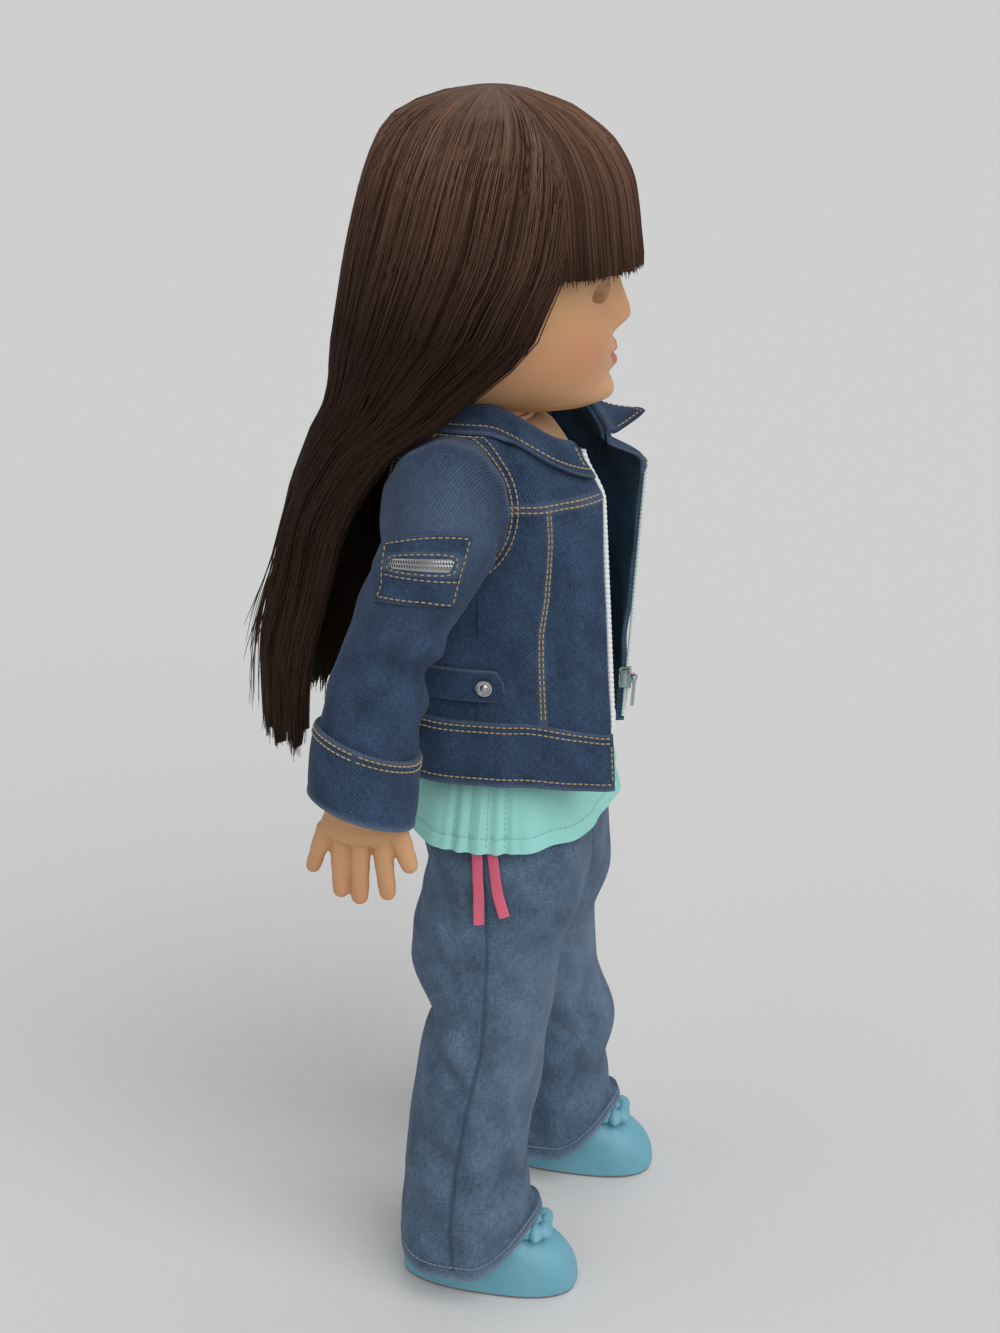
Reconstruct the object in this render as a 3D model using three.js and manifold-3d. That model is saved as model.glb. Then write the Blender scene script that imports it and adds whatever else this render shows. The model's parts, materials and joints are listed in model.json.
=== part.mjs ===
// Play doll, about 18 inches tall, dressed in a denim jacket, tee, flared jeans and slip-on shoes.
// Millimetres, +Z up. The doll faces -Y and its right side is at -X.

import * as THREE from "three";
import { mergeVertices } from "three/addons/utils/BufferGeometryUtils.js";
import Module from "manifold-3d";

const wasm = await Module();
wasm.setup();

// Heights of the doll
const HIP_HEIGHT = 185;
const KNEE_HEIGHT = 108;
const ANKLE_HEIGHT = 34;
const WAIST_ABOVE_HIP = 55;
const CHEST_ABOVE_HIP = 105;
const SHOULDER_ABOVE_HIP = 135;
const CHIN_ABOVE_SHOULDER = 25;
const HEAD_HEIGHT = 103;

// Stuffed cloth torso
const CROTCH_BELOW_HIP = 25;
const HIP_HALF_WIDTH = 47;
const HIP_HALF_DEPTH = 34;
const WAIST_HALF_WIDTH = 41;
const WAIST_HALF_DEPTH = 31;
const CHEST_HALF_WIDTH = 41;
const CHEST_HALF_DEPTH = 30.5;
const SHOULDER_HALF_DEPTH = 28;
const SHOULDER_SETBACK = 10;
const NECK_SETBACK = 6;
const NECK_RADIUS = 20;
const NECK_WALL = 4;
const NECK_HOLE_WALL = 3.4;

// Head, eyes and wig
const HEAD_HALF_WIDTH = 44;
const FACE_DEPTH = 44;
const SKULL_DEPTH = 42;
const HEAD_WALL = 3;
const HEAD_TURN = 10;
const NOSE_LENGTH = 6;
const EYE_SPACING = 35;
const EYE_RADIUS = 10;
const EYE_LEVEL = 43;
const EYE_HALF_WIDTH = 8.4;
const EYE_HALF_HEIGHT = 5.2;
const LID_WALL = 2;
const CUP_WALL = 1.5;
const WIG_CAP_THICKNESS = 1.2;
const HAIR_SIDE = 8;
const HAIR_BACK = 16;
const HAIR_FRONT = 9;
const HAIR_TOP = 9;
const FRINGE_ABOVE_CHIN = 52;
const HAIR_FALL_LENGTH = 128;

// Arms
const ARM_SHOULDER_RADIUS = 15.5;
const ARM_ELBOW_RADIUS = 12.5;
const WRIST_RADIUS = 10.5;
const ARM_REACH = 98;
const ARM_OUTWARD = 14;
const ARM_BACKWARD = 26;
const ELBOW_BACK = 9;
const HAND_HALF_WIDTH = 14;
const HAND_HALF_THICKNESS = 7;
const HAND_BELOW_WRIST = 9;
const FINGER_RADIUS = 4;
const FINGER_REACH = 29.5;

// Legs
const LEG_SPACING = 61;
const FOOT_SPACING = 84;
const RIGHT_FOOT_BACK = 5.5;
const LEFT_FOOT_AHEAD = 14;
const HIP_BALL_RADIUS = 31.6;
const HIP_BALL_HALF_WIDTH = 22.6;
const THIGH_RADIUS = 21;
const KNEE_RADIUS = 17;
const CALF_RADIUS = 16.5;
const ANKLE_RADIUS = 12;

// Stringing of the limbs
const ELASTIC_RADIUS = 2;
const WASHER_RADIUS = 6.5;
const WASHER_THICKNESS = 2;
const DISC_RADIUS = 11;
const DISC_THICKNESS = 1.5;
const HIP_DISC_RADIUS = 7.5;
const HIP_DISC_THICKNESS = 3.3;

// Clothes
const TEE_EASE = 3.6;
const TEE_THICKNESS = 1.4;
const TEE_HEM_FLARE = 10.6;
const TEE_HEM_DEPTH_FLARE = 6.5;
const TEE_FOLDS = 10;
const DENIM_THICKNESS = 2.2;
const JACKET_HEM_ABOVE_HIP = 33;
const JACKET_BAND_HEIGHT = 22;
const JACKET_HEM_HALF_WIDTH = 57;
const JACKET_HEM_HALF_DEPTH = 46;
const JACKET_CHEST_EASE = 8;
const RIGHT_EDGE_AT_HEM = 47;
const RIGHT_EDGE_AT_NECK = 20;
const RIGHT_EDGE_LEAN = 33;
const LEFT_EDGE = 16;
const ARMHOLE_RADIUS = 24;
const SLEEVE_RADIUS = 19.5;
const CUFF_HEIGHT = 25;
const CUFF_EASE = 1.4;
const JEANS_THICKNESS = 2;
const JEANS_EASE = 0.4;
const JEANS_HEM_RADIUS = 27;
const JEANS_HEM_HEIGHT = 14;
const JEANS_HEM_RISE = 15;
const TEE_HEM_ABOVE_HIP = 11;
const TIE_WIDTH = 4;
const TIE_THICKNESS = 1;
const ZIP_WIDTH = 2.7;
const ZIP_THICKNESS = 1.8;
const ZIP_PITCH = 6;
const SLIDER_LENGTH = 9;
const SLIDER_HALF_DEPTH = 3.4;
const SLIDER_REST = 12;
const LUG_THICKNESS = 0.9;
const PULL_LENGTH = 11;
const PULL_WIDTH = 2.8;
const PULL_THICKNESS = 1.2;
const PULL_PIN_RADIUS = 0.5;
const COLLAR_RISE = 4;
const COLLAR_BACK_DEPTH = 13;
const COLLAR_SIDE_DEPTH = 3;
const COLLAR_TIP_DEPTH = 13;
const POCKET_HALF_ANGLE = 0.7;
const POCKET_LIFT = 0.8;

// Shoes
const SHOE_LENGTH = 70;
const FOOT_FORWARD = 6.5;
const SHOE_HALF_WIDTH = 17;
const SHOE_HEIGHT = 20.5;
const SHOE_WALL = 1.4;
const INSOLE = 0.9;
const SOLE_THICKNESS = 2.5;
const SOLE_LEDGE = 0.7;

// Gap between neighbouring pieces
const GAP = 0.3;

const hipZ = HIP_HEIGHT;
const waistZ = hipZ + WAIST_ABOVE_HIP;
const chestZ = hipZ + CHEST_ABOVE_HIP;
const shoulderZ = hipZ + SHOULDER_ABOVE_HIP;
const chinZ = shoulderZ + CHIN_ABOVE_SHOULDER;
const crownZ = chinZ + HEAD_HEIGHT;
const torsoTopZ = chinZ - 4;
const jacketHemZ = hipZ + JACKET_HEM_ABOVE_HIP;
const bandTopZ = jacketHemZ + JACKET_BAND_HEIGHT;
const teeHemZ = hipZ + TEE_HEM_ABOVE_HIP;
const hairSplitZ = chinZ + 5;
const legX = LEG_SPACING / 2;
const footX = FOOT_SPACING / 2;

const AXIS_X = new THREE.Vector3(1, 0, 0);
const AXIS_Y = new THREE.Vector3(0, 1, 0);
const AXIS_Z = new THREE.Vector3(0, 0, 1);

const point = (x, y, z) => new THREE.Vector3(x, y, z);
const mix = (a, b, t) => a + (b - a) * t;
const radians = (degrees) => (degrees * Math.PI) / 180;
const bell = (offset, spread) => Math.exp(-0.5 * (offset / spread) ** 2);

function ramp(t, from, to) {
  const s = Math.min(1, Math.max(0, (t - from) / (to - from)));
  return s * s * (3 - 2 * s);
}

// A smooth curve through [position, value] pairs that never swings past its values
function profile(pairs) {
  const n = pairs.length;
  const step = [];
  const slope = [];
  for (let i = 0; i < n - 1; i++) {
    step.push(pairs[i + 1][0] - pairs[i][0]);
    slope.push((pairs[i + 1][1] - pairs[i][1]) / step[i]);
  }
  const tangent = pairs.map((pair, i) => {
    if (i === 0) return slope[0];
    if (i === n - 1) return slope[n - 2];
    if (slope[i - 1] * slope[i] <= 0) return 0;
    return (2 * slope[i - 1] * slope[i]) / (slope[i - 1] + slope[i]);
  });
  return (position) => {
    if (position <= pairs[0][0]) return pairs[0][1];
    if (position >= pairs[n - 1][0]) return pairs[n - 1][1];
    let i = 0;
    while (position > pairs[i + 1][0]) i++;
    const t = (position - pairs[i][0]) / step[i];
    const h = t * t * (3 - 2 * t);
    const early = t * (1 - t) * (1 - t) * step[i] * tangent[i];
    const late = t * t * (1 - t) * step[i] * tangent[i + 1];
    return mix(pairs[i][1], pairs[i + 1][1], h) + early - late;
  };
}

function range(from, to, count) {
  return Array.from({ length: count }, (_, i) => mix(from, to, i / (count - 1)));
}

// A closed body from points and triangles, turned to face outward
function body(points, faces) {
  let volume = 0;
  for (let i = 0; i < faces.length; i += 3) {
    const [a, b, c] = [points[faces[i]], points[faces[i + 1]], points[faces[i + 2]]];
    volume += a.dot(b.clone().cross(c));
  }
  const geometry = new THREE.BufferGeometry();
  geometry.setFromPoints(points);
  geometry.setIndex(volume < 0 ? faces.slice().reverse() : faces);
  return geometry;
}

function grow(shape, angle) {
  const c = Math.cos(angle);
  const s = Math.sin(angle);
  const power = 2 / shape.power;
  const depth = s < 0 ? shape.front : shape.back;
  return [
    shape.width * Math.sign(c) * Math.abs(c) ** power,
    depth * Math.sign(s) * Math.abs(s) ** power,
  ];
}

// A level oval: half width, front and back depth, and a power that squares it off
function oval({ x = 0, y = 0, z, width, front, back = front, power = 2 }, count, crowd = 0) {
  const points = [];
  for (let i = 0; i < count; i++) {
    const turn = (2 * Math.PI * i) / count;
    const angle = turn - crowd * Math.sin(turn) - Math.PI / 2;
    const [dx, dy] = grow({ width, front, back, power }, angle);
    points.push(point(x + dx, y + dy, z));
  }
  return points;
}

// An ellipse in the plane of two directions
function hoop(centre, u, v, a, b, count) {
  const points = [];
  for (let i = 0; i < count; i++) {
    const turn = (2 * Math.PI * i) / count;
    const place = centre.clone().addScaledVector(u, a * Math.cos(turn));
    points.push(place.addScaledVector(v, b * Math.sin(turn)));
  }
  return points;
}

// A loft through rings of equally many points, with closed ends
function skin(rings) {
  const count = rings[0].length;
  const points = rings.flat();
  const faces = [];
  for (let r = 0; r < rings.length - 1; r++) {
    for (let i = 0; i < count; i++) {
      const next = (i + 1) % count;
      const [a, b] = [r * count + i, r * count + next];
      faces.push(a, b, b + count, a, b + count, a + count);
    }
  }
  for (const end of [0, rings.length - 1]) {
    const hub = points.length;
    const centre = point(0, 0, 0);
    rings[end].forEach((corner) => centre.addScaledVector(corner, 1 / count));
    points.push(centre);
    for (let i = 0; i < count; i++) {
      const [a, b] = [end * count + i, end * count + ((i + 1) % count)];
      faces.push(...(end === 0 ? [hub, b, a] : [hub, a, b]));
    }
  }
  return body(points, faces);
}

// A panel between two grids of equally many rows and columns
function slab(outer, inner) {
  const rows = outer.length;
  const columns = outer[0].length;
  const points = [...outer.flat(), ...inner.flat()];
  const half = rows * columns;
  const faces = [];
  for (let r = 0; r < rows - 1; r++) {
    for (let c = 0; c < columns - 1; c++) {
      const a = r * columns + c;
      const d = a + columns;
      faces.push(a, a + 1, d + 1, a, d + 1, d);
      faces.push(half + a, half + d + 1, half + a + 1, half + a, half + d, half + d + 1);
    }
  }
  const edge = [];
  for (let c = 0; c < columns; c++) edge.push(c);
  for (let r = 1; r < rows; r++) edge.push(r * columns + columns - 1);
  for (let c = columns - 2; c >= 0; c--) edge.push((rows - 1) * columns + c);
  for (let r = rows - 2; r > 0; r--) edge.push(r * columns);
  edge.forEach((a, i) => {
    const b = edge[(i + 1) % edge.length];
    faces.push(b, a, half + a, b, half + a, half + b);
  });
  return body(points, faces);
}

// Joining and cutting
function solid(geometry) {
  const bare = new THREE.BufferGeometry();
  bare.setAttribute("position", geometry.getAttribute("position"));
  bare.setIndex(geometry.getIndex());
  const merged = mergeVertices(bare, 1e-4);
  return new wasm.Manifold(new wasm.Mesh({
    numProp: 3,
    vertProperties: new Float32Array(merged.getAttribute("position").array),
    triVerts: new Uint32Array(merged.getIndex().array),
  }));
}

function shape(manifold) {
  const mesh = manifold.getMesh();
  const geometry = new THREE.BufferGeometry();
  geometry.setAttribute("position", new THREE.BufferAttribute(mesh.vertProperties, 3));
  geometry.setIndex(new THREE.BufferAttribute(mesh.triVerts, 1));
  return geometry;
}

function cut(base, ...tools) {
  return shape(tools.reduce((left, tool) => left.subtract(solid(tool)), solid(base)));
}

function join(base, ...others) {
  return shape(others.reduce((sum, other) => sum.add(solid(other)), solid(base)));
}

function meet(base, other) {
  return shape(solid(base).intersect(solid(other)));
}

// A rod along a direction from one place
function rod(start, direction, length, radius, sides = 20) {
  const u = Math.abs(direction.z) > 0.9 ? AXIS_X : AXIS_Z;
  const side = direction.clone().cross(u).normalize();
  const up = side.clone().cross(direction).normalize();
  const end = start.clone().addScaledVector(direction, length);
  return skin([start, end].map((place) => hoop(place, side, up, radius, radius, sides)));
}

// A prism across the doll from an outline of [y, z] corners
function prism(outline, halfWidth) {
  const flat = new THREE.Shape(outline.map(([y, z]) => new THREE.Vector2(y, z)));
  const geometry = new THREE.ExtrudeGeometry(flat, { depth: 2 * halfWidth, bevelEnabled: false });
  geometry.translate(0, 0, -halfWidth);
  geometry.applyMatrix4(new THREE.Matrix4().makeBasis(AXIS_Y, AXIS_Z, AXIS_X));
  return geometry;
}

function block(x0, x1, y0, y1, z0, z1) {
  const geometry = new THREE.BoxGeometry(x1 - x0, y1 - y0, z1 - z0);
  return geometry.translate((x0 + x1) / 2, (y0 + y1) / 2, (z0 + z1) / 2);
}

function ball(centre, a, b, c, sides = 24, rings = 16) {
  const geometry = new THREE.SphereGeometry(1, sides, rings).scale(a, b, c);
  return geometry.translate(centre.x, centre.y, centre.z);
}

// Torso form
const torsoWidth = profile([
  [hipZ - CROTCH_BELOW_HIP, HIP_HALF_WIDTH * 0.2],
  [hipZ, HIP_HALF_WIDTH * 0.9],
  [hipZ + 22, HIP_HALF_WIDTH],
  [waistZ, WAIST_HALF_WIDTH],
  [chestZ, CHEST_HALF_WIDTH],
  [shoulderZ, CHEST_HALF_WIDTH],
  [torsoTopZ - 7, CHEST_HALF_WIDTH * 0.86],
  [torsoTopZ, NECK_RADIUS + NECK_HOLE_WALL + 0.6],
]);
const torsoDepth = profile([
  [hipZ - CROTCH_BELOW_HIP, HIP_HALF_DEPTH * 0.4],
  [hipZ - 12, HIP_HALF_DEPTH * 0.86],
  [hipZ + 8, HIP_HALF_DEPTH],
  [waistZ, WAIST_HALF_DEPTH],
  [chestZ, CHEST_HALF_DEPTH],
  [shoulderZ, SHOULDER_HALF_DEPTH],
  [torsoTopZ, NECK_RADIUS + NECK_HOLE_WALL],
]);
const torsoSetback = profile([
  [chestZ, 0],
  [shoulderZ, NECK_SETBACK * 0.5],
  [torsoTopZ, NECK_SETBACK],
]);

// Layers of the torso and its clothes share these heights and sides, so that they stay nested
const TORSO_SIDES = 16;
const torsoHeights = [
  ...range(hipZ - CROTCH_BELOW_HIP, hipZ + 22, 4),
  ...range(hipZ + 22, shoulderZ, 4).slice(1),
  ...range(shoulderZ, torsoTopZ, 3).slice(1),
];

function torsoLoft(ease, low, high) {
  const inside = torsoHeights.filter((z) => z > low && z < high);
  return skin([low, ...inside, high].map((z) => oval({
    y: torsoSetback(z),
    z,
    width: torsoWidth(z) + ease,
    front: torsoDepth(z) + ease,
    power: 2.3,
  }, TORSO_SIDES)));
}

// Hip balls: the jeans turn with the leg on a rounded drum about the hip axis
const ballJeansInner = JEANS_EASE;
const ballJeansOuter = JEANS_EASE + JEANS_THICKNESS;
const socketEase = ballJeansOuter + 1;
const crotchHalfWidth = legX - HIP_BALL_HALF_WIDTH - socketEase;

function hipBall(side, ease) {
  const centre = point(side * legX, 0, hipZ);
  const radius = HIP_BALL_RADIUS + ease;
  const form = new THREE.SphereGeometry(1, 16, 8).rotateZ(Math.PI / 2);
  return form.scale(HIP_BALL_HALF_WIDTH + ease, radius, radius).translate(centre.x, centre.y, centre.z);
}

const thighTopZ = hipZ + HIP_BALL_RADIUS;

function hipSpace(side) {
  const inner = side * crotchHalfWidth;
  const outer = side * 2 * HIP_HALF_WIDTH;
  const low = hipZ - 2 * CROTCH_BELOW_HIP;
  const space = block(Math.min(inner, outer), Math.max(inner, outer), -90, 90, low, thighTopZ);
  return join(space, hipBall(side, socketEase));
}

const armSeatX = CHEST_HALF_WIDTH - 1;
const neckFootZ = shoulderZ + 6;
const shoulderPoint = (side, x) => point(side * x, SHOULDER_SETBACK, shoulderZ);

function torsoBody() {
  const form = torsoLoft(0, hipZ - CROTCH_BELOW_HIP, torsoTopZ);
  const neckWell = rod(point(0, NECK_SETBACK, neckFootZ - GAP), AXIS_Z, 60, NECK_RADIUS + 2 * GAP, 20);
  const armTunnel = rod(shoulderPoint(-1, 80), AXIS_X, 160, ELASTIC_RADIUS + GAP, 8);
  const legTunnel = rod(point(-80, 0, hipZ), AXIS_X, 160, ELASTIC_RADIUS + GAP, 8);
  const seats = [-1, 1].map((side) => {
    const start = shoulderPoint(side, armSeatX);
    return rod(start, point(side, 0, 0), 40, ARM_SHOULDER_RADIUS + 4, 16);
  });
  return cut(form, hipSpace(-1), hipSpace(1), neckWell, armTunnel, legTunnel, ...seats);
}

const neckCordZ = torsoTopZ + GAP + 1.2;

function neckCord() {
  const ring = new THREE.TorusGeometry(NECK_RADIUS + 0.9, 1.2, 5, 16);
  return ring.translate(0, NECK_SETBACK, neckCordZ);
}

// Elastic cords through the torso, held in each limb by a washer
const armFaceX = armSeatX + GAP + DISC_THICKNESS + GAP;
const armWasherX = armFaceX + 5;
const legFaceX = crotchHalfWidth + GAP + HIP_DISC_THICKNESS + GAP;
const legWasherX = legFaceX + 6;

function elastic(halfLength, y, z) {
  const tail = WASHER_THICKNESS + 1.5;
  const knotRadius = ELASTIC_RADIUS + 1.2;
  const cord = rod(point(-halfLength - tail, y, z), AXIS_X, 2 * (halfLength + tail), ELASTIC_RADIUS, 8);
  const knots = [-1, 1].map((side) => {
    const start = point(side * (halfLength + WASHER_THICKNESS + 2 * GAP), y, z);
    return rod(start, point(side, 0, 0), 3, knotRadius, 8);
  });
  return join(cord, ...knots);
}

function washer(x, y, z, thickness, radius) {
  const direction = point(Math.sign(x), 0, 0);
  const start = point(x, y, z);
  const disc = rod(start, direction, thickness, radius, 12);
  start.addScaledVector(direction, -1);
  return cut(disc, rod(start, direction, thickness + 2, ELASTIC_RADIUS + GAP, 8));
}

const armWasher = (x, thickness, radius) => washer(x, SHOULDER_SETBACK, shoulderZ, thickness, radius);
const legWasher = (x, thickness, radius) => washer(x, 0, hipZ, thickness, radius);

// The bore and pocket in a limb for its elastic, washer and knot
function stringing(side, faceX, washerX, y, z) {
  const outward = point(side, 0, 0);
  const bore = rod(point(side * (faceX - 3), y, z), outward, washerX - faceX + 4, ELASTIC_RADIUS + GAP, 8);
  const seat = point(side * (washerX - GAP), y, z);
  const pocket = rod(seat, outward, WASHER_THICKNESS + 7, WASHER_RADIUS + GAP, 14);
  return [bore, pocket];
}

// Head form, by the share of its height
const headWidthShare = profile([
  [0, 0.3], [0.04, 0.55], [0.12, 0.75], [0.22, 0.87], [0.34, 0.95], [0.46, 0.99],
  [0.6, 1], [0.74, 0.96], [0.86, 0.82], [0.95, 0.55], [0.99, 0.26], [1, 0.04],
]);
const faceShare = profile([
  [0, 0.62], [0.04, 0.86], [0.12, 0.93], [0.22, 0.95], [0.34, 0.955], [0.46, 0.965],
  [0.6, 1], [0.74, 0.97], [0.86, 0.84], [0.95, 0.57], [0.99, 0.27], [1, 0.04],
]);
const skullShare = profile([
  [0, 0.25], [0.04, 0.42], [0.12, 0.6], [0.22, 0.76], [0.34, 0.9], [0.46, 0.97],
  [0.6, 1], [0.74, 0.97], [0.86, 0.83], [0.95, 0.57], [0.99, 0.27], [1, 0.04],
]);

// How far the face stands forward of the plain head at a place
function relief(x, t) {
  const noseSpread = t > 0.36 ? 0.085 : 0.026;
  const nose = NOSE_LENGTH * bell(x, 4.4) * bell(t - 0.36, noseSpread);
  const upperLip = 2.2 * bell(x, 7) * bell(t - 0.215, 0.022);
  const lowerLip = 2 * bell(x, 6) * bell(t - 0.165, 0.022);
  const chin = 3 * bell(x, 9) * bell(t - 0.07, 0.04);
  const cheek = 1.6 * bell(Math.abs(x) - 23, 9) * bell(t - 0.25, 0.07);
  const hollow = -2.2 * bell(Math.abs(x) - EYE_SPACING / 2, 8) * bell(t - EYE_LEVEL / HEAD_HEIGHT, 0.05);
  return nose + upperLip + lowerLip + chin + cheek + hollow;
}

const headShares = [
  0, 0.03, 0.07, 0.12, 0.165, 0.215, 0.27, 0.32, 0.36, 0.42, 0.52, 0.66, 0.8, 0.91, 0.97, 1,
];

function headLoft(ease, shares = headShares, sides = 24, crowd = 0.55) {
  const rings = shares.map((t) => {
    const z = chinZ - ease + t * (HEAD_HEIGHT + 2 * ease);
    const width = HEAD_HALF_WIDTH * headWidthShare(t) + ease;
    const front = FACE_DEPTH * faceShare(t) + ease;
    const back = SKULL_DEPTH * skullShare(t) + ease;
    const places = oval({ y: NECK_SETBACK, z, width, front, back, power: 2.15 }, sides, crowd);
    places.forEach((place) => {
      const facing = ramp(NECK_SETBACK - place.y, 0, 0.6 * FACE_DEPTH);
      place.y -= relief(place.x, t) * facing;
    });
    return places;
  });
  return skin(rings);
}

const eyeZ = chinZ + EYE_LEVEL;
const eyeShare = EYE_LEVEL / HEAD_HEIGHT;
const eyeSurfaceY = (() => {
  const across = EYE_SPACING / 2 / (HEAD_HALF_WIDTH * headWidthShare(eyeShare));
  const depth = FACE_DEPTH * faceShare(eyeShare) * Math.sqrt(1 - across * across);
  return NECK_SETBACK - depth - relief(EYE_SPACING / 2, eyeShare);
})();
const eyeY = eyeSurfaceY + LID_WALL + EYE_RADIUS;
const eyeCentre = (side) => point((side * EYE_SPACING) / 2, eyeY, eyeZ);

function neck(radius, low, high, groove) {
  const ends = [[low, radius], [high, radius]];
  const waist = [[neckCordZ - 1.8, radius], [neckCordZ, radius - 1], [neckCordZ + 1.8, radius]];
  const stops = groove ? [ends[0], ...waist, ends[1]] : ends;
  return skin(stops.map(([z, r]) => hoop(point(0, NECK_SETBACK, z), AXIS_X, AXIS_Y, r, r, 16)));
}

const eyeSeat = EYE_RADIUS + 2 * GAP;

// The hollow inside the head follows it with fewer faces
const hollowShares = [0, 0.07, 0.22, 0.42, 0.65, 0.85, 0.96, 1];
const hollowLoft = (ease) => headLoft(ease, hollowShares, 14);

function headShell() {
  const outer = join(headLoft(0), neck(NECK_RADIUS, neckFootZ, chinZ + 14, true));
  const throat = neck(NECK_RADIUS - NECK_WALL, neckFootZ - 2, chinZ + 14, false);
  const hollow = join(hollowLoft(-HEAD_WALL), throat);
  const openings = [-1, 1].flatMap((side) => {
    const centre = eyeCentre(side);
    const start = centre.clone().setY(centre.y - 30);
    const lids = skin([0, 30].map((y) => {
      return hoop(start.clone().setY(start.y + y), AXIS_X, AXIS_Z, EYE_HALF_WIDTH, EYE_HALF_HEIGHT, 14);
    }));
    const seat = ball(centre, eyeSeat, eyeSeat, eyeSeat, 12, 8);
    return [lids, seat];
  });
  return cut(outer, hollow, ...openings);
}

// Sleep eyes: a ball that rocks in its cup, with a weight that hangs below and behind it
function eyeball(side) {
  return ball(eyeCentre(side), EYE_RADIUS, EYE_RADIUS, EYE_RADIUS, 12, 8);
}

function eyeWeight(side) {
  const lean = point(0, Math.sin(radians(28)), -Math.cos(radians(28)));
  const start = eyeCentre(side).addScaledVector(lean, EYE_RADIUS);
  return rod(start, lean, 5, 2.8, 8);
}

function eyeCup(side) {
  const inner = EYE_RADIUS + 2 * GAP;
  const outer = inner + CUP_WALL;
  const arc = range(0, radians(68), 4);
  const outline = [
    [inner, -11], [outer, -11],
    ...arc.map((turn) => [outer * Math.cos(turn), outer * Math.sin(turn)]),
    ...arc.reverse().map((turn) => [inner * Math.cos(turn), inner * Math.sin(turn)]),
    [inner, -11],
  ];
  const centre = eyeCentre(side);
  const form = new THREE.LatheGeometry(outline.map(([r, y]) => new THREE.Vector2(r, y)), 12);
  form.translate(centre.x, centre.y, centre.z);
  const slotHalf = 3.4;
  const slot = block(
    centre.x - slotHalf, centre.x + slotHalf, centre.y - 1.5, centre.y + 30, centre.z - 30, centre.z + 5,
  );
  return meet(cut(form, slot), hollowLoft(-HEAD_WALL - GAP));
}

// Wig: a cap, the hair over the crown and sides, the fringe and the long fall
const hairWidthShare = profile([
  [0.04, 0.94], [0.3, 0.985], [0.55, 1], [0.75, 0.96], [0.88, 0.83], [0.98, 0.58], [1.05, 0.32], [1.09, 0.05],
]);
const hairFrontShare = profile([
  [0.04, 0.95], [0.3, 0.99], [0.55, 1], [0.75, 0.955], [0.88, 0.83], [0.98, 0.6], [1.05, 0.34], [1.09, 0.05],
]);
const hairBackShare = profile([
  [0.04, 0.99], [0.23, 0.985], [0.37, 0.947], [0.54, 0.9], [0.68, 0.843], [0.82, 0.767], [0.95, 0.647],
  [1.05, 0.36], [1.09, 0.05],
]);

// The cap follows the head with fewer faces, so it stands a little further off
const capEase = 6 * GAP;
const capShares = [0, 0.07, 0.16, 0.3, 0.45, 0.6, 0.75, 0.86, 0.94, 0.98, 1];
const scalpLoft = (ease) => headLoft(ease, capShares, 16, 0.2);

function hairLoft() {
  const topZ = crownZ + HAIR_TOP;
  const rings = range(0, 1, 10).map((step) => {
    const z = mix(hairSplitZ + GAP, topZ, Math.sin((step * Math.PI) / 2) ** 0.9);
    const t = z < crownZ ? (z - chinZ) / HEAD_HEIGHT : 1 + ((z - crownZ) / HAIR_TOP) * 0.09;
    return oval({
      y: NECK_SETBACK,
      z,
      width: (HEAD_HALF_WIDTH + HAIR_SIDE) * hairWidthShare(t),
      front: (FACE_DEPTH + HAIR_FRONT) * hairFrontShare(t),
      back: (SKULL_DEPTH + HAIR_BACK) * hairBackShare(t),
      power: 2.1,
    }, 20);
  });
  return skin(rings);
}

// The edge of the fringe and side hair, seen from the side, as [y, z]
const fringeZ = chinZ + FRINGE_ABOVE_CHIN;
const templeY = NECK_SETBACK - 0.72 * FACE_DEPTH;
const jawEdgeY = NECK_SETBACK - 0.3 * FACE_DEPTH;
const partingY = NECK_SETBACK - 0.32 * FACE_DEPTH;
const farFront = -3 * FACE_DEPTH;
const overTop = crownZ + 3 * HAIR_TOP;
const collarClearance = NECK_RADIUS + 21;

function hairCrown() {
  const faceSide = prism([
    [farFront, chinZ - 20], [jawEdgeY + 4, chinZ - 20], [jawEdgeY, chinZ + 13],
    [templeY, fringeZ + 3], [partingY, overTop], [farFront, overTop],
  ], 2 * HEAD_HALF_WIDTH);
  const collarSpace = rod(point(0, NECK_SETBACK, hairSplitZ - 10), AXIS_Z, 26, collarClearance, 20);
  return cut(hairLoft(), scalpLoft(capEase + WIG_CAP_THICKNESS + GAP), faceSide, collarSpace);
}

function hairFringe() {
  const space = prism([
    [farFront, fringeZ], [templeY - 4, fringeZ], [templeY - GAP, fringeZ + 3],
    [partingY - GAP, overTop], [farFront, overTop],
  ], 2 * HEAD_HALF_WIDTH);
  return meet(cut(hairLoft(), scalpLoft(capEase + WIG_CAP_THICKNESS + GAP)), space);
}

function wigCap() {
  const shell = cut(scalpLoft(capEase + WIG_CAP_THICKNESS), scalpLoft(capEase));
  const scalp = prism([
    [farFront, overTop], [farFront, chinZ + 0.82 * HEAD_HEIGHT], [templeY, chinZ + 0.6 * HEAD_HEIGHT],
    [NECK_SETBACK, chinZ + 0.3 * HEAD_HEIGHT], [-farFront, chinZ + 0.14 * HEAD_HEIGHT], [-farFront, overTop],
  ], 2 * HEAD_HALF_WIDTH);
  return meet(shell, scalp);
}

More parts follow.
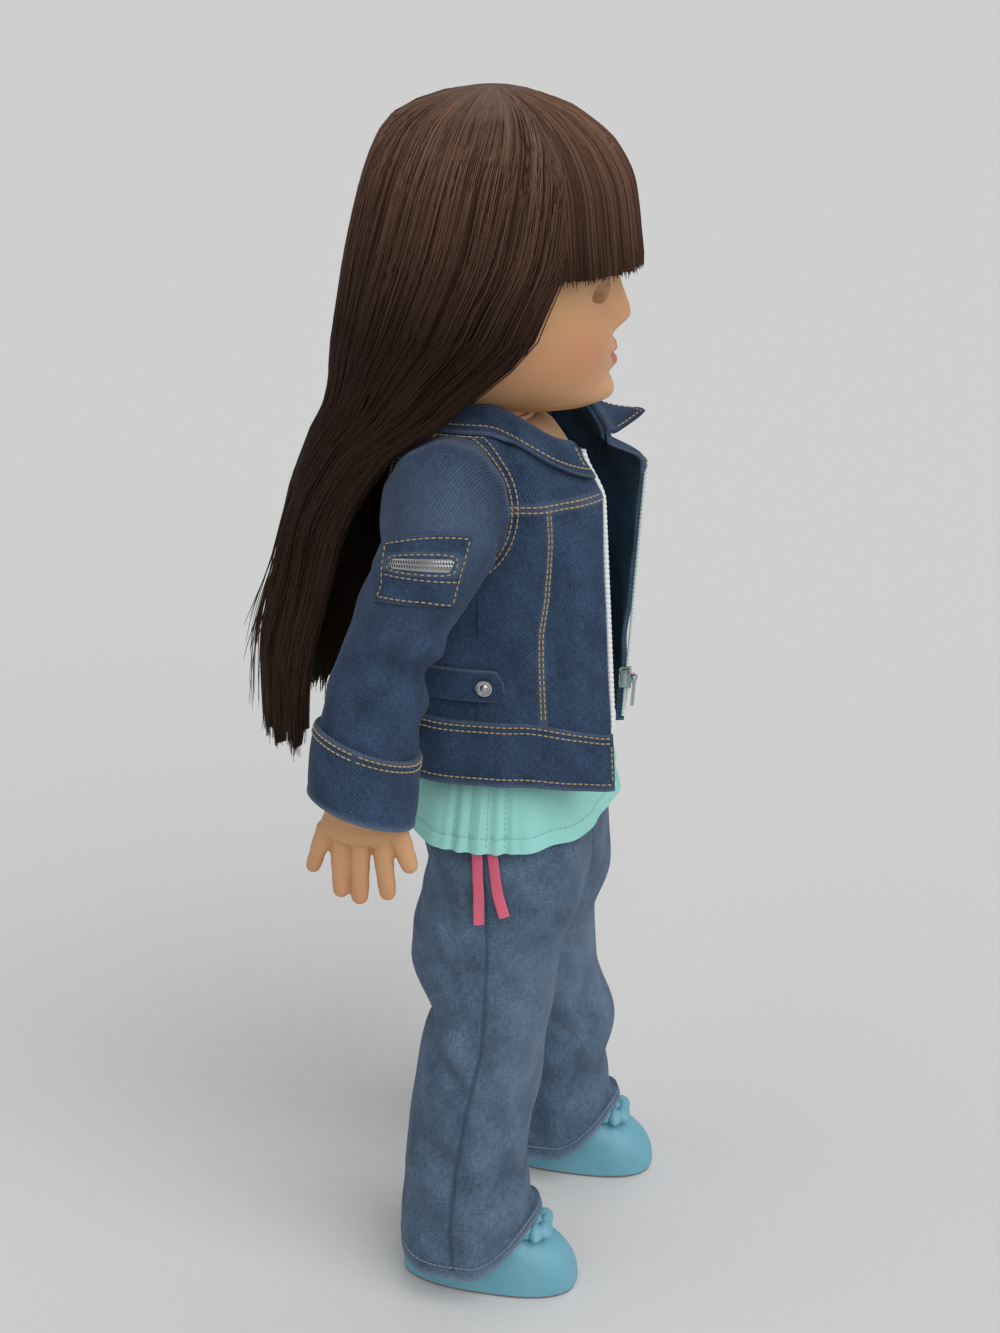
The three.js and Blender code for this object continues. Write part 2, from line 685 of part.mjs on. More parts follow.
// The long hair leaves the head behind the shoulders and stands off the back
function hairFall() {
  const drop = HAIR_FALL_LENGTH;
  const fullWidth = HEAD_HALF_WIDTH + HAIR_SIDE;
  const fullDepth = SKULL_DEPTH + HAIR_BACK;
  const middleShare = profile([
    [0, 0.26], [0.08, 0.465], [0.17, 0.586], [0.31, 0.707], [0.5, 0.83], [0.8, 1.03], [1, 1.086],
  ]);
  const innerShare = profile([[0, 0.57], [0.08, 0.362], [0.17, 0.241], [0.31, 0.155], [1, 0.103]]);
  const outerShare = profile([
    [0, 0.845], [0.08, 0.724], [0.17, 0.681], [0.31, 0.68], [0.6, 0.646], [1, 0.526],
  ]);
  const widthShare = profile([[0, 0.98], [0.08, 0.933], [0.31, 0.904], [0.6, 0.827], [1, 0.692]]);
  const locks = 6;
  const rows = [0, 0.08, 0.18, 0.34, 0.58, 0.82, 1];
  const turns = range(-radians(84), radians(84), 17);
  const side = (ease, depthShare, lockDepth) => rows.map((row) => turns.map((turn) => {
    const lock = lockDepth * row * Math.cos(locks * turn * 2);
    const ragged = 5 * ramp(row, 0.8, 1) * Math.cos(locks * turn * 2);
    const width = fullWidth * widthShare(row) - ease;
    const y = fullDepth * middleShare(row) + (fullDepth * depthShare(row) + lock) * Math.cos(turn);
    return point(width * Math.sin(turn), y, hairSplitZ - row * drop + ragged);
  }));
  return slab(side(0, outerShare, 1.6), side(4.5, innerShare, 0));
}

// Arm: from the shoulder it turns down, a little outward and back
const sleevePlaneX = CHEST_HALF_WIDTH + JACKET_CHEST_EASE + 2 * GAP;
const underarm = 1.5;
const armEnd = point(
  -(sleevePlaneX + SLEEVE_RADIUS + ARM_OUTWARD),
  SHOULDER_SETBACK + ARM_BACKWARD,
  shoulderZ - ARM_REACH,
);

// A station of the right arm: s runs 0 to 1 round the shoulder and 1 to 2 down to the cuff's end
function armStation(s) {
  const fanEnd = radians(78);
  const turn = Math.min(s, 1) * fanEnd;
  const pivot = point(-sleevePlaneX, SHOULDER_SETBACK, shoulderZ - ARMHOLE_RADIUS - underarm);
  const fanRadius = mix(ARMHOLE_RADIUS, SLEEVE_RADIUS, ramp(Math.min(s, 1), 0, 1));
  const place = pivot.clone();
  place.add(point(-Math.sin(turn), 0, Math.cos(turn)).multiplyScalar(fanRadius + underarm));
  const down = armEnd.clone().sub(place).normalize();
  const along = point(-Math.cos(turn), 0, -Math.sin(turn)).lerp(down, ramp(s, 0.4, 1.15)).normalize();
  if (s > 1) place.lerp(armEnd, s - 1);
  const across = point(0, 1, 0).addScaledVector(along, -along.y).normalize();
  const outward = across.clone().cross(along).normalize();
  const bowStart = 0.6;
  const bow = s > bowStart && s < 2 ? Math.sin((Math.PI * (s - bowStart)) / (2 - bowStart)) : 0;
  place.y += ELBOW_BACK * bow;
  return { place, along, across, outward, radius: fanRadius };
}

function armLoft(stations, radius, sides) {
  return skin(stations.map((s) => {
    const { place, across, outward } = armStation(s);
    return hoop(place, across, outward, radius(s), radius(s), sides);
  }));
}

const cuffStart = 2 - CUFF_HEIGHT / armStation(1).place.distanceTo(armEnd);

function sleeveRadius(s) {
  const taper = 0.6 * ramp(s, 1.1, cuffStart);
  const fold = 0.5 * Math.sin(s * 11) * ramp(s, 0.9, 1.2);
  return armStation(s).radius - taper + fold;
}

function sleeve() {
  const stations = [0, 0.25, 0.5, 0.75, 1, ...range(1.16, cuffStart - 0.004, 4)];
  const inside = [-0.02, 0.33, 0.66, 1, cuffStart + 0.05];
  const outer = armLoft(stations, sleeveRadius, 14);
  const inner = armLoft(inside, (s) => sleeveRadius(Math.max(0, s)) - DENIM_THICKNESS, 12);
  const mouthStart = point(-sleevePlaneX + 5, SHOULDER_SETBACK, shoulderZ);
  const mouth = rod(mouthStart, point(-1, 0, 0), 8, ARMHOLE_RADIUS - DENIM_THICKNESS, 12);
  return cut(outer, inner, mouth);
}

function cuff() {
  const radius = (s) => sleeveRadius(cuffStart) + CUFF_EASE - 0.4 * ramp(s, cuffStart, 2);
  const outer = armLoft([cuffStart, 2], radius, 16);
  const inner = armLoft([cuffStart - 0.05, 2.05], (s) => radius(s) - DENIM_THICKNESS - 0.8, 16);
  return cut(outer, inner);
}

// Hand: a palm with four fingers and a thumb, hanging from the wrist.
// Each finger has its place across the palm and its share of the longest reach, from the small one on.
const fingerPlaces = [[1, 0.65], [0.43, 0.93], [0.057, 1], [-0.514, 0.915]];

function digit(base, tip, radius) {
  const along = tip.clone().sub(base).normalize();
  const across = AXIS_Y.clone().addScaledVector(along, -along.y).normalize();
  const outward = across.clone().cross(along).normalize();
  const stops = [[0, 1], [0.82, 0.9], [1, 0.35]];
  return skin(stops.map(([t, share]) => {
    const place = base.clone().lerp(tip, t);
    return hoop(place, across, outward, radius * share, radius * share * 0.9, 6);
  }));
}

function arm() {
  const radius = (s) => (s <= 1
    ? mix(ARM_SHOULDER_RADIUS, ARM_ELBOW_RADIUS + 1.5, s)
    : mix(ARM_ELBOW_RADIUS + 1.5, WRIST_RADIUS, ramp(s, 1, 1.9)));
  const upper = armLoft([0, 0.33, 0.66, 1, 1.5, 2], radius, 12);
  const reach = sleevePlaneX - armFaceX + 1;
  const shoulder = rod(shoulderPoint(-1, armFaceX), point(-1, 0, 0), reach, ARM_SHOULDER_RADIUS, 12);
  const palmCentre = armEnd.clone().add(point(-1.5, 0.5, -HAND_BELOW_WRIST));
  const palm = ball(palmCentre, HAND_HALF_THICKNESS, HAND_HALF_WIDTH, 0.86 * HAND_HALF_WIDTH, 10, 7);
  const fingers = fingerPlaces.map(([place, reach]) => {
    const spread = HAND_HALF_WIDTH * place;
    const base = palmCentre.clone().add(point(0, 0.72 * spread, -0.17 * FINGER_REACH));
    const tip = palmCentre.clone().add(point(0, 1.25 * spread, -reach * FINGER_REACH));
    return digit(base, tip, FINGER_RADIUS);
  });
  const thumbBase = palmCentre.clone().add(point(1, -0.7 * HAND_HALF_WIDTH, 2));
  const thumbTip = palmCentre.clone().add(point(1, -1.28 * HAND_HALF_WIDTH, -0.54 * FINGER_REACH));
  const thumb = digit(thumbBase, thumbTip, FINGER_RADIUS);
  const whole = join(upper, shoulder, palm, ...fingers, thumb);
  return cut(whole, ...stringing(-1, armFaceX, armWasherX, SHOULDER_SETBACK, shoulderZ));
}

// A patch that lies on the sleeve, from station to station and over an angle about its outer side
function sleevePatch(from, to, halfAngle, lift, thickness, middle = 0) {
  const layer = (height) => range(from, to, 5).map((s) => range(-halfAngle, halfAngle, 6).map((turn) => {
    const { place, across, outward } = armStation(s);
    const radius = sleeveRadius(s) + height;
    const angle = middle + turn;
    const spot = place.clone().addScaledVector(outward, radius * Math.cos(angle));
    return spot.addScaledVector(across, radius * Math.sin(angle));
  }));
  return slab(layer(lift + thickness), layer(lift));
}

// Leg: the middle of the right or left leg at a height, with the feet set one ahead of the other
function legMiddle(side, z) {
  const down = ramp(hipZ - z, 20, hipZ - ANKLE_HEIGHT);
  const spreadTop = hipZ - 25;
  const spread = Math.min(1, Math.max(0, (spreadTop - z) / (spreadTop - ANKLE_HEIGHT)));
  const x = side * mix(legX, footX, spread);
  const stagger = side < 0 ? RIGHT_FOOT_BACK : -LEFT_FOOT_AHEAD;
  return { x, y: stagger * down };
}

const footMiddle = (side) => point(side * footX, legMiddle(side, 0).y - FOOT_FORWARD, 0);
const legRadius = profile([
  [ANKLE_HEIGHT - 20, ANKLE_RADIUS],
  [ANKLE_HEIGHT, ANKLE_RADIUS],
  [mix(ANKLE_HEIGHT, KNEE_HEIGHT, 0.6), CALF_RADIUS],
  [KNEE_HEIGHT, KNEE_RADIUS],
  [hipZ - 30, THIGH_RADIUS],
  [hipZ, THIGH_RADIUS],
]);
const ankleSetback = 5;

// Shoe sections along the foot, from heel to toe: [share of length, width share, height share]
const shoeSections = [
  [0, 0.36, 0.5], [0.04, 0.64, 0.8], [0.16, 0.86, 0.91], [0.46, 0.92, 0.98],
  [0.66, 1, 1], [0.84, 0.9, 0.74], [0.95, 0.58, 0.5], [1, 0.22, 0.3],
];

function shoeLoft(side, shrink, bottom) {
  const middle = footMiddle(side);
  return skin(shoeSections.map(([t, widthShare, heightShare], i) => {
    const end = i === 0 ? -shrink : i === shoeSections.length - 1 ? shrink : 0;
    const y = middle.y + SHOE_LENGTH * (0.5 - t) + end;
    const width = Math.max(1, SHOE_HALF_WIDTH * widthShare - shrink);
    const top = SOLE_THICKNESS + GAP + SHOE_HEIGHT * heightShare - shrink;
    const low = SOLE_THICKNESS + GAP + bottom;
    const arch = range(0, Math.PI, 8).map((turn) => {
      const c = Math.cos(turn);
      const x = middle.x + width * Math.sign(c) * Math.abs(c) ** 0.8;
      return point(x, y, low + (top - low) * Math.sin(turn) ** 0.8);
    });
    return [...arch, point(middle.x - width * 0.4, y, low), point(middle.x + width * 0.4, y, low)];
  }));
}

function leg(side) {
  const calfZ = mix(ANKLE_HEIGHT, KNEE_HEIGHT, 0.6);
  const thighZ = hipZ - 30;
  const heights = [
    ANKLE_HEIGHT - 20, ANKLE_HEIGHT, calfZ, KNEE_HEIGHT, mix(KNEE_HEIGHT, thighZ, 0.5), thighZ, hipZ - 8,
  ];
  const shank = skin(heights.map((z) => {
    const { x, y } = legMiddle(side, z);
    const back = ankleSetback * ramp(KNEE_HEIGHT - z, 0, KNEE_HEIGHT - ANKLE_HEIGHT);
    return oval({ x, y: y + back, z, width: legRadius(z), front: legRadius(z) + 1.5 }, 12);
  }));
  const flat = legFaceX;
  const trim = block(side < 0 ? -flat : 0, side < 0 ? 0 : flat, -60, 60, hipZ - 60, hipZ + 60);
  const foot = shoeLoft(side, SHOE_WALL + GAP, INSOLE + GAP);
  return cut(join(shank, hipBall(side, 0), foot), trim, ...stringing(side, legFaceX, legWasherX, 0, hipZ));
}

// Jeans: a drum over the hip ball and a tube to the flared hem, with the folds at the knee and hem
const flareZ = JEANS_HEM_HEIGHT + 26;
const shinZ = JEANS_HEM_HEIGHT + 50;
const jeansThighZ = hipZ - 35;
const jeansWidth = profile([
  [JEANS_HEM_HEIGHT, JEANS_HEM_RADIUS], [flareZ, JEANS_HEM_RADIUS - 1.4], [shinZ, JEANS_HEM_RADIUS - 2.4],
  [KNEE_HEIGHT, KNEE_RADIUS + 7.5], [jeansThighZ, THIGH_RADIUS + 2.7],
  [hipZ, HIP_BALL_HALF_WIDTH + ballJeansOuter],
]);
const jeansDepth = profile([
  [JEANS_HEM_HEIGHT, JEANS_HEM_RADIUS + 2], [flareZ, JEANS_HEM_RADIUS], [shinZ, JEANS_HEM_RADIUS - 1],
  [KNEE_HEIGHT - 14, KNEE_RADIUS + 9.5], [KNEE_HEIGHT + 8, KNEE_RADIUS + 7.5],
  [jeansThighZ, HIP_BALL_RADIUS + 0.6], [hipZ, HIP_BALL_RADIUS + 1.4],
]);
const jeansSetback = profile([
  [JEANS_HEM_HEIGHT, 2], [shinZ + 6, 2], [KNEE_HEIGHT - 10, 1], [KNEE_HEIGHT + 12, -1],
  [jeansThighZ, -2], [hipZ, 0],
]);

function jeansRing(side, z, inset, sides) {
  const middle = legMiddle(side, z);
  const shape = {
    x: middle.x,
    y: middle.y + jeansSetback(z),
    z,
    width: jeansWidth(z) - inset,
    front: jeansDepth(z) - inset,
    power: 2.1,
  };
  const hem = 1 - ramp(z, JEANS_HEM_HEIGHT, JEANS_HEM_HEIGHT + 22);
  return oval(shape, sides).map((place) => {
    const turn = Math.atan2(place.y - shape.y, place.x - shape.x);
    const folded = ramp(z, JEANS_HEM_HEIGHT + 6, shinZ - 4) * (1 - ramp(z, KNEE_HEIGHT + 20, hipZ - 20));
    const fold = 0.9 * folded * Math.sin(z / 7.5 + 2 * turn);
    const drape = 0.8 * Math.cos(5 * turn) * hem;
    place.x += (fold + drape) * Math.cos(turn);
    place.y += (fold + drape) * Math.sin(turn);
    place.z += JEANS_HEM_RISE * hem * ramp(-Math.sin(turn), 0.1, 0.95);
    return place;
  });
}

function jeansLeg(side) {
  const above = [hipZ - 18, hipZ - 4];
  const hemTurnZ = JEANS_HEM_HEIGHT + 11;
  const heights = [JEANS_HEM_HEIGHT, hemTurnZ, ...range(flareZ, jeansThighZ, 7), ...above];
  const tube = skin(heights.map((z) => jeansRing(side, z, 0, 16)));
  const outer = join(tube, hipBall(side, ballJeansOuter));
  const belowHem = JEANS_HEM_HEIGHT - 20;
  const inside = [belowHem, JEANS_HEM_HEIGHT, hemTurnZ, ...range(flareZ, jeansThighZ, 4), ...above];
  const bore = skin(inside.map((z) => jeansRing(side, z, JEANS_THICKNESS, 12)));
  const inner = join(bore, hipBall(side, ballJeansInner));
  const mouthStart = point(side * (crotchHalfWidth - 4), 0, hipZ);
  const mouth = rod(mouthStart, point(side, 0, 0), 12, HIP_DISC_RADIUS + 2, 14);
  return cut(outer, inner, mouth);
}

function jeansSeat() {
  const low = hipZ - CROTCH_BELOW_HIP - 3;
  const outer = torsoLoft(TEE_EASE - GAP, low, waistZ + 1);
  const inner = torsoLoft(GAP, hipZ - CROTCH_BELOW_HIP - GAP, waistZ + 6);
  return cut(outer, inner, hipSpace(-1), hipSpace(1));
}

// Shoes
function shoeUpper(side) {
  const middle = footMiddle(side);
  const throat = skin([9, 60].map((z) => {
    const centre = point(middle.x, middle.y + FOOT_FORWARD + ankleSetback, z);
    return hoop(centre, AXIS_X, AXIS_Y, SHOE_HALF_WIDTH * 0.75, SHOE_LENGTH * 0.26, 16);
  }));
  return cut(shoeLoft(side, 0, 0), shoeLoft(side, SHOE_WALL, INSOLE), throat);
}

function shoeSole(side) {
  const middle = footMiddle(side);
  const edge = (along, across) => {
    const y = middle.y + (SHOE_LENGTH / 2 + SOLE_LEDGE) * along;
    return point(middle.x + across, y, 0);
  };
  const widths = profile(shoeSections.map(([t, share]) => [t, share * SHOE_HALF_WIDTH + SOLE_LEDGE]));
  const stops = range(0, Math.PI, 13).map((turn) => -Math.cos(turn) / 2 + 0.5);
  const outline = [
    ...stops.map((t) => edge(1 - 2 * t, widths(t))),
    ...stops.slice().reverse().map((t) => edge(1 - 2 * t, -widths(t))),
  ];
  return skin([0, SOLE_THICKNESS].map((z) => outline.map((place) => place.clone().setZ(z))));
}

function shoeBow(side) {
  const middle = footMiddle(side);
  const centre = point(middle.x, middle.y - 0.26 * SHOE_LENGTH, SOLE_THICKNESS + SHOE_HEIGHT - 5);
  const puffs = 6;
  const stops = [[0, 0.8], [5, 1], [7.6, 0.86], [8.8, 0.3]];
  const rings = stops.map(([rise, share]) => range(0, 2 * Math.PI, 3 * puffs + 1).slice(1).map((turn) => {
    const radius = 9 * share * (1 + 0.14 * Math.cos(puffs * turn));
    const slope = 0.25 * radius * Math.sin(turn);
    const [across, along] = [1.2 * radius * Math.cos(turn), 0.85 * radius * Math.sin(turn)];
    return centre.clone().add(point(across, along, rise + slope));
  }));
  return cut(skin(rings), shoeLoft(side, -GAP, -GAP));
}

// Tee: a close body and a flared hem with soft folds
function teeBody() {
  const low = jacketHemZ + 4;
  const high = torsoTopZ - 4;
  const armholes = [-1, 1].map((side) => {
    return rod(shoulderPoint(side, 20), point(side, 0, 0), 60, ARM_SHOULDER_RADIUS + 2, 14);
  });
  const outer = torsoLoft(TEE_EASE + TEE_THICKNESS, low, high);
  const inner = torsoLoft(TEE_EASE, low - 1, high + 1);
  return cut(outer, inner, ...armholes);
}

function teeHem() {
  const top = jacketHemZ + 4 - GAP;
  const ring = (z, inset) => {
    const down = (top - z) / (top - teeHemZ);
    const width = torsoWidth(top) + TEE_EASE + TEE_THICKNESS + TEE_HEM_FLARE * down - inset;
    const front = torsoDepth(top) + TEE_EASE + TEE_THICKNESS + TEE_HEM_DEPTH_FLARE * down - inset;
    return oval({ z, width, front, power: 2.3 }, 3 * TEE_FOLDS).map((place) => {
      const turn = Math.atan2(place.y, place.x);
      const fold = 0.9 * down * Math.cos(TEE_FOLDS * turn);
      return point(place.x + fold * Math.cos(turn), place.y + fold * Math.sin(turn), place.z);
    });
  };
  const heights = range(teeHemZ, top, 3);
  const outer = skin(heights.map((z) => ring(z, 0)));
  const inner = skin(heights.map((z, i) => ring(z, TEE_THICKNESS).map((place) => {
    const spill = i === 0 ? -1 : i === heights.length - 1 ? 1 : 0;
    return place.setZ(place.z + spill);
  })));
  return cut(outer, inner);
}

// The two tails of the tee's side tie hang from under its hem
const tieX = -(legX + HIP_BALL_HALF_WIDTH + ballJeansOuter + 1.4);
const tieRoutes = {
  front: [[2.7, -1.5, 15], [0.4, -3, 4], [0, -4.5, -7], [0, -7, -16]],
  rear: [[2.7, 3.5, 15], [0.4, 3, 4], [0, 2.5, -8], [0, 2.5, -20]],
};

function tieTail(route) {
  const path = route.map(([inward, y, z]) => point(tieX + inward, y, hipZ + z));
  const curve = new THREE.CatmullRomCurve3(path);
  return skin(range(0, 1, 8).map((t) => {
    return hoop(curve.getPoint(t), AXIS_X, AXIS_Y, TIE_THICKNESS / 2, TIE_WIDTH / 2, 6);
  }));
}

// Jacket form
const jacketChestWidth = CHEST_HALF_WIDTH + JACKET_CHEST_EASE;
const jacketWidth = profile([
  [jacketHemZ, JACKET_HEM_HALF_WIDTH],
  [bandTopZ, mix(JACKET_HEM_HALF_WIDTH, jacketChestWidth, 0.25)],
  [chestZ - 20, mix(JACKET_HEM_HALF_WIDTH, jacketChestWidth, 0.7)],
  [chestZ + 5, jacketChestWidth],
  [chinZ - 9, jacketChestWidth],
  [chinZ - 2, jacketChestWidth - 4],
  [chinZ + 2, NECK_RADIUS + 16],
]);
const jacketDepth = profile([
  [jacketHemZ, JACKET_HEM_HALF_DEPTH],
  [chestZ - 20, CHEST_HALF_DEPTH + 10.5],
  [chestZ + 5, CHEST_HALF_DEPTH + 9],
  [shoulderZ, SHOULDER_HALF_DEPTH + 10],
  [chinZ - 9, SHOULDER_HALF_DEPTH + 6],
  [chinZ + 2, NECK_RADIUS + 9.5],
]);
const jacketSetback = profile([
  [chestZ - 20, 1], [shoulderZ, 3], [chinZ - 9, NECK_SETBACK - 1], [chinZ + 2, NECK_SETBACK],
]);
const jacketPower = 2.6;

function jacketPoint(angle, z, ease) {
  const size = {
    width: jacketWidth(z) + ease,
    front: jacketDepth(z) + ease,
    back: jacketDepth(z) + ease,
    power: jacketPower,
  };
  const [x, y] = grow(size, angle);
  return point(x, jacketSetback(z) + y, z);
}

// The angle, from the middle of the front, at which the jacket's surface is this far to the side
function edgeAngle(z, x) {
  return Math.asin((x / jacketWidth(z)) ** (jacketPower / 2));
}

// The front edges that carry the zipper chains, from hem to neck. The right one swings open towards the hem.
// Below the lapel they are straight; above it they turn back to the neck by the tuck.
const frontEdges = {
  right: {
    side: -1,
    hemX: RIGHT_EDGE_AT_HEM,
    neckX: RIGHT_EDGE_AT_NECK,
    hemY: -JACKET_HEM_HALF_DEPTH - 2,
    neckY: -SHOULDER_HALF_DEPTH - 10,
    tuck: 6.5,
    lean: radians(RIGHT_EDGE_LEAN),
  },
  left: {
    side: 1,
    hemX: LEFT_EDGE,
    neckX: LEFT_EDGE,
    hemY: 5 - JACKET_HEM_HALF_DEPTH,
    neckY: -SHOULDER_HALF_DEPTH - 20.5,
    tuck: 9,
    lean: 0,
  },
};
const neckEdgeZ = chinZ - 9;
const lapelZ = neckEdgeZ - 18;

function frontEdge(edge, z) {
  const rise = (z - jacketHemZ) / (neckEdgeZ - jacketHemZ);
  const y = mix(edge.hemY, edge.neckY, rise) + edge.tuck * ramp(z, lapelZ, neckEdgeZ);
  return point(edge.side * mix(edge.hemX, edge.neckX, rise), y, z);
}

function frontPoint(edge, u, z, ease) {
  const goal = frontEdge(edge, z);
  const last = edgeAngle(z, Math.abs(goal.x));
  const place = jacketPoint(-Math.PI / 2 + edge.side * mix(Math.PI / 2, last, u), z, ease);
  const shift = goal.y - jacketPoint(-Math.PI / 2 + edge.side * last, z, 0).y;
  const inset = jacketPoint(-Math.PI / 2 + edge.side * last, z, ease).x;
  const pulled = ramp(u, 0.2, 1);
  place.y += shift * pulled;
  place.x += (goal.x - inset) * pulled;
  return place;
}

const neckline = (u) => mix(chinZ + 1, neckEdgeZ, ramp(u, 0.35, 1));

function armholeCut(side) {
  return rod(shoulderPoint(side, 20), point(side, 0, 0), 60, ARM_SHOULDER_RADIUS + 3, 16);
}

function jacketFront(edge) {
  const seam = GAP / 100;
  const layer = (ease) => range(0, 1, 8).map((row) => range(seam, 1, 8).map((u) => {
    return frontPoint(edge, u, mix(bandTopZ + GAP, neckline(u), row), ease);
  }));
  return cut(slab(layer(0), layer(-DENIM_THICKNESS)), armholeCut(edge.side));
}

function jacketBack() {
  const seam = GAP / jacketChestWidth;
  const layer = (ease) => range(bandTopZ + GAP, chinZ + 1, 8).map((z) => {
    return range(seam, Math.PI - seam, 13).map((angle) => jacketPoint(angle, z, ease));
  });
  return cut(slab(layer(0), layer(-DENIM_THICKNESS)), armholeCut(-1), armholeCut(1));
}

function jacketBand() {
  const columns = range(0, 1, 8);
  const layer = (ease) => range(jacketHemZ, bandTopZ, 2).map((z) => [
    ...columns.map((u) => frontPoint(frontEdges.left, 1 - u, z, ease)),
    ...range(0, Math.PI, 15).slice(1, -1).map((angle) => jacketPoint(angle, z, ease)),
    ...columns.map((u) => frontPoint(frontEdges.right, u, z, ease)),
  ]);
  return slab(layer(0.6), layer(-DENIM_THICKNESS - 0.4));
}

// Folded collar: it rises over the neck edge, turns down and lies on the jacket
const collarLift = 4 * GAP;

function collarColumn(place, neckZ, depth) {
  const outside = collarLift + DENIM_THICKNESS;
  return {
    outer: [
      place(neckZ + COLLAR_RISE, -1.2),
      place(neckZ + 0.6 * COLLAR_RISE, outside),
      place(neckZ - 0.5 * depth, outside),
      place(neckZ - depth, outside),
    ],
    inner: [
      place(neckZ + COLLAR_RISE - 1.4, -2),
      place(neckZ + 2 * collarLift, 2 * collarLift),
      place(neckZ - 0.5 * depth, collarLift),
      place(neckZ - depth, collarLift),
    ],
  };
}

function jacketCollar() {
  const half = (edge) => range(0, 1, 8).slice(0, -1).map((u) => {
    const depth = mix(COLLAR_SIDE_DEPTH, COLLAR_TIP_DEPTH, ramp(u, 0.1, 0.84));
    return collarColumn((z, ease) => frontPoint(edge, u, z, ease), neckline(u), depth);
  });
  const back = range(0, Math.PI, 13).slice(1, -1).map((angle) => {
    const depth = mix(COLLAR_SIDE_DEPTH, COLLAR_BACK_DEPTH, ramp(Math.sin(angle), 0.5, 0.95));
    return collarColumn((z, ease) => jacketPoint(angle, z, ease), chinZ + 1, depth);
  });
  const columns = [...half(frontEdges.left).reverse(), ...back, ...half(frontEdges.right)];
  return slab(columns.map((column) => column.outer), columns.map((column) => column.inner));
}

// Zipper: a toothed chain on each front edge, a slider at the foot of the left one, and its pull
function chainFrame(edge) {
  const low = frontEdge(edge, jacketHemZ + 3);
  const high = frontEdge(edge, lapelZ);
  const along = high.clone().sub(low).normalize();
  const inward = point(-edge.side * Math.cos(edge.lean), -Math.sin(edge.lean), 0);
  inward.addScaledVector(along, -inward.dot(along)).normalize();
  const facing = along.clone().cross(inward).normalize();
  const middle = low.clone().addScaledVector(facing, (-edge.side * DENIM_THICKNESS) / 2);
  const frame = new THREE.Matrix4().makeBasis(along, inward, facing).setPosition(middle);
  return { frame, length: high.distanceTo(low) };
}

function zipperChain(edge) {
  const { frame, length } = chainFrame(edge);
  const outline = [new THREE.Vector2(0, GAP)];
  const teeth = Math.floor(length / ZIP_PITCH);
  for (let i = 0; i < teeth; i++) {
    const start = i * ZIP_PITCH;
    for (const [share, height] of [[0, 0.6], [0.2, 1], [0.5, 1], [0.7, 0.6]]) {
      outline.push(new THREE.Vector2(start + share * ZIP_PITCH, height * ZIP_WIDTH));
    }
  }
  for (const height of [0.6 * ZIP_WIDTH, GAP]) outline.push(new THREE.Vector2(teeth * ZIP_PITCH, height));
  const flat = new THREE.Shape(outline);
  const chain = new THREE.ExtrudeGeometry(flat, { depth: ZIP_THICKNESS, bevelEnabled: false });
  chain.translate(0, 0, -ZIP_THICKNESS / 2);
  return chain.applyMatrix4(frame);
}

// The slider's frame on the left chain: x along the chain, y away from its panel, z to the front
const sliderStart = new THREE.Matrix4().makeTranslation(SLIDER_REST, 0, 0);
const sliderFrame = chainFrame(frontEdges.left).frame.multiply(sliderStart);
const pullHalf = PULL_WIDTH / 2;
const pullBarrelRadius = PULL_THICKNESS / 2 + PULL_PIN_RADIUS;
const pinHole = PULL_PIN_RADIUS + GAP;
const pivot = point(SLIDER_LENGTH / 2, ZIP_WIDTH / 2, SLIDER_HALF_DEPTH + GAP + pullBarrelRadius);

function zipperSlider() {
  const channel = ZIP_THICKNESS / 2 + 1.2;
  const wrap = 1.6;
  const high = ZIP_WIDTH + GAP + 1.1;
  const shell = cut(
    block(0, SLIDER_LENGTH, -wrap, high, -SLIDER_HALF_DEPTH, SLIDER_HALF_DEPTH),
    block(-1, SLIDER_LENGTH + 1, -2 * wrap, ZIP_WIDTH + GAP, -channel, channel),
  );
  const reach = pinHole + LUG_THICKNESS / 2;
  const foot = SLIDER_HALF_DEPTH - LUG_THICKNESS / 2;
  const lugs = [-1, 1].map((side) => {
    const inside = pivot.y + side * (pullHalf + GAP);
    const outside = inside + side * LUG_THICKNESS;
    const [low, top] = [Math.min(inside, outside), Math.max(inside, outside)];
    return block(pivot.x - reach, pivot.x + reach, low, top, foot, pivot.z + reach);
  });
  const bore = rod(pivot.clone().setY(-PULL_LENGTH), AXIS_Y, 2 * PULL_LENGTH, pinHole, 8);
  return cut(join(shell, ...lugs), bore).applyMatrix4(sliderFrame);
}

function zipperPull() {
  const barrel = rod(pivot.clone().setY(pivot.y - pullHalf), AXIS_Y, PULL_WIDTH, pullBarrelRadius, 8);
  const pinLength = PULL_WIDTH + 2 * (GAP + LUG_THICKNESS);
  const pin = rod(pivot.clone().setY(pivot.y - pinLength / 2), AXIS_Y, pinLength, PULL_PIN_RADIUS, 6);
  const half = PULL_THICKNESS / 2;
  const plate = block(
    pivot.x - PULL_LENGTH, pivot.x, pivot.y - pullHalf, pivot.y + pullHalf, pivot.z - half, pivot.z + half,
  );
  const gripStart = point(pivot.x - 0.78 * PULL_LENGTH, pivot.y, 0);
  const grip = rod(gripStart, AXIS_Z, 2 * pivot.z, 0.22 * PULL_WIDTH, 8);
  return cut(join(plate, barrel, pin), grip).applyMatrix4(sliderFrame);
}

// Waist tab with its snap, on the right side of the jacket
const tabZ = bandTopZ + 18;
const tabHalfHeight = 5.5;

function tabGrid(ease) {
  return [-1, 1].map((edge) => range(-0.12, 0.42, 8).map((y) => {
    const taper = mix(0.45, 1, ramp(y, -0.12, -0.02));
    return jacketPoint(Math.PI - y, tabZ + edge * tabHalfHeight * taper, ease);
  }));
}

const waistTab = () => slab(tabGrid(GAP + 1.6), tabGrid(GAP));

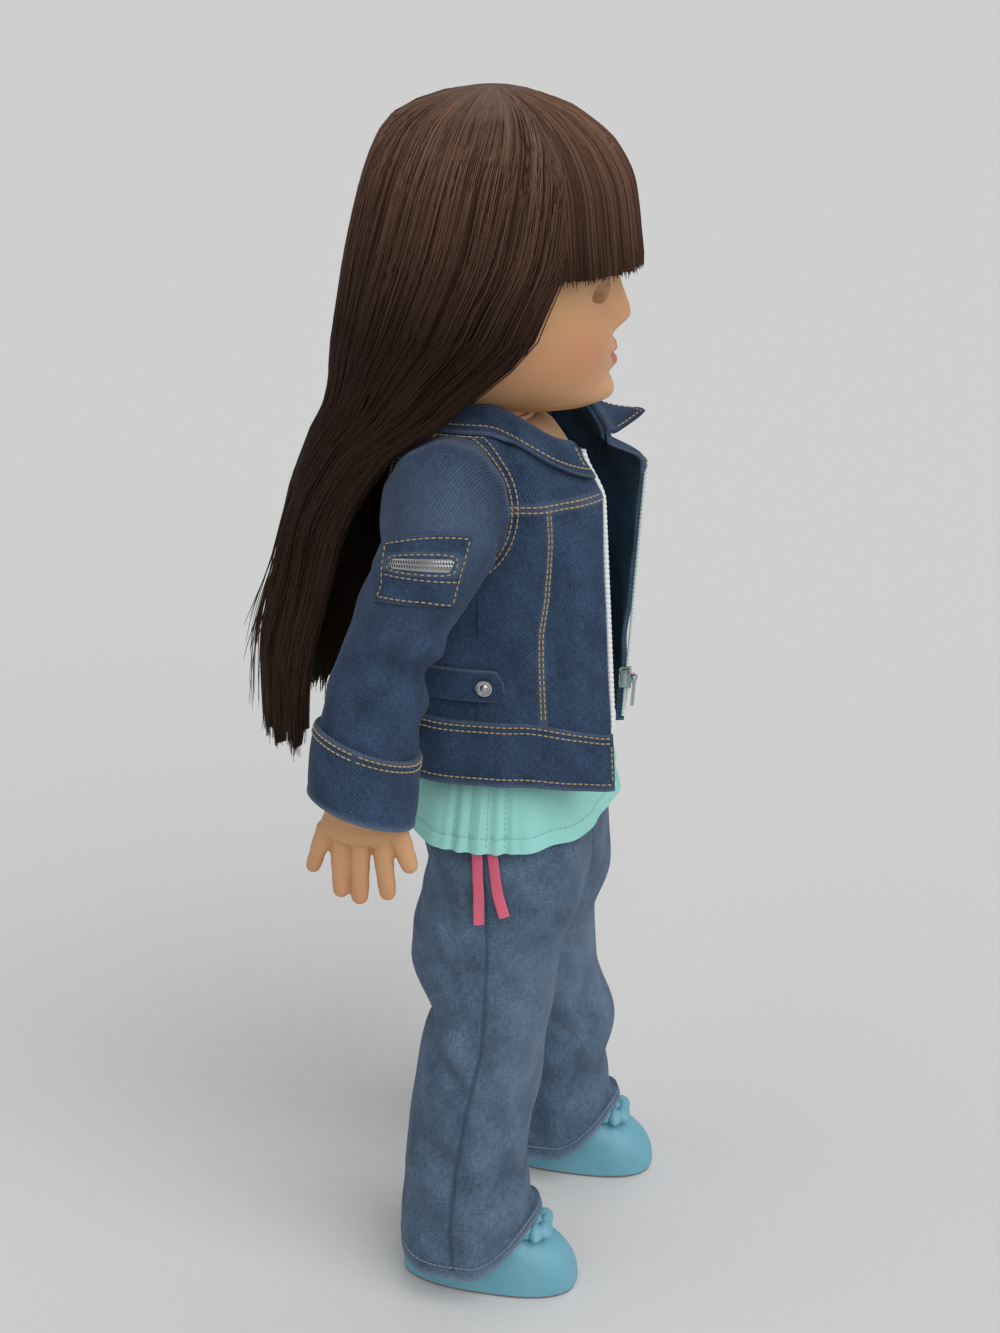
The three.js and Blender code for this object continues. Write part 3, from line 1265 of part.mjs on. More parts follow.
function tabSnap() {
  const outline = [[0, 0], [3.1, 0], [3.1, 0.8], [2.2, 1.9], [0, 2.3]];
  const turned = new THREE.LatheGeometry(outline.map(([r, h]) => new THREE.Vector2(r, h)), 10);
  const button = turned.rotateZ(Math.PI / 2);
  const seat = jacketPoint(Math.PI + 0.03, tabZ, 2 * GAP + 1.7);
  return button.translate(seat.x, seat.y, seat.z);
}

// Finishes
const finish = (colour, roughness, metalness = 0) => ({ color: colour, roughness, metalness });
const VINYL = finish(0xc99a76, 0.55);
const HAIR = finish(0x3a2220, 0.45);
const CAP_NET = finish(0x2a1b18, 0.9);
const EYE = finish(0x8a8f94, 0.1);
const LEAD = finish(0x55585c, 0.5, 0.8);
const CUP = finish(0xe6e2da, 0.5);
const CLOTH = finish(0xd9b596, 0.9);
const CORD = finish(0xefe9dd, 0.8);
const DISC = finish(0xf2efe6, 0.5);
const DENIM = finish(0x25375a, 0.9);
const JEANS = finish(0x4f6c93, 0.9);
const TEE = finish(0x86d6c6, 0.9);
const TIE = finish(0xe0526f, 0.6);
const ZIPPER = finish(0xe8e8e4, 0.5);
const SILVER = finish(0xb9bcc0, 0.25, 1);
const SHOE = finish(0x4aa3ad, 0.6);
const SOLE = finish(0x8d8478, 0.7);

function piece(name, geometry, look) {
  geometry.computeVertexNormals();
  const mesh = new THREE.Mesh(geometry, new THREE.MeshStandardMaterial(look));
  mesh.name = name;
  return mesh;
}

// Head group: turned about the neck
const head = new THREE.Group();
head.position.set(0, NECK_SETBACK, 0);
head.rotation.z = radians(HEAD_TURN);
const headParts = new THREE.Group();
headParts.position.set(0, -NECK_SETBACK, 0);
head.add(headParts);
headParts.add(
  piece("head_shell", headShell(), VINYL),
  piece("wig_cap", wigCap(), CAP_NET),
  piece("hair_crown", hairCrown(), HAIR),
  piece("hair_fringe", hairFringe(), HAIR),
);
for (const [name, side] of [["right", -1], ["left", 1]]) {
  headParts.add(
    piece(`${name}_eyeball`, eyeball(side), EYE),
    piece(`${name}_eye_weight`, eyeWeight(side), LEAD),
    piece(`${name}_eye_cup`, eyeCup(side), CUP),
  );
}

// Torso group with the clothes on it
const torso = new THREE.Group();
torso.add(
  piece("torso_body", torsoBody(), CLOTH),
  piece("neck_cord", neckCord(), CORD),
  piece("arm_elastic", elastic(armWasherX, SHOULDER_SETBACK, shoulderZ), CORD),
  piece("leg_elastic", elastic(legWasherX, 0, hipZ), CORD),
  piece("tee_body", teeBody(), TEE),
  piece("tee_hem", teeHem(), TEE),
  piece("tie_tail_front", tieTail(tieRoutes.front), TIE),
  piece("tie_tail_rear", tieTail(tieRoutes.rear), TIE),
  piece("jeans_seat", jeansSeat(), JEANS),
  piece("jacket_back", jacketBack(), DENIM),
  piece("jacket_band", jacketBand(), DENIM),
  piece("jacket_collar", jacketCollar(), DENIM),
  piece("zipper_slider", zipperSlider(), SILVER),
  piece("zipper_pull", zipperPull(), SILVER),
  piece("hair_fall", hairFall(), HAIR),
);
for (const [name, edge] of Object.entries(frontEdges)) {
  torso.add(
    piece(`jacket_${name}_front`, jacketFront(edge), DENIM),
    piece(`${name}_zipper_chain`, zipperChain(edge), ZIPPER),
  );
}

// Limbs, with the left side a mirror image of the right except for the staggered legs
const limbs = new THREE.Group();
for (const [name, side] of [["right", -1], ["left", 1]]) {
  const half = new THREE.Group();
  half.scale.x = -side;
  half.add(
    piece(`${name}_shoulder_disc`, armWasher(-armSeatX - GAP, DISC_THICKNESS, DISC_RADIUS), DISC),
    piece(`${name}_hip_disc`, legWasher(-crotchHalfWidth - GAP, HIP_DISC_THICKNESS, HIP_DISC_RADIUS), DISC),
    piece(`${name}_waist_tab`, waistTab(), DENIM),
    piece(`${name}_tab_snap`, tabSnap(), SILVER),
    piece(`${name}_arm`, arm(), VINYL),
    piece(`${name}_arm_washer`, armWasher(-armWasherX, WASHER_THICKNESS, WASHER_RADIUS), DISC),
    piece(`${name}_sleeve`, sleeve(), DENIM),
    piece(`${name}_cuff`, cuff(), DENIM),
    piece(`${name}_leg_washer`, legWasher(-legWasherX, WASHER_THICKNESS, WASHER_RADIUS), DISC),
  );
  limbs.add(half);
  limbs.add(
    piece(`${name}_leg`, leg(side), VINYL),
    piece(`${name}_jeans_leg`, jeansLeg(side), JEANS),
    piece(`${name}_shoe_upper`, shoeUpper(side), SHOE),
    piece(`${name}_shoe_sole`, shoeSole(side), SOLE),
    piece(`${name}_shoe_bow`, shoeBow(side), SHOE),
  );
}

// The pocket on the right sleeve and its short zipper
const pocketMiddle = -0.08;
const pocketThickness = 1;
const zipperLift = POCKET_LIFT + pocketThickness + GAP;
const pocket = sleevePatch(0.62, 1.03, POCKET_HALF_ANGLE, POCKET_LIFT, pocketThickness, pocketMiddle);
const pocketZipper = sleevePatch(0.73, 0.8, POCKET_HALF_ANGLE * 0.75, zipperLift, 0.9, pocketMiddle);
limbs.add(piece("sleeve_pocket", pocket, DENIM), piece("pocket_zipper", pocketZipper, SILVER));

const doll = new THREE.Group();
doll.add(head, torso, limbs);

// The origin is the middle of the footprint of the whole doll, on the floor
const bounds = new THREE.Box3().setFromObject(doll);
doll.position.y = -(bounds.min.y + bounds.max.y) / 2;
doll.position.x = -(bounds.min.x + bounds.max.x) / 2;

export default doll;
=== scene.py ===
"""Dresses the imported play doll: vinyl head with sleep eyes, wig, tee, jeans, denim jacket and soft shoes.

Lengths inside the functions are millimetres in the doll's own frame, whose y is 0 on the line of the
hip joints.
"""
import json
import math
from functools import partial

import bpy
import numpy as np
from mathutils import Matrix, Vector

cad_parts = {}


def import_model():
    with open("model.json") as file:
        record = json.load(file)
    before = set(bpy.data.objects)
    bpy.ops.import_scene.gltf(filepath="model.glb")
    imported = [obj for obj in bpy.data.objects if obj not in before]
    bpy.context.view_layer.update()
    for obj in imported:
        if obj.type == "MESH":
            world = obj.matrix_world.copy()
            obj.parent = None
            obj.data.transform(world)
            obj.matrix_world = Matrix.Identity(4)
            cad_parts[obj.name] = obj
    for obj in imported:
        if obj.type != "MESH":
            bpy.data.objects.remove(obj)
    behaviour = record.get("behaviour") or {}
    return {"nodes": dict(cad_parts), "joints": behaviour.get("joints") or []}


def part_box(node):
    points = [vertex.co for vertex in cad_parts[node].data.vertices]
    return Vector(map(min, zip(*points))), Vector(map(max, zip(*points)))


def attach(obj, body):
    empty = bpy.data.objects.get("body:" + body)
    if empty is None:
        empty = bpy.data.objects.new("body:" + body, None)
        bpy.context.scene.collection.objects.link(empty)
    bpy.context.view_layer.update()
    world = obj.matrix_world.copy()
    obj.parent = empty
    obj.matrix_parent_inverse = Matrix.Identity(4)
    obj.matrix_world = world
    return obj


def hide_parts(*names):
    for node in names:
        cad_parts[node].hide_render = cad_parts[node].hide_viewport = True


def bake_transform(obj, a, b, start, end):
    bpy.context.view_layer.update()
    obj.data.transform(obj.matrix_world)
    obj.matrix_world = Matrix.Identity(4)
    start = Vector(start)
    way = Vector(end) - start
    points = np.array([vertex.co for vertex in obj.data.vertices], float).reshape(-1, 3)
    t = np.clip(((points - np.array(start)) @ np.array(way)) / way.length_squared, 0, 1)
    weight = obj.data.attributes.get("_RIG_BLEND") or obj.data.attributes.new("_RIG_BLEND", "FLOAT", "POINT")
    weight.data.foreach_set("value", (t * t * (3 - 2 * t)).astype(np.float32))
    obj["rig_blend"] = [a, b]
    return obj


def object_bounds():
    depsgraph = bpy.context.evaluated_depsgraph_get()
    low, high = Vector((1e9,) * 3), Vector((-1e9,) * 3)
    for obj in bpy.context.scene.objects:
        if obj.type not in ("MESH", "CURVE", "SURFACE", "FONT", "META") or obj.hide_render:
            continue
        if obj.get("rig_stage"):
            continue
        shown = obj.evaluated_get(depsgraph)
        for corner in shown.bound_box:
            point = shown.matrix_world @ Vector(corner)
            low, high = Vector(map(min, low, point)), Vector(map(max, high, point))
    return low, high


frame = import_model()
CAD_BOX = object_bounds()

bl_info = {
    "name": "Dressed play doll",
    "version": (1, 0, 0),
    "blender": (4, 0, 0),
    "location": "View3D > Sidebar > Doll",
    "description": "Makes the skin, hair, clothes and shoes of a jointed play doll round its packed frame",
    "category": "Object",
}

MM = 0.001
PI = math.pi
SIDES = ((-1, "right"), (1, "left"))


def joint_place(name):
    """A joint's place in the frame, in millimetres."""
    row = next(joint for joint in frame["joints"] if joint["name"] == name)
    return np.array(row["pos_m"]) / MM


SHIFT = np.array([0.0, joint_place("right_leg_swing")[1], 0.0])


def node_box(name):
    """Lowest and highest corner of a CAD node in millimetres, in the doll's own frame."""
    low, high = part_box(name)
    return np.array(low) / MM - SHIFT, np.array(high) / MM - SHIFT


LEG_X = -joint_place("right_leg_swing")[0]
HIP_Z = joint_place("right_leg_swing")[2]
SHOULDER_Z = joint_place("right_arm_swing")[2]
NECK_Y = joint_place("head_turn")[1] - SHIFT[1]
HEAD_TURN = math.radians(10)
CHIN_Z = 345.0
CROWN_Z = node_box("head_shell")[1][2]
HEAD_HEIGHT = CROWN_Z - CHIN_Z
EYE_X = 17.5
EYE_Z = joint_place("right_eye_rock")[2]
EYE_RADIUS = 10.0
HEM_Z, BAND_TOP_Z = node_box("jacket_band")[0][2], node_box("jacket_band")[1][2]
TEE_HEM_Z = node_box("tee_hem")[0][2]
JEANS_HEM_Z = node_box("right_jeans_leg")[0][2]
HAIR_TOP_Z = node_box("hair_crown")[1][2]
HAIR_SPLIT_Z = node_box("hair_fall")[1][2]
FRINGE_Z = node_box("hair_fringe")[0][2]
KNEE_Z, ANKLE_Z = 108.0, 34.0
FOOT_X = 42.0
FOOT_SET = {-1: 5.5, 1: -14.0}
FOOT_Y = -6.5
SLEEVE_X = 49.6
ARM_END = np.array([83.1, 36.0, 222.0])
ELBOW_BACK = 9.0
ARMHOLE_Y, ARMHOLE_RADIUS = 10.0, 24.0
FAN_PIVOT = np.array([SLEEVE_X, ARMHOLE_Y, 294.5])
FAN_END = math.radians(78)
CUFF_LENGTH = 25.0
ARMHOLE_CUT = 4.8
# Each jacket edge: x and y at the hem, x and y at the neck, how far its lapel tucks back and how sharply
FRONT_EDGES = {-1: ((47.0, -47.0), (20.0, -35.8), 6.5, 1), 1: ((16.0, -41.0), (16.0, -48.5), 12.5, 4)}
FRONT_NECK_Z, BACK_NECK_Z = {-1: 336.0, 1: 328.4}, 348.5
NECK_EDGE_Z, LAPEL_Z = 336.0, 318.0
JACKET_POWER = 2.6
TORSO_POWER = 2.3
TORSO_LOW_Z, TORSO_TOP_Z = 160.0, 341.0
NECK_RADIUS, NECK_GROOVE_Z = 20.0, 342.5
TEE_LOW_Z, TEE_NECK_Z, TEE_SCOOP = 223.0, 337.0, 24.0
TAB_Z = 258.0
# Millimetres across a jacket front, and where the back's long seams lie as a share of its half width
FRONT_SPAN, BACK_SEAM = 70.0, 0.42
CLOTH_UV = "cloth"


def mix(a, b, t):
    """The value a share t of the way from a to b."""
    return a + (b - a) * t


def ramp(t, start, end):
    """Smooth step from 0 at start to 1 at end."""
    t = np.clip((np.asarray(t, float) - start) / (end - start), 0, 1)
    return t * t * (3 - 2 * t)


def bell(offset, spread):
    """Smooth bump, 1 at no offset."""
    return np.exp(-0.5 * (offset / spread) ** 2)


def profile(*pairs):
    """A smooth curve through pairs of place and value that never overshoots them."""
    place, value = np.array(pairs, float).T
    step = np.diff(place)
    slope = np.diff(value) / step
    tangent = np.concatenate([slope[:1], np.zeros(len(place) - 2), slope[-1:]])
    for i in range(1, len(place) - 1):
        if slope[i - 1] * slope[i] > 0:
            tangent[i] = 2 * slope[i - 1] * slope[i] / (slope[i - 1] + slope[i])

    def curve(at):
        at = np.clip(np.asarray(at, float), place[0], place[-1])
        i = np.clip(np.searchsorted(place, at, side="right") - 1, 0, len(step) - 1)
        t = (at - place[i]) / step[i]
        rise = value[i] * (1 + 2 * t) * (1 - t) ** 2 + value[i + 1] * t * t * (3 - 2 * t)
        return rise + step[i] * t * (1 - t) * (tangent[i] * (1 - t) - tangent[i + 1] * t)

    return curve


def ripple(seed, length, *places):
    """Soft folds between about -1 and 1: a seeded sum of waves about length apart."""
    draw = np.random.default_rng(seed)
    total = 0.0
    for _ in range(5):
        way = draw.normal(size=len(places))
        way /= np.linalg.norm(way)
        pitch = length * draw.uniform(0.7, 1.5)
        start = draw.uniform(0, 2 * PI)
        total = total + np.sin(2 * PI * sum(w * p for w, p in zip(way, places)) / pitch + start)
    return total / 2.6


def spot(x, y, z):
    """One array of points from three arrays or numbers."""
    return np.stack(np.broadcast_arrays(*(np.asarray(v, float) for v in (x, y, z))), -1)


def unit(v):
    """Vectors at length 1."""
    return v / np.maximum(np.linalg.norm(v, axis=-1, keepdims=True), 1e-9)


def circle(count):
    """Angles of even steps round a circle."""
    return np.linspace(0, 2 * PI, count + 1)[:-1]


def lattice(first, second):
    """Every pair of two rows of places, as two arrays: first runs down, second runs across."""
    return np.meshgrid(first, second, indexing="ij")


def outer_only(values, inner=0.0):
    """Painted values of a panel's outer face, followed by one value for its inner face."""
    return np.append(values, np.full(values.size, inner))


def oval(angle, width, front, back, power):
    """x and y on a rounded oval; angle -90 degrees is the front, 0 is +x."""
    c, s = np.cos(angle), np.sin(angle)
    depth = np.where(s < 0, front, back)
    bend = 2 / power
    return width * np.sign(c) * np.abs(c) ** bend, depth * np.sign(s) * np.abs(s) ** bend


def turned(points, angle, middle_y=NECK_Y):
    """Points turned about the vertical line through the neck."""
    c, s = np.cos(angle), np.sin(angle)
    x, y = points[..., 0], points[..., 1] - middle_y
    return spot(c * x - s * y, s * x + c * y + middle_y, points[..., 2])


class Sewing:
    """Points, faces, cloth coordinates and painted values of one piece while it is put together."""

    def __init__(self):
        self.points, self.faces, self.uv, self.paint = [], [], [], {}
        self.count = 0

    def add(self, points, faces, uv=None, **paint):
        points = np.asarray(points, float).reshape(-1, 3)
        volume = 0.0
        for group in faces:
            for j in range(1, group.shape[1] - 1):
                a, b, c = points[group[:, 0]], points[group[:, j]], points[group[:, j + 1]]
                volume += np.einsum("ij,ij->", a, np.cross(b, c))
        for i, group in enumerate(faces):
            place = np.zeros(group.shape + (2,)) if uv is None else uv[i]
            if volume < 0:
                group, place = group[:, ::-1], place[:, ::-1]
            self.faces += (group + self.count).tolist()
            self.uv.append(np.asarray(place, np.float32).reshape(-1))
        self.points.append(points)
        for key, value in paint.items():
            filled = np.broadcast_to(np.asarray(value, float).reshape(-1), (len(points),))
            self.paint.setdefault(key, []).append(filled)
        self.count += len(points)

    def piece(self, name, finish, sharp=45):
        mesh = bpy.data.meshes.new(name)
        placed = (np.concatenate(self.points) + SHIFT) * MM
        mesh.from_pydata(placed.tolist(), [], self.faces)
        mesh.uv_layers.new(name=CLOTH_UV).uv.foreach_set("vector", np.concatenate(self.uv))
        for key, values in self.paint.items():
            layer = mesh.attributes.new(key, "FLOAT", "POINT")
            layer.data.foreach_set("value", np.concatenate(values).astype(np.float32))
        mesh.shade_smooth()
        mesh.set_sharp_from_angle(angle=math.radians(sharp))
        mesh.materials.append(finish)
        made = bpy.data.objects.new(name, mesh)
        bpy.context.scene.collection.objects.link(made)
        return made


def grid_faces(rows, columns, wrap, keep=None):
    """Quads of a grid of points, and the column and row of each of their corners."""
    spans = columns if wrap else columns - 1
    r, c = (v.ravel() for v in lattice(np.arange(rows - 1), np.arange(spans)))
    if keep is not None:
        chosen = keep[r, c]
        r, c = r[chosen], c[chosen]
    after = (c + 1) % columns
    low, high = r * columns, (r + 1) * columns
    faces = np.stack([low + c, low + after, high + after, high + c], 1)
    steps = np.stack([np.stack([c, r], 1), np.stack([c + 1, r], 1), np.stack([c + 1, r + 1], 1),
                      np.stack([c, r + 1], 1)], 1)
    return faces, steps


def cloth_lengths(grid, wrap):
    """Running lengths in millimetres across the columns and down the rows of a grid of points."""
    closed = np.concatenate([grid, grid[:, :1]], 1) if wrap else grid
    across = np.linalg.norm(np.diff(closed, axis=1), axis=2).mean(0)
    down = np.linalg.norm(np.diff(grid, axis=0), axis=2).mean(1)
    return np.concatenate([[0], np.cumsum(across)]), np.concatenate([[0], np.cumsum(down)])


def panel(outer, inner, wrap=False, keep=None):
    """A closed two-sided panel: points, faces and cloth coordinates, with a rim along every open edge."""
    rows, columns = outer.shape[:2]
    size = rows * columns
    faces, steps = grid_faces(rows, columns, wrap, keep)
    u, v = cloth_lengths(outer, wrap)
    place = np.stack([u[steps[..., 0]], v[steps[..., 1]]], -1)
    edges = {}
    for face, where in zip(faces.tolist(), place.tolist()):
        for k in range(4):
            n = (k + 1) % 4
            edges[(face[k], face[n])] = (where[k], where[n])
    rim, rim_uv = [], []
    for (p, q), (a, b) in edges.items():
        if (q, p) not in edges:
            rim.append([q, p, p + size, q + size])
            rim_uv.append([b, a, a, b])
    points = np.concatenate([outer.reshape(-1, 3), inner.reshape(-1, 3)])
    groups = [faces, faces[:, ::-1] + size, np.array(rim)]
    return points, groups, [place, place[:, ::-1], np.array(rim_uv)]


def tube(rings):
    """A closed skin over rings of points, with a fan over each end."""
    rows, columns = rings.shape[:2]
    faces, steps = grid_faces(rows, columns, True)
    u, v = cloth_lengths(rings, True)
    place = np.stack([u[steps[..., 0]], v[steps[..., 1]]], -1)
    size = rows * columns
    k = np.arange(columns)
    after = (k + 1) % columns
    start = np.stack([after, k, np.full(columns, size)], 1)
    last = (rows - 1) * columns
    end = np.stack([last + k, last + after, np.full(columns, size + 1)], 1)
    points = np.concatenate([rings.reshape(-1, 3), rings[[0, -1]].mean(1)])
    fan = np.zeros((columns, 3, 2))
    fan[..., 0] = np.stack([u[1:], u[:-1], u[:-1]], 1)
    return points, [faces, start, end], [place, fan, fan + [0, v[-1]]]


def loop(rings):
    """A closed skin over rings of points that meet end to end, without ends of its own."""
    rows, columns = rings.shape[:2]
    faces, _ = grid_faces(rows, columns, True)
    k = np.arange(columns)
    after = (k + 1) % columns
    last = (rows - 1) * columns
    return rings, [faces, np.stack([last + k, last + after, after, k], 1)]


def resample(path, places):
    """Points of a path at given lengths along it."""
    run = np.concatenate([[0], np.cumsum(np.linalg.norm(np.diff(path[:, :3], axis=0), axis=1))])
    return np.stack([np.interp(places, run, path[:, k]) for k in range(path.shape[1])], 1), run[-1]


def stitch(sewing, path, normal, pitch, length, radius):
    """A row of raised thread stitches along a path on cloth."""
    both = np.concatenate([path, normal], 1)
    total = resample(both, [0.0])[1]
    starts = np.arange(0.3 * pitch, total - length, pitch)
    if len(starts) == 0:
        return
    shares = np.array([0.0, 0.2, 0.8, 1.0])
    thick = np.array([0.35, 1.0, 1.0, 0.35]) * radius
    lift = np.array([-0.1, 0.1, 0.1, -0.1])
    rows = np.stack([resample(both, starts + share * length)[0] for share in shares], 1)
    middle, up = rows[..., :3], unit(rows[..., 3:])
    way = unit(middle[:, 3] - middle[:, 0])[:, None]
    side = unit(np.cross(way, up))
    up = np.cross(side, way)
    turn = circle(6)
    ring = np.cos(turn)[:, None] * side[:, :, None] + np.sin(turn)[:, None] * up[:, :, None]
    points = (middle + up * lift[:, None])[:, :, None] + ring * thick[:, None, None]
    count = len(starts)
    base = np.arange(count)[:, None, None] * 24
    quad, _ = grid_faces(4, 6, True)
    quads = (base + quad).reshape(-1, 4)
    ends = np.stack([np.arange(6)[::-1], 18 + np.arange(6)])
    sewing.add(points, [quads, (base + ends).reshape(-1, 6)])


def topstitch(sewing, surface, first, second, lift, thread):
    """A row of stitches along a line of a surface; either of its coordinates may be one number."""
    first, second = np.broadcast_arrays(first, second)
    path = surface(first, second, lift)
    stitch(sewing, path, unit(surface(first, second, lift + 1.0) - path), *thread)


def srgb(code):
    """Linear colour of an sRGB hex value."""
    parts = [int(code[i:i + 2], 16) / 255 for i in (1, 3, 5)]
    return [p / 12.92 if p <= 0.04045 else ((p + 0.055) / 1.055) ** 2.4 for p in parts]


def tint(code):
    """Opaque colour of an sRGB hex value."""
    return (*srgb(code), 1.0)


def shade(name, code):
    """A colour that a user can change."""
    return bpy.props.FloatVectorProperty(
        name=name, description=f"Base colour of the {name.lower()}", subtype="COLOR", size=3, min=0, max=1,
        default=srgb(code))


class DollColours(bpy.types.PropertyGroup):
    """Colours a user would change."""

    skin: shade("Skin", "#cb9969")
    hair: shade("Hair", "#33251e")
    jacket: shade("Jacket denim", "#30425b")
    jeans: shade("Jeans denim", "#4f6379")
    tee: shade("Tee", "#97d6cf")
    ribbon: shade("Ribbon ties", "#dc6480")
    shoes: shade("Shoes", "#63a6ba")
    thread: shade("Topstitching", "#ab8f55")


class DollSizes(bpy.types.PropertyGroup):
    """Sizes a user would change."""

    strands: bpy.props.IntProperty(
        name="Hair strands", description="Number of separate long strands", default=2400, min=100)
    strand_width: bpy.props.FloatProperty(
        name="Strand width", description="Thickness of a strand of hair", default=0.00032, unit="LENGTH")
    stitch_pitch: bpy.props.FloatProperty(
        name="Stitch pitch", description="Distance from one topstitch to the next", default=0.0021,
        unit="LENGTH")
    twill: bpy.props.FloatProperty(
        name="Twill spacing", default=0.0009, unit="LENGTH",
        description="Distance between the slanted lines of the denim, drawn coarse enough to show")
    fold: bpy.props.FloatProperty(
        name="Fold depth", description="Depth of the soft folds in the jacket and jeans", default=0.0009,
        unit="LENGTH")


def colour(name):
    """A colour the user set."""
    return (*getattr(bpy.context.scene.doll_colours, name), 1.0)


def size(name):
    """A size the user set, in millimetres."""
    return getattr(bpy.context.scene.doll_sizes, name) / MM


def darker(value, share):
    """A colour with its light scaled."""
    return (*(v * share for v in value[:3]), 1.0)


def paler(value, share):
    """A colour moved towards white."""
    return (*(mix(v, 1.0, share) for v in value[:3]), 1.0)


def put(tree, socket, value):
    """Links an input or sets its value."""
    if isinstance(value, bpy.types.NodeSocket):
        tree.links.new(value, socket)
    else:
        socket.default_value = value


def add(tree, kind, inputs=None, out=0, **settings):
    """Adds one shader node with its settings, values and links, and gives one of its outputs."""
    made = tree.nodes.new("ShaderNode" + kind)
    for key, value in settings.items():
        setattr(made, key, value)
    for key, value in (inputs or {}).items():
        put(tree, made.inputs[key], value)
    return made.outputs[out]


def blended(tree, factor, a, b, kind="MIX"):
    """Colour mix of a and b by a factor."""
    return add(tree, "Mix", {0: factor, 6: a, 7: b}, 2, data_type="RGBA", blend_type=kind)


def start(name):
    """A new material, its node tree and its shader."""
    made = bpy.data.materials.new(name)
    made.use_nodes = True
    return made, made.node_tree, made.node_tree.nodes["Principled BSDF"]


def fill(tree, shader, **values):
    """Sets or links sockets of a shader."""
    for key, value in values.items():
        put(tree, shader.inputs[key.replace("_", " ")], value)


def scaled(tree, vector, x, y, z=1.0, turn=0.0):
    """Coordinates in millimetres, turned and divided by feature sizes in millimetres."""
    spun = add(tree, "Mapping", {"Vector": vector, "Rotation": (0, 0, turn)})
    return add(tree, "Mapping", {"Vector": spun, "Scale": (1 / x, 1 / y, 1 / z)})


def raise_bump(tree, shader, height, distance_mm):
    """Relief of a surface from a height pattern."""
    bump = add(tree, "Bump", {"Height": height, "Distance": distance_mm * MM})
    tree.links.new(bump, shader.inputs["Normal"])


# The wave node makes one band in this length of its own coordinate
WAVE_BAND = 2 * PI / 20


def denim(name, base, slant, contrast, slub_mm):
    """Cotton denim: slanted warp lines, streaky slubs, cloudy uneven dye, paler thread where seams rub, and
    painted shade along seam grooves.
    """
    made, tree, shader = start(name)
    cloth = add(tree, "UVMap", uv_map=CLOTH_UV)
    spacing = size("twill")
    slanted = scaled(tree, cloth, spacing, spacing, turn=slant)
    twill = add(tree, "TexWave", {"Vector": slanted, "Scale": WAVE_BAND, "Distortion": 1.6, "Detail": 2.0,
                                  "Detail Scale": 1.5}, wave_type="BANDS", out="Fac", bands_direction="X")
    warp = add(tree, "TexNoise", {"Vector": scaled(tree, cloth, 0.9, slub_mm), "Scale": 1.0, "Detail": 3.0})
    weft = add(tree, "TexNoise", {"Vector": scaled(tree, cloth, slub_mm * 0.6, 0.9), "Scale": 1.0,
                                  "Detail": 3.0})
    cloud = add(tree, "TexNoise", {"Vector": scaled(tree, cloth, 11, 15), "Scale": 1.0, "Detail": 4.0})
    rub = add(tree, "Attribute", out="Fac", attribute_name="wear")
    # painted shade: the crease value darkens a seam groove too fine for the mesh to shade itself
    deep = add(tree, "Attribute", out="Fac", attribute_name="crease")
    lines = blended(tree, twill, darker(base, 1 - contrast), darker(base, 1 + contrast))
    crossed = add(tree, "Math", {0: warp, 1: weft}, operation="ADD")
    slub = add(tree, "MapRange", {"Value": crossed, "From Min": 0.7, "From Max": 1.3, "To Min": 1 - contrast,
                                  "To Max": 1 + contrast})
    dye = add(tree, "MapRange", {"Value": cloud, "From Min": 0.3, "From Max": 0.7, "To Min": 0.72,
                                 "To Max": 1.28})
    woven = blended(tree, 1.0, lines, slub, "MULTIPLY")
    dyed = blended(tree, 1.0, woven, dye, "MULTIPLY")
    rubbed = blended(tree, rub, dyed, paler(darker(base, 1.5), 0.12))
    # mixes the painted seam shade into the colour
    rubbed = blended(tree, deep, rubbed, darker(base, 0.35))
    rough = add(tree, "MapRange", {"Value": warp, "To Min": 0.75, "To Max": 0.95})
    fill(tree, shader, Base_Color=rubbed, Roughness=rough, Sheen_Weight=0.06, Sheen_Roughness=0.35,
         Specular_IOR_Level=0.2)
    height = add(tree, "Math", {0: twill, 1: crossed}, operation="ADD")
    raise_bump(tree, shader, height, 0.09)
    return made


def jersey(name, base, spacing, shine):
    """Cotton jersey: fine upright columns of knitted loops, a soft matt surface, faintly clouded."""
    made, tree, shader = start(name)
    cloth = add(tree, "UVMap", uv_map=CLOTH_UV)
    columns = add(tree, "TexWave", {"Vector": scaled(tree, cloth, spacing, spacing * 4), "Scale": WAVE_BAND,
                                    "Distortion": 1.2, "Detail": 1.0}, out="Fac", bands_direction="X")
    loops = add(tree, "TexWave", {"Vector": scaled(tree, cloth, spacing * 4, spacing * 1.2),
                                  "Scale": WAVE_BAND, "Distortion": 1.5, "Detail": 1.0},
                out="Fac", bands_direction="Y")
    knit = add(tree, "Math", {0: columns, 1: loops}, operation="MULTIPLY")
    cloud = add(tree, "TexNoise", {"Vector": scaled(tree, cloth, 14, 14), "Scale": 1.0, "Detail": 3.0})
    toned = blended(tree, cloud, darker(base, 0.94), paler(base, 0.04))
    fill(tree, shader, Base_Color=blended(tree, knit, darker(base, 0.93), toned), Roughness=0.85 - shine,
         Sheen_Weight=0.08, Sheen_Roughness=0.4, Specular_IOR_Level=0.25)
    raise_bump(tree, shader, knit, 0.06)
    return made


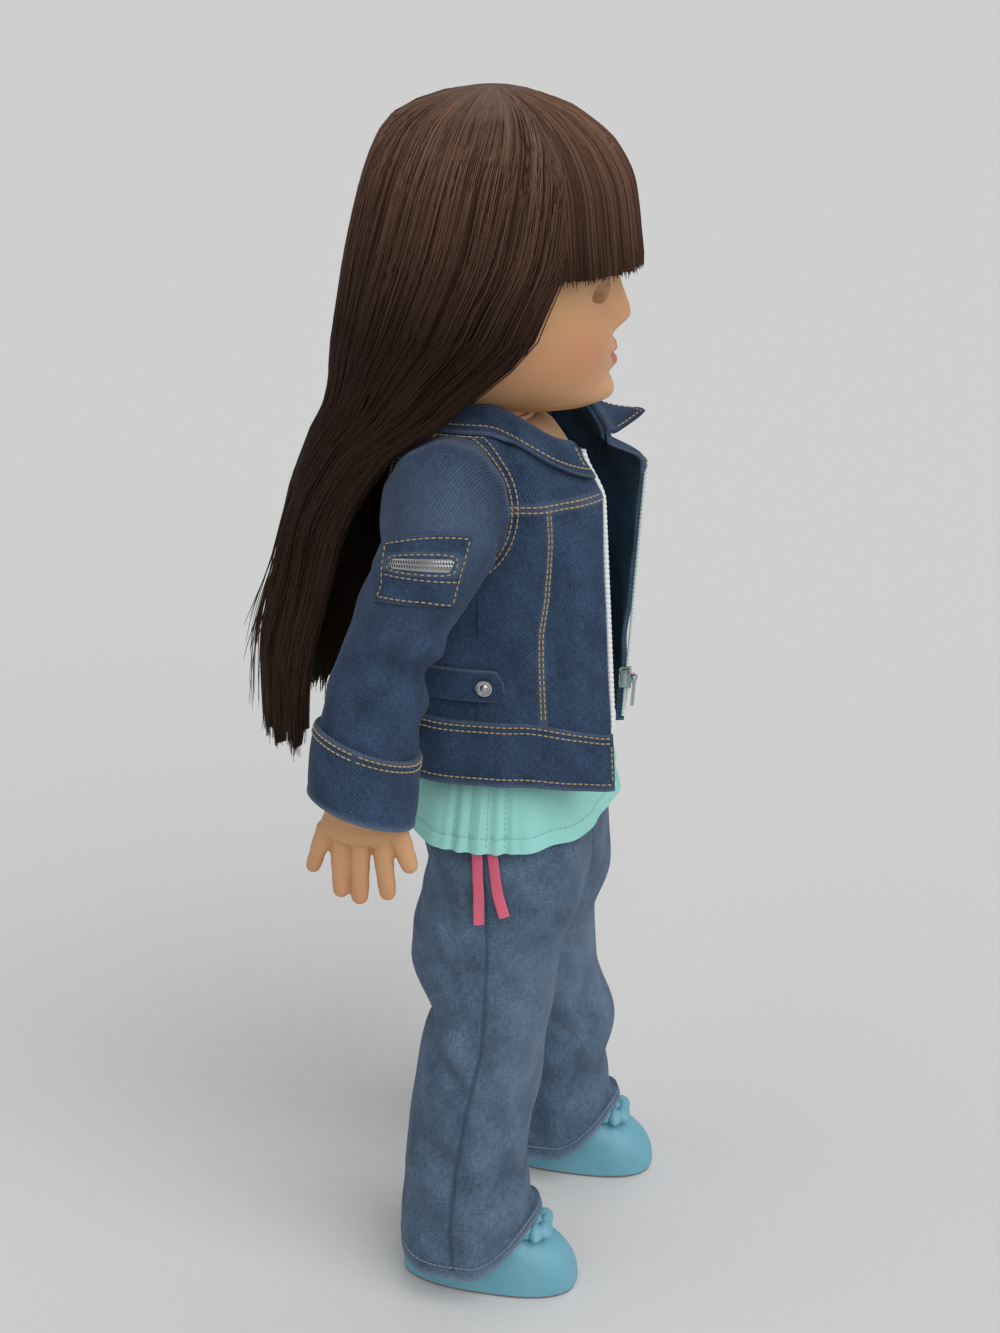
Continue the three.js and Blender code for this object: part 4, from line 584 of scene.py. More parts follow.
def soft_vinyl():
    """Rotationally moulded soft vinyl: satin skin with a sprayed blush on cheeks, lips and knuckles."""
    made, tree, shader = start("soft_vinyl_skin")
    base = colour("skin")
    place = add(tree, "NewGeometry")
    cloud = add(tree, "TexNoise", {"Vector": place, "Scale": 45.0, "Detail": 3.0})
    grain = add(tree, "TexNoise", {"Vector": place, "Scale": 1600.0, "Detail": 2.0})
    toned = blended(tree, cloud, darker(base, 0.93), paler(base, 0.05))
    blush = add(tree, "Attribute", out="Fac", attribute_name="blush")
    lip = add(tree, "Attribute", out="Fac", attribute_name="lip")
    line = add(tree, "Attribute", out="Fac", attribute_name="line")
    warm = blended(tree, blush, toned, tint("#c47a5e"))
    lips = blended(tree, lip, warm, tint("#b9675d"))
    fill(tree, shader, Base_Color=blended(tree, line, lips, tint("#4a3026")))
    fill(tree, shader, Roughness=add(tree, "MapRange", {"Value": grain, "To Min": 0.42, "To Max": 0.56}))
    fill(tree, shader, Subsurface_Weight=0.06, Subsurface_Radius=(0.004, 0.0016, 0.001), Subsurface_Scale=1.0)
    fill(tree, shader, Specular_IOR_Level=0.4)
    raise_bump(tree, shader, grain, 0.02)
    return made


def wig_fibre():
    """Straight modacrylic wig fibre: fine dark streaks along the hair, and a painted highlight, redder and
    paler, over the crown.
    """
    made, tree, shader = start("modacrylic_hair_fibre")
    base = colour("hair")
    tone = add(tree, "Attribute", out="Fac", attribute_name="tone")
    combed = add(tree, "UVMap", uv_map=CLOTH_UV)
    height = add(tree, "SeparateXYZ", {0: add(tree, "NewGeometry")}, "Z")
    # painted highlight: near the top of the head the hair is coloured paler and redder
    crown = add(tree, "MapRange", {"Value": height, "From Min": 0.375, "From Max": 0.45})
    # single fibres are too fine to show, so the streaks are drawn 0.4 mm wide
    streak = add(tree, "TexNoise", {"Vector": scaled(tree, combed, 0.4, 55.0), "Scale": 1.0, "Detail": 4.0,
                                    "Roughness": 0.65})
    lock = add(tree, "TexNoise", {"Vector": scaled(tree, combed, 5.0, 120.0), "Scale": 1.0, "Detail": 2.0})
    both = add(tree, "Math", {0: lock, 1: 0.4, 2: streak}, operation="MULTIPLY_ADD")
    shades = add(tree, "MapRange", {"Value": both, "From Min": 0.5, "From Max": 0.9, "To Min": 0.35,
                                    "To Max": 1.5})
    deep = blended(tree, tone, darker(base, 0.3), darker(base, 1.2))
    # colour of the painted highlight over the crown
    crown_highlight_colour = blended(tree, tone, darker(base, 1.5), tint("#866656"))
    ends = add(tree, "MapRange", {"Value": height, "From Min": 0.32, "From Max": 0.23, "To Max": 0.55})
    faded = blended(tree, tone, darker(base, 0.7), tint("#5c4232"))
    lit = blended(tree, ends, blended(tree, crown, deep, crown_highlight_colour), faded)
    fill(tree, shader, Base_Color=blended(tree, 1.0, lit, shades, "MULTIPLY"))
    fill(tree, shader, Roughness=add(tree, "MapRange", {"Value": streak, "To Min": 0.34, "To Max": 0.52}))
    fill(tree, shader, Specular_IOR_Level=0.35, Specular_Tint=tint("#b08468"))
    raise_bump(tree, shader, streak, 0.12)
    return made


def plain_finish(name, base, rough, grain_mm, metallic=0.0, contrast=0.12, bump_mm=0.03, **more):
    """A moulded, cast or plated finish: its colour clouds a little and its surface has a fine grain."""
    made, tree, shader = start(name)
    place = add(tree, "NewGeometry")
    grain = add(tree, "TexNoise", {"Vector": place, "Scale": 1 / (grain_mm * MM), "Detail": 3.0})
    cloud = add(tree, "TexNoise", {"Vector": place, "Scale": 60.0, "Detail": 2.0})
    mottled = blended(tree, cloud, darker(base, 1 - contrast), paler(base, contrast * 0.5))
    spread = add(tree, "MapRange", {"Value": grain, "To Min": rough - 0.08, "To Max": rough + 0.08})
    fill(tree, shader, Base_Color=mottled, Roughness=spread, Metallic=metallic, **more)
    raise_bump(tree, shader, grain, bump_mm)
    return made


def eye_acrylic():
    """Moulded acrylic eye with a painted grey iris; the lid cap above it is sprayed in the skin colour."""
    made, tree, shader = start("painted_acrylic_eye")
    gaze = add(tree, "Attribute", out="Fac", attribute_name="gaze")
    lid = add(tree, "Attribute", out="Fac", attribute_name="lid")
    ray = add(tree, "Attribute", out="Fac", attribute_name="ray")
    polar = add(tree, "CombineXYZ", {"X": ray, "Y": gaze})
    spokes = add(tree, "TexNoise", {"Vector": polar, "Scale": 5.0, "Detail": 3.0})
    bands = add(tree, "ValToRGB", {"Fac": gaze})
    stops = [(0.0, "#0c0a0a"), (0.215, "#0c0a0a"), (0.235, "#6f7c80"), (0.42, "#8a979a"), (0.5, "#2d3236"),
             (0.53, "#e8e3dc"), (1.0, "#dcd3c9")]
    ramp_row = bands.node.color_ramp.elements
    for i, (at, code) in enumerate(stops):
        stop = ramp_row[i] if i < 2 else ramp_row.new(at)
        stop.position = at
        stop.color = tint(code)
    spoked = blended(tree, spokes, bands, tint("#9aa5a5"), "SOFT_LIGHT")
    fill(tree, shader, Base_Color=blended(tree, lid, spoked, colour("skin")), Roughness=0.12, Coat_Weight=0.5)
    return made


def make_finishes():
    """All finishes of the doll by a short key."""
    slant = math.radians(32)
    return {
        "skin": soft_vinyl(),
        "hair": wig_fibre(),
        "eye": eye_acrylic(),
        "denim": denim("indigo_cotton_denim", colour("jacket"), slant, 0.3, 2.6),
        "jeans": denim("washed_cotton_denim", colour("jeans"), slant, 0.27, 3.4),
        "tee": jersey("cotton_jersey", colour("tee"), 0.7, 0.0),
        "ribbon": jersey("woven_satin_ribbon", colour("ribbon"), 0.6, 0.35),
        "body": jersey("cotton_body_cloth", tint("#c49c78"), 1.0, 0.0),
        # polyester topstitching: thick twisted thread with a dull shine
        "thread": plain_finish("polyester_topstitch_thread", colour("thread"), 0.6, 0.5, contrast=0.35),
        # coiled nylon zipper: bright white with a waxy shine
        "zipper": plain_finish("coiled_nylon_zipper", tint("#dcdfdf"), 0.4, 0.4, contrast=0.06),
        # nickel plate over die-cast zinc: bright, slightly clouded by handling
        "silver": plain_finish("nickel_plated_zinc", tint("#b9bbbd"), 0.25, 0.3, 1.0),
        # soft polyurethane-coated fabric: satin, with fine leather-like grain
        "shoe": plain_finish("coated_shoe_fabric", colour("shoes"), 0.5, 0.8, bump_mm=0.06, contrast=0.14),
        "sole": plain_finish("moulded_rubber_sole", tint("#6d6a66"), 0.75, 0.5, bump_mm=0.08),
        # finer threads dyed to match the cloth
        "tee_thread": plain_finish("cotton_tee_thread", darker(colour("tee"), 0.82), 0.7, 0.5, contrast=0.2),
        "jeans_thread": plain_finish("cotton_jeans_thread", paler(darker(colour("jeans"), 1.35), 0.08),
                                     0.7, 0.5, contrast=0.3),
        "lash": plain_finish("nylon_lash_fibre", tint("#1d1613"), 0.5, 0.5),
        "net": plain_finish("knotted_wig_net", tint("#33251d"), 0.8, 0.9, bump_mm=0.2),
        "cup": plain_finish("moulded_polythene_cup", tint("#d8cfc4"), 0.5, 0.6),
        "weight": plain_finish("cast_zinc_weight", tint("#8c8c8c"), 0.5, 0.5, 1.0),
        "disc": plain_finish("moulded_nylon_disc", tint("#e7e2d6"), 0.45, 0.5),
        "cord": jersey("braided_elastic_cord", tint("#d2b592"), 1.0, 0.0),
    }


FINISH = {}


def sew(name, key, *skins, sharp=45, **paint):
    """One piece of closed skins in a finish; a skin is its points, its faces and its cloth coordinates."""
    sewing = Sewing()
    for skin in skins:
        sewing.add(*skin, **paint)
    return sewing.piece(name, FINISH[key], sharp)


def settle(made, body, node_slot, *nodes):
    """Puts a piece on its body and hides the CAD nodes it stands for; its finish slot is not used."""
    if "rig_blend" not in made:
        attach(made, body)
    if nodes:
        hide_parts(*nodes)
    return made


def dress(node, key):
    """Gives a CAD node that stays in view its finish."""
    mesh = frame["nodes"][node].data
    mesh.materials.clear()
    mesh.materials.append(FINISH[key])


def world(point):
    """A point of the doll's own frame in metres."""
    return tuple((np.asarray(point, float) + SHIFT) * MM)


# Head
HEAD_SHARES = dict(
    width=profile((0, .3), (.04, .55), (.12, .75), (.22, .87), (.34, .95), (.46, .99), (.6, 1), (.74, .96),
                  (.86, .82), (.95, .55), (.99, .26), (1, .04)),
    face=profile((0, .74), (.04, .9), (.12, .935), (.22, .95), (.34, .955), (.46, .965), (.6, 1), (.74, .97),
                 (.86, .84), (.95, .57), (.99, .27), (1, .04)),
    skull=profile((0, .25), (.04, .42), (.12, .6), (.22, .76), (.34, .9), (.46, .97), (.6, 1), (.74, .97),
                  (.86, .83), (.95, .57), (.99, .27), (1, .04)),
)
HEAD_HALF_WIDTH, FACE_DEPTH, SKULL_DEPTH = 44.0, 44.0, 42.0
HEAD_POWER = 2.15
EYE_HALF_WIDTH, EYE_HALF_HEIGHT, EYE_LOW = 7.8, 5.4, 3.0
NOSE_H, MOUTH_H = 32.6, 18.9
# Forms of the face in millimetres: how far each stands out, how far from the middle it lies and how wide it
# spreads, how high above the chin it lies and how far it spreads upward
FACE_FORMS = {
    "nose wings": (1.6, 4.4, 1.8, 30.2, 2.1),
    "nose bridge": (1.4, 0, 4.5, 46, 6),
    "nostrils": (-1.1, 2.5, 1.0, 28.8, 0.9),
    "lower lip": (2.7, 0, 5.2, 16.2, 2.0),
    "groove under the nose": (-0.5, 0, 1.4, 25.2, 2.4),
    "groove under the lip": (-0.8, 0, 7, 11.8, 2.0),
    "chin": (3.2, 0, 9, 5.2, 4.1),
    "cheeks": (1.9, 22, 9, 25.5, 7.5),
    "eye hollows": (-2.2, EYE_X, 8, 43, 5.2),
}
LASHES, LASH_ANGLE = 23, math.radians(29)
LID_START, LID_FULL, LID_BACK = (math.radians(angle) for angle in (27.5, 29.5, 150))


def face_relief(x, h):
    """How far the face stands out at x and at h above the chin, both in millimetres."""
    relief = 6.4 * bell(x, 4.0) * bell(h - NOSE_H, np.where(h < NOSE_H, 2.6, 7.0))
    relief = relief + 2.5 * bell(x, 6.0) * bell(h - 21.4, 1.7) * (1 - 0.25 * bell(x, 1.5))
    relief = relief - 1.5 * bell(x, 6.5) * bell(h - MOUTH_H - 0.012 * x * x, 0.65)
    for out, aside, wide, height, tall in FACE_FORMS.values():
        relief = relief + out * bell(np.abs(x) - aside, wide) * bell(h - height, tall)
    return relief


def eye_reach(x, h):
    """Share of the way from the nearer eye's middle to its lid edge, and the height above that middle."""
    dx, dz = np.abs(x) - EYE_X, h - (EYE_Z - CHIN_Z)
    tall = np.where(dz > 0, EYE_HALF_HEIGHT, EYE_LOW)
    tall = tall * (1 - 0.12 * dx / EYE_HALF_WIDTH)
    return np.sqrt((dx / EYE_HALF_WIDTH) ** 2 + (dz / tall) ** 2), dz


def neck_sine(turn):
    """Depth round the neck as a share of its radius: the throat is flatter than the nape."""
    return np.sin(turn) * np.where(np.sin(turn) < 0, 0.72, 1.0)


def make_head():
    """Vinyl head with its face, and the neck below it."""
    shares = np.concatenate([np.linspace(0, 0.03, 6)[:-1], np.linspace(0.03, 0.62, 124)[:-1],
                             np.linspace(0.62, 1, 40)])
    t, turn = lattice(shares, circle(220))
    angle = turn - 0.66 * np.sin(turn) - PI / 2
    x, y = oval(angle, HEAD_HALF_WIDTH * HEAD_SHARES["width"](t), FACE_DEPTH * HEAD_SHARES["face"](t),
                SKULL_DEPTH * HEAD_SHARES["skull"](t), HEAD_POWER)
    h = t * HEAD_HEIGHT
    facing = ramp(-y, 0, 0.6 * FACE_DEPTH)
    reach, rise = eye_reach(x, h)
    front = y < 0
    socket = np.where(front, 4.8 * (1 - ramp(reach, 0.86, 1.02)), 0)
    lid_fold = 0.5 * bell(reach - 1.5, 0.07) * ramp(rise, 0, 3)
    rim = np.where(front, 0.55 * bell(reach - 1.13, 0.09) - lid_fold, 0)
    y = y - (face_relief(x, h) + rim) * facing + socket
    bow = 23.6 - 0.5 * bell(x, 1.3) - 0.058 * x * x
    low = 12.7 + 0.085 * x * x
    lip = ramp(h, low - 0.3, low + 0.5) * (1 - ramp(h, bow - 0.5, bow + 0.3))
    lip = lip * (1 - ramp(np.abs(x), 7.6, 8.6)) * front
    blush = 0.5 * bell(np.abs(x) - 24, 9) * bell(h - 25, 9) + 0.25 * bell(x, 5) * bell(h - 33, 4)
    line = 0.6 * bell(reach - 1.03, 0.03) * front * ramp(rise, -2, 2)
    sewing = Sewing()
    rings = turned(spot(x, y + NECK_Y, CHIN_Z + h), HEAD_TURN)
    pad = [0.0, 0.0]
    sewing.add(*tube(rings), blush=np.append(blush * front, pad), lip=np.append(lip, pad),
               line=np.append(line, pad))
    z = np.concatenate([np.linspace(326, 338, 7), np.linspace(339.5, 345.5, 9), np.linspace(347, 360, 6)])
    radius = NECK_RADIUS - 0.9 * bell(z - NECK_GROOVE_Z, 1.1) + 1.2 * ramp(329 - z, 0, 3)
    z, turn = lattice(z, circle(64))
    ring = spot(radius[:, None] * np.cos(turn), NECK_Y + radius[:, None] * neck_sine(turn), z)
    sewing.add(*tube(ring), blush=0.0, lip=0.0, line=0.0)
    settle(sewing.piece("head_skin", FINISH["skin"], 80), "head", "vinyl", "head_shell")


def make_eye(name):
    """One sleep eye with its painted iris, its lid and its lashes."""
    low, high = node_box(name + "_eyeball")
    middle = (low + high) / 2
    shares = np.concatenate([np.linspace(0.02, 0.6, 40), np.linspace(0.62, 1, 16)])
    tilt, spin = lattice(shares * PI, circle(64))
    way = spot(np.sin(tilt) * np.cos(spin), -np.cos(tilt), np.sin(tilt) * np.sin(spin))
    lift = np.arctan2(way[..., 2], -way[..., 1])
    lid = ramp(lift, LID_START, LID_FULL) * (lift < LID_BACK)
    bulge = 1 + 0.05 * bell(tilt, 0.35) + 0.02 * lid
    ball = turned(middle + (EYE_RADIUS - 0.3) * way * bulge[..., None], HEAD_TURN, middle[1])
    ball[..., :2] += middle[:2] - turned(middle, HEAD_TURN, middle[1])[:2]
    made = sew(name + "_eye_ball", "eye", tube(ball), sharp=80, gaze=np.append(tilt / 1.2, [0, 2]),
               ray=np.append(spin, [0, 0]), lid=np.append(lid, [0, 0]))
    settle(made, name + "_eye", "eye", name + "_eyeball")
    lashes = Sewing()
    run = np.linspace(0, 1, 6)[:, None]
    for across in np.linspace(-0.72, 0.72, LASHES):
        root = unit(np.array([across, -math.cos(LASH_ANGLE), math.sin(LASH_ANGLE)]))
        curl = np.array([across * 0.9, -3.4, 0.8]) * run + np.array([0, 0, 2.2]) * run ** 2
        path = root * (EYE_RADIUS + 0.1) + curl * (0.8 + 0.25 * math.cos(2.2 * across))
        turn = circle(4)
        ring = spot(np.cos(turn), 0 * turn, np.sin(turn))
        rings = path[:, None] + ring * (0.2 * (1.02 - run))[:, None]
        rings = middle + turned(rings, HEAD_TURN, 0.0)
        lashes.add(*tube(rings))
    settle(lashes.piece(name + "_lashes", FINISH["lash"]), name + "_eye", "hair")


# Hair
HAIR_WIDTH = profile((.04, .94), (.3, .985), (.55, 1), (.75, .96), (.88, .83), (.98, .58), (1.05, .335),
                     (1.08, .168), (1.0888, .058), (1.09, .004))
HAIR_FRONT_SHARE = profile((.04, .95), (.3, .99), (.55, 1), (.75, .955), (.88, .83), (.98, .6), (1.05, .34),
                           (1.08, .168), (1.0888, .058), (1.09, .004))
HAIR_BACK_SHARE = profile((.04, .99), (.23, .985), (.37, .947), (.54, .9), (.68, .843), (.82, .767),
                          (.95, .647), (1.05, .36), (1.08, .16), (1.0888, .055), (1.09, .004))
HAIR_HALF_WIDTH, HAIR_FRONT, HAIR_BACK = 51.0, 51.2, 57.0
HAIR_PEAK_Z = HAIR_TOP_Z - 1.6
HAIR_OVER = HAIR_PEAK_Z - CROWN_Z
FALL_LENGTH = 128.0
HAIR_END_Z = HAIR_SPLIT_Z - FALL_LENGTH + 2
# Above the first height the hair turns with the head, below the second it lies with the torso
HAIR_TURNS_Z, HAIR_LIES_Z = 374, 338
FRINGE_STRANDS, STRAY_FIBRES = 620, 30
FALL_MIDDLE = profile((0, 15), (.08, 27), (.17, 34), (.31, 41), (.5, 48), (.8, 59.7), (1, 63), (1.1, 64))
FALL_DEPTH = profile((0, 49), (.08, 42), (.17, 39.5), (.31, 39.4), (.6, 37.5), (1, 31), (1.1, 30))
FALL_WIDTH = profile((0, 51), (.08, 48.5), (.31, 47), (.6, 43), (1, 36), (1.1, 35))
# How far round from the back the side hair reaches at each height, in degrees
SIDE_REACH = profile((340, 82), (352, 91), (371, 102), (391, 112), (400, 117), (430, 125), (456, 138))


def hair_oval(angle, z, lift):
    """A point of the hair over the skull, before the head turns."""
    t = np.where(z < CROWN_Z, (z - CHIN_Z) / HEAD_HEIGHT, 1 + (z - CROWN_Z) / HAIR_OVER * 0.09)
    reach = HAIR_HALF_WIDTH * HAIR_WIDTH(t), HAIR_FRONT * HAIR_FRONT_SHARE(t), HAIR_BACK * HAIR_BACK_SHARE(t)
    x, y = oval(angle, *(np.maximum(span + lift, 0.3 * span) for span in reach), 2.1)
    return spot(x, y + NECK_Y, z)


def long_hair(w, z, lift):
    """A point of the long hair: w runs from -1 to 1 round the back, z is the height."""
    w = w * (1 - 0.22 * (1 - np.abs(w)) * ramp(440 - z, 0, 90))
    over = hair_oval(PI / 2 - np.radians(w * SIDE_REACH(z)), z, lift)
    row = (HAIR_SPLIT_Z - z) / FALL_LENGTH
    bend = np.radians(76) * w
    fall_y = FALL_MIDDLE(row) + (FALL_DEPTH(row) + lift) * np.cos(bend)
    fall = spot((FALL_WIDTH(row) + lift) * np.sin(bend), fall_y, z)
    low = ramp(378 - z, 0, 44)[..., None]
    return turned(mix(over, fall, low), HEAD_TURN * ramp(z, 300, 350))


def fringe_hair(w, z, lift):
    """A point of the straight-cut fringe: w runs from -1 to 1 across the forehead."""
    return turned(hair_oval(-PI / 2 + np.radians(67 * w), z, lift), HEAD_TURN)


def lay_strands(sewing, surface, w, z, depth, widths, tones, tuck=0.0):
    """Closed three-sided strands along a surface of hair, finer at both ends."""
    paths = surface(w, z, depth - tuck)
    outward = unit(surface(w, z, depth + 1) - surface(w, z, depth))
    count, steps = paths.shape[:2]
    way = unit(np.gradient(paths, axis=1))
    side = unit(np.cross(way, outward))
    up = np.cross(side, way)
    taper = np.sin(np.linspace(0.12, PI - 0.1, steps)) ** 0.5
    turn = circle(3) + PI / 2
    ring = np.cos(turn)[:, None] * side[:, :, None] * 1.3 + np.sin(turn)[:, None] * up[:, :, None]
    points = paths[:, :, None] + ring * (widths[:, None] * taper)[:, :, None, None]
    quad, _ = grid_faces(steps, 3, True)
    base = np.arange(count)[:, None, None] * steps * 3
    last = (steps - 1) * 3
    ends = np.array([[2, 1, 0], [last, last + 1, last + 2]])
    sewing.add(points, [(base + quad).reshape(-1, 4), (base + ends).reshape(-1, 3)],
               tone=np.repeat(tones, steps * 3))


def hair_grooves(w, z, seed):
    """Locks and fine combing marks of the hair, in millimetres."""
    fine = ripple(seed, 0.035, w + 0.0008 * z * ripple(seed + 1, 0.8, w))
    lock = ripple(seed + 2, 0.22, w + 0.0006 * (z - 300) * ripple(seed + 3, 0.5, w))
    return 0.2 * fine + 0.5 * lock


def hang(made, *nodes):
    """Lets long hair turn with the head at its top and lie with the torso below."""
    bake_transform(made, "head", "torso", world((0, 30, HAIR_TURNS_Z)), world((0, 30, HAIR_LIES_Z)))
    settle(made, None, "hair", *nodes)


def make_long_hair(draw):
    """Long hair from the crown down the back: a combed sheet with separate strands over it."""
    w = np.linspace(-1, 1, 321)
    ends = HAIR_END_Z + 3 * ripple(5, 0.16, w) + 1.5 * ripple(6, 0.06, w)
    z = mix(HAIR_PEAK_Z - 0.02, ends[None], np.linspace(0, 1, 150)[:, None] ** 1.5)
    w = np.broadcast_to(w, z.shape)
    outer = long_hair(w, z, hair_grooves(w, z, 11) - 0.5 - 1.2 * ramp(np.abs(w), 0.93, 1))
    inner = long_hair(w, z, -4.2)
    outer = np.where((np.abs(w) > 0.999)[..., None], mix(outer, inner, 0.4), outer)
    tone = outer_only(0.4 + 0.12 * ripple(21, 0.05, w))
    hang(sew("hair_back", "hair", panel(outer, inner), sharp=60, tone=tone), "hair_crown", "hair_fall")
    count = bpy.context.scene.doll_sizes.strands
    share = np.linspace(0, 1, 26)
    side = draw.uniform(-1, 1, count)
    side = np.sign(side) * np.abs(side) ** 0.85
    top = HAIR_PEAK_Z - 0.05 - 30 * draw.uniform(0, 1, count) ** 2
    foot = HAIR_END_Z + draw.normal(0, 3.0, count) + 3 * ripple(5, 0.16, side)
    z = mix(top[:, None], foot[:, None], share ** 1.5)
    sway = draw.normal(0, 0.012, (count, 1)) * np.sin(PI * share * draw.uniform(0.6, 1.6, (count, 1)))
    w = np.clip(side[:, None] + sway + 0.02 * draw.normal(size=(count, 1)) * share ** 2, -1.02, 1.02)
    depth = draw.uniform(-0.9, 0.35, (count, 1)) + hair_grooves(w, z, 11)
    rooted = draw.uniform(0.04, 0.34, (count, 1))
    tuck = 1.6 * (1 - ramp(share / rooted, 0, 1)) - 0.4 * ramp(share, 0.9, 1)
    tuck = tuck + 0.7 * ramp(np.abs(w), 0.95, 1.02)
    widths = size("strand_width") * draw.uniform(0.6, 1.3, count)
    loose = Sewing()
    lay_strands(loose, long_hair, w, z, depth, widths, draw.uniform(0, 1, count), tuck)
    hang(loose.piece("hair_strands", FINISH["hair"], 180))


def make_fringe(draw):
    """Straight-cut fringe: a thin sheet that rolls out at its foot, with strands over it."""
    w = np.linspace(-1, 1, 181)
    ends = FRINGE_Z + 0.8 * ripple(31, 0.07, w)
    z = mix(HAIR_PEAK_Z - 0.02, ends[None], np.linspace(0, 1, 60)[:, None] ** 1.5)
    w = np.broadcast_to(w, z.shape)
    groove = 0.25 * ripple(32, 0.03, w) + 0.3 * ripple(33, 0.16, w)
    roll = ramp(FRINGE_Z + 12 - z, 0, 12) - 1.6 * ramp(np.abs(w), 0.8, 1)
    bangs = Sewing()
    bangs.add(*panel(fringe_hair(w, z, groove - 0.4 + roll), fringe_hair(w, z, -3.2 + roll)), tone=0.4)
    count = FRINGE_STRANDS
    share = np.linspace(0, 1, 18)
    side = draw.uniform(-1, 1, count)
    foot = FRINGE_Z - 0.3 + draw.normal(0, 0.9, count)
    top = HAIR_PEAK_Z - 0.4 - 6 * draw.uniform(0, 1, count)
    z = mix(top[:, None], foot[:, None], share ** 1.4)
    w = side[:, None] + 0.015 * draw.normal(size=(count, 1)) * np.sin(2.4 * share)
    rooted = draw.uniform(0.05, 0.4, (count, 1))
    depth = draw.uniform(-0.3, 0.6, (count, 1)) + ramp(FRINGE_Z + 12 - z, 0, 12)
    depth = depth - 1.2 * (1 - ramp(share / rooted, 0, 1)) - 1.2 * ramp(np.abs(w), 0.85, 1)
    widths = size("strand_width") * draw.uniform(0.6, 1.2, count)
    lay_strands(bangs, fringe_hair, w, z, depth, widths, draw.uniform(0.1, 1, count))
    settle(bangs.piece("hair_bangs", FINISH["hair"], 70), "head", "hair", "hair_fringe")


def make_flyaways(draw):
    """A few stray fibres that stand off the long hair."""
    count = STRAY_FIBRES
    share = np.linspace(0, 1, 24)
    side = draw.uniform(-0.8, 0.2, count)
    top = draw.uniform(300, 345, count)
    foot = draw.uniform(222, 262, count)
    z = mix(top[:, None], foot[:, None], share)
    stray = draw.uniform(2, 8, (count, 1)) * share ** 1.6
    w = side[:, None] - 0.08 * draw.uniform(0, 1, (count, 1)) * share
    fly = Sewing()
    lay_strands(fly, long_hair, w, z, stray, 0.22 * np.ones(count), draw.uniform(0.2, 0.7, count))
    hang(fly.piece("hair_flyaways", FINISH["hair"], 180))


def make_hair():
    """The whole wig, from one row of random draws."""
    draw = np.random.default_rng(3)
    make_long_hair(draw)
    make_fringe(draw)
    make_flyaways(draw)


# Body and limbs
TORSO_WIDTH = profile((160, 9.4), (185, 42.3), (207, 47), (240, 41), (290, 41), (320, 41), (334, 35.26),
                      (341, 24))
TORSO_DEPTH = profile((160, 13.6), (173, 29.24), (193, 34), (240, 31), (290, 30.5), (320, 28), (334, 22.5),
                      (341, 17))
TORSO_SETBACK = profile((290, 0), (320, 3), (341, 6))
LEG_RADIUS = profile((4, 11), (14, 12), (34, 12), (78.4, 16.5), (108, 17), (155, 21), (185, 21))


def torso_point(angle, z, ease):
    """A point round the torso, ease away from its cloth."""
    x, y = oval(angle, TORSO_WIDTH(z) + ease, TORSO_DEPTH(z) + ease, TORSO_DEPTH(z) + ease, TORSO_POWER)
    return spot(x, y + TORSO_SETBACK(z), z)


def leg_middle(side, z):
    """x and y of the middle of a leg at a height."""
    x = side * mix(LEG_X, FOOT_X, np.clip((TORSO_LOW_Z - z) / (TORSO_LOW_Z - ANKLE_Z), 0, 1))
    return x, FOOT_SET[side] * ramp(HIP_Z - z, 20, HIP_Z - ANKLE_Z)


def make_body():
    """Stuffed torso, the cord that ties its neck, and the vinyl legs."""
    z, angle = lattice(np.linspace(TORSO_LOW_Z, TORSO_TOP_Z, 60), circle(96))
    quilt = 0.5 * ripple(41, 22, 40 * np.cos(angle), 40 * np.sin(angle), z)
    points = torso_point(angle, z, quilt - 0.8)
    points[..., :2] *= mix(1, 0.58, ramp(208 - z, 0, 26))[..., None]
    made = settle(sew("stuffed_torso", "body", tube(points)), "torso", "body_cloth", "torso_body")
    twist, turn = lattice(circle(12), circle(240))
    thick = 1.0 + 0.14 * np.cos(2 * twist + 40 * turn)
    reach = NECK_RADIUS + 0.2 + thick * np.cos(twist)
    rise = NECK_GROOVE_Z + thick * np.sin(twist)
    string = spot(reach * np.cos(turn), NECK_Y + reach * neck_sine(turn), rise)
    settle(sew("neck_drawstring", "cord", loop(string), sharp=80), "torso", "cord", "neck_cord")
    share = np.linspace(0, 1, 30)
    width = profile((0, 5), (.15, 10.5), (.5, 12), (.75, 12), (.92, 8), (1, 2.5))(share)[:, None]
    tall = profile((0, 5), (.2, 9), (.5, 8.5), (.8, 5.5), (1, 2))(share)[:, None]
    turn = circle(32)
    for side, name in SIDES:
        z, angle = lattice(np.linspace(6, HIP_Z + 20, 90), circle(48))
        x, y = leg_middle(side, z)
        back = 5 * ramp(KNEE_Z - z, 0, KNEE_Z - ANKLE_Z)
        calf = 1.2 * bell(z - 82, 16) * np.sin(angle) + 0.8 * bell(z - 110, 7) * -np.sin(angle)
        round_top = np.sqrt(np.clip(1 - ((z - HIP_Z) / 22) ** 2, 0.02, 1)) ** (z > HIP_Z)
        radius = LEG_RADIUS(z) * round_top + calf
        leg = spot(x + radius * np.cos(angle), y + back + (radius + 1) * np.sin(angle), z)
        fx, fy = leg_middle(side, 0.0)
        along = fy + FOOT_Y + mix(31, -31, share)
        foot = spot(fx + width * np.cos(turn), along[:, None], 4.2 + tall + tall * np.sin(turn))
        made = sew(name + "_leg_skin", "skin", tube(leg), tube(foot), sharp=80)
        settle(made, name + "_leg_body", "vinyl", name + "_leg")


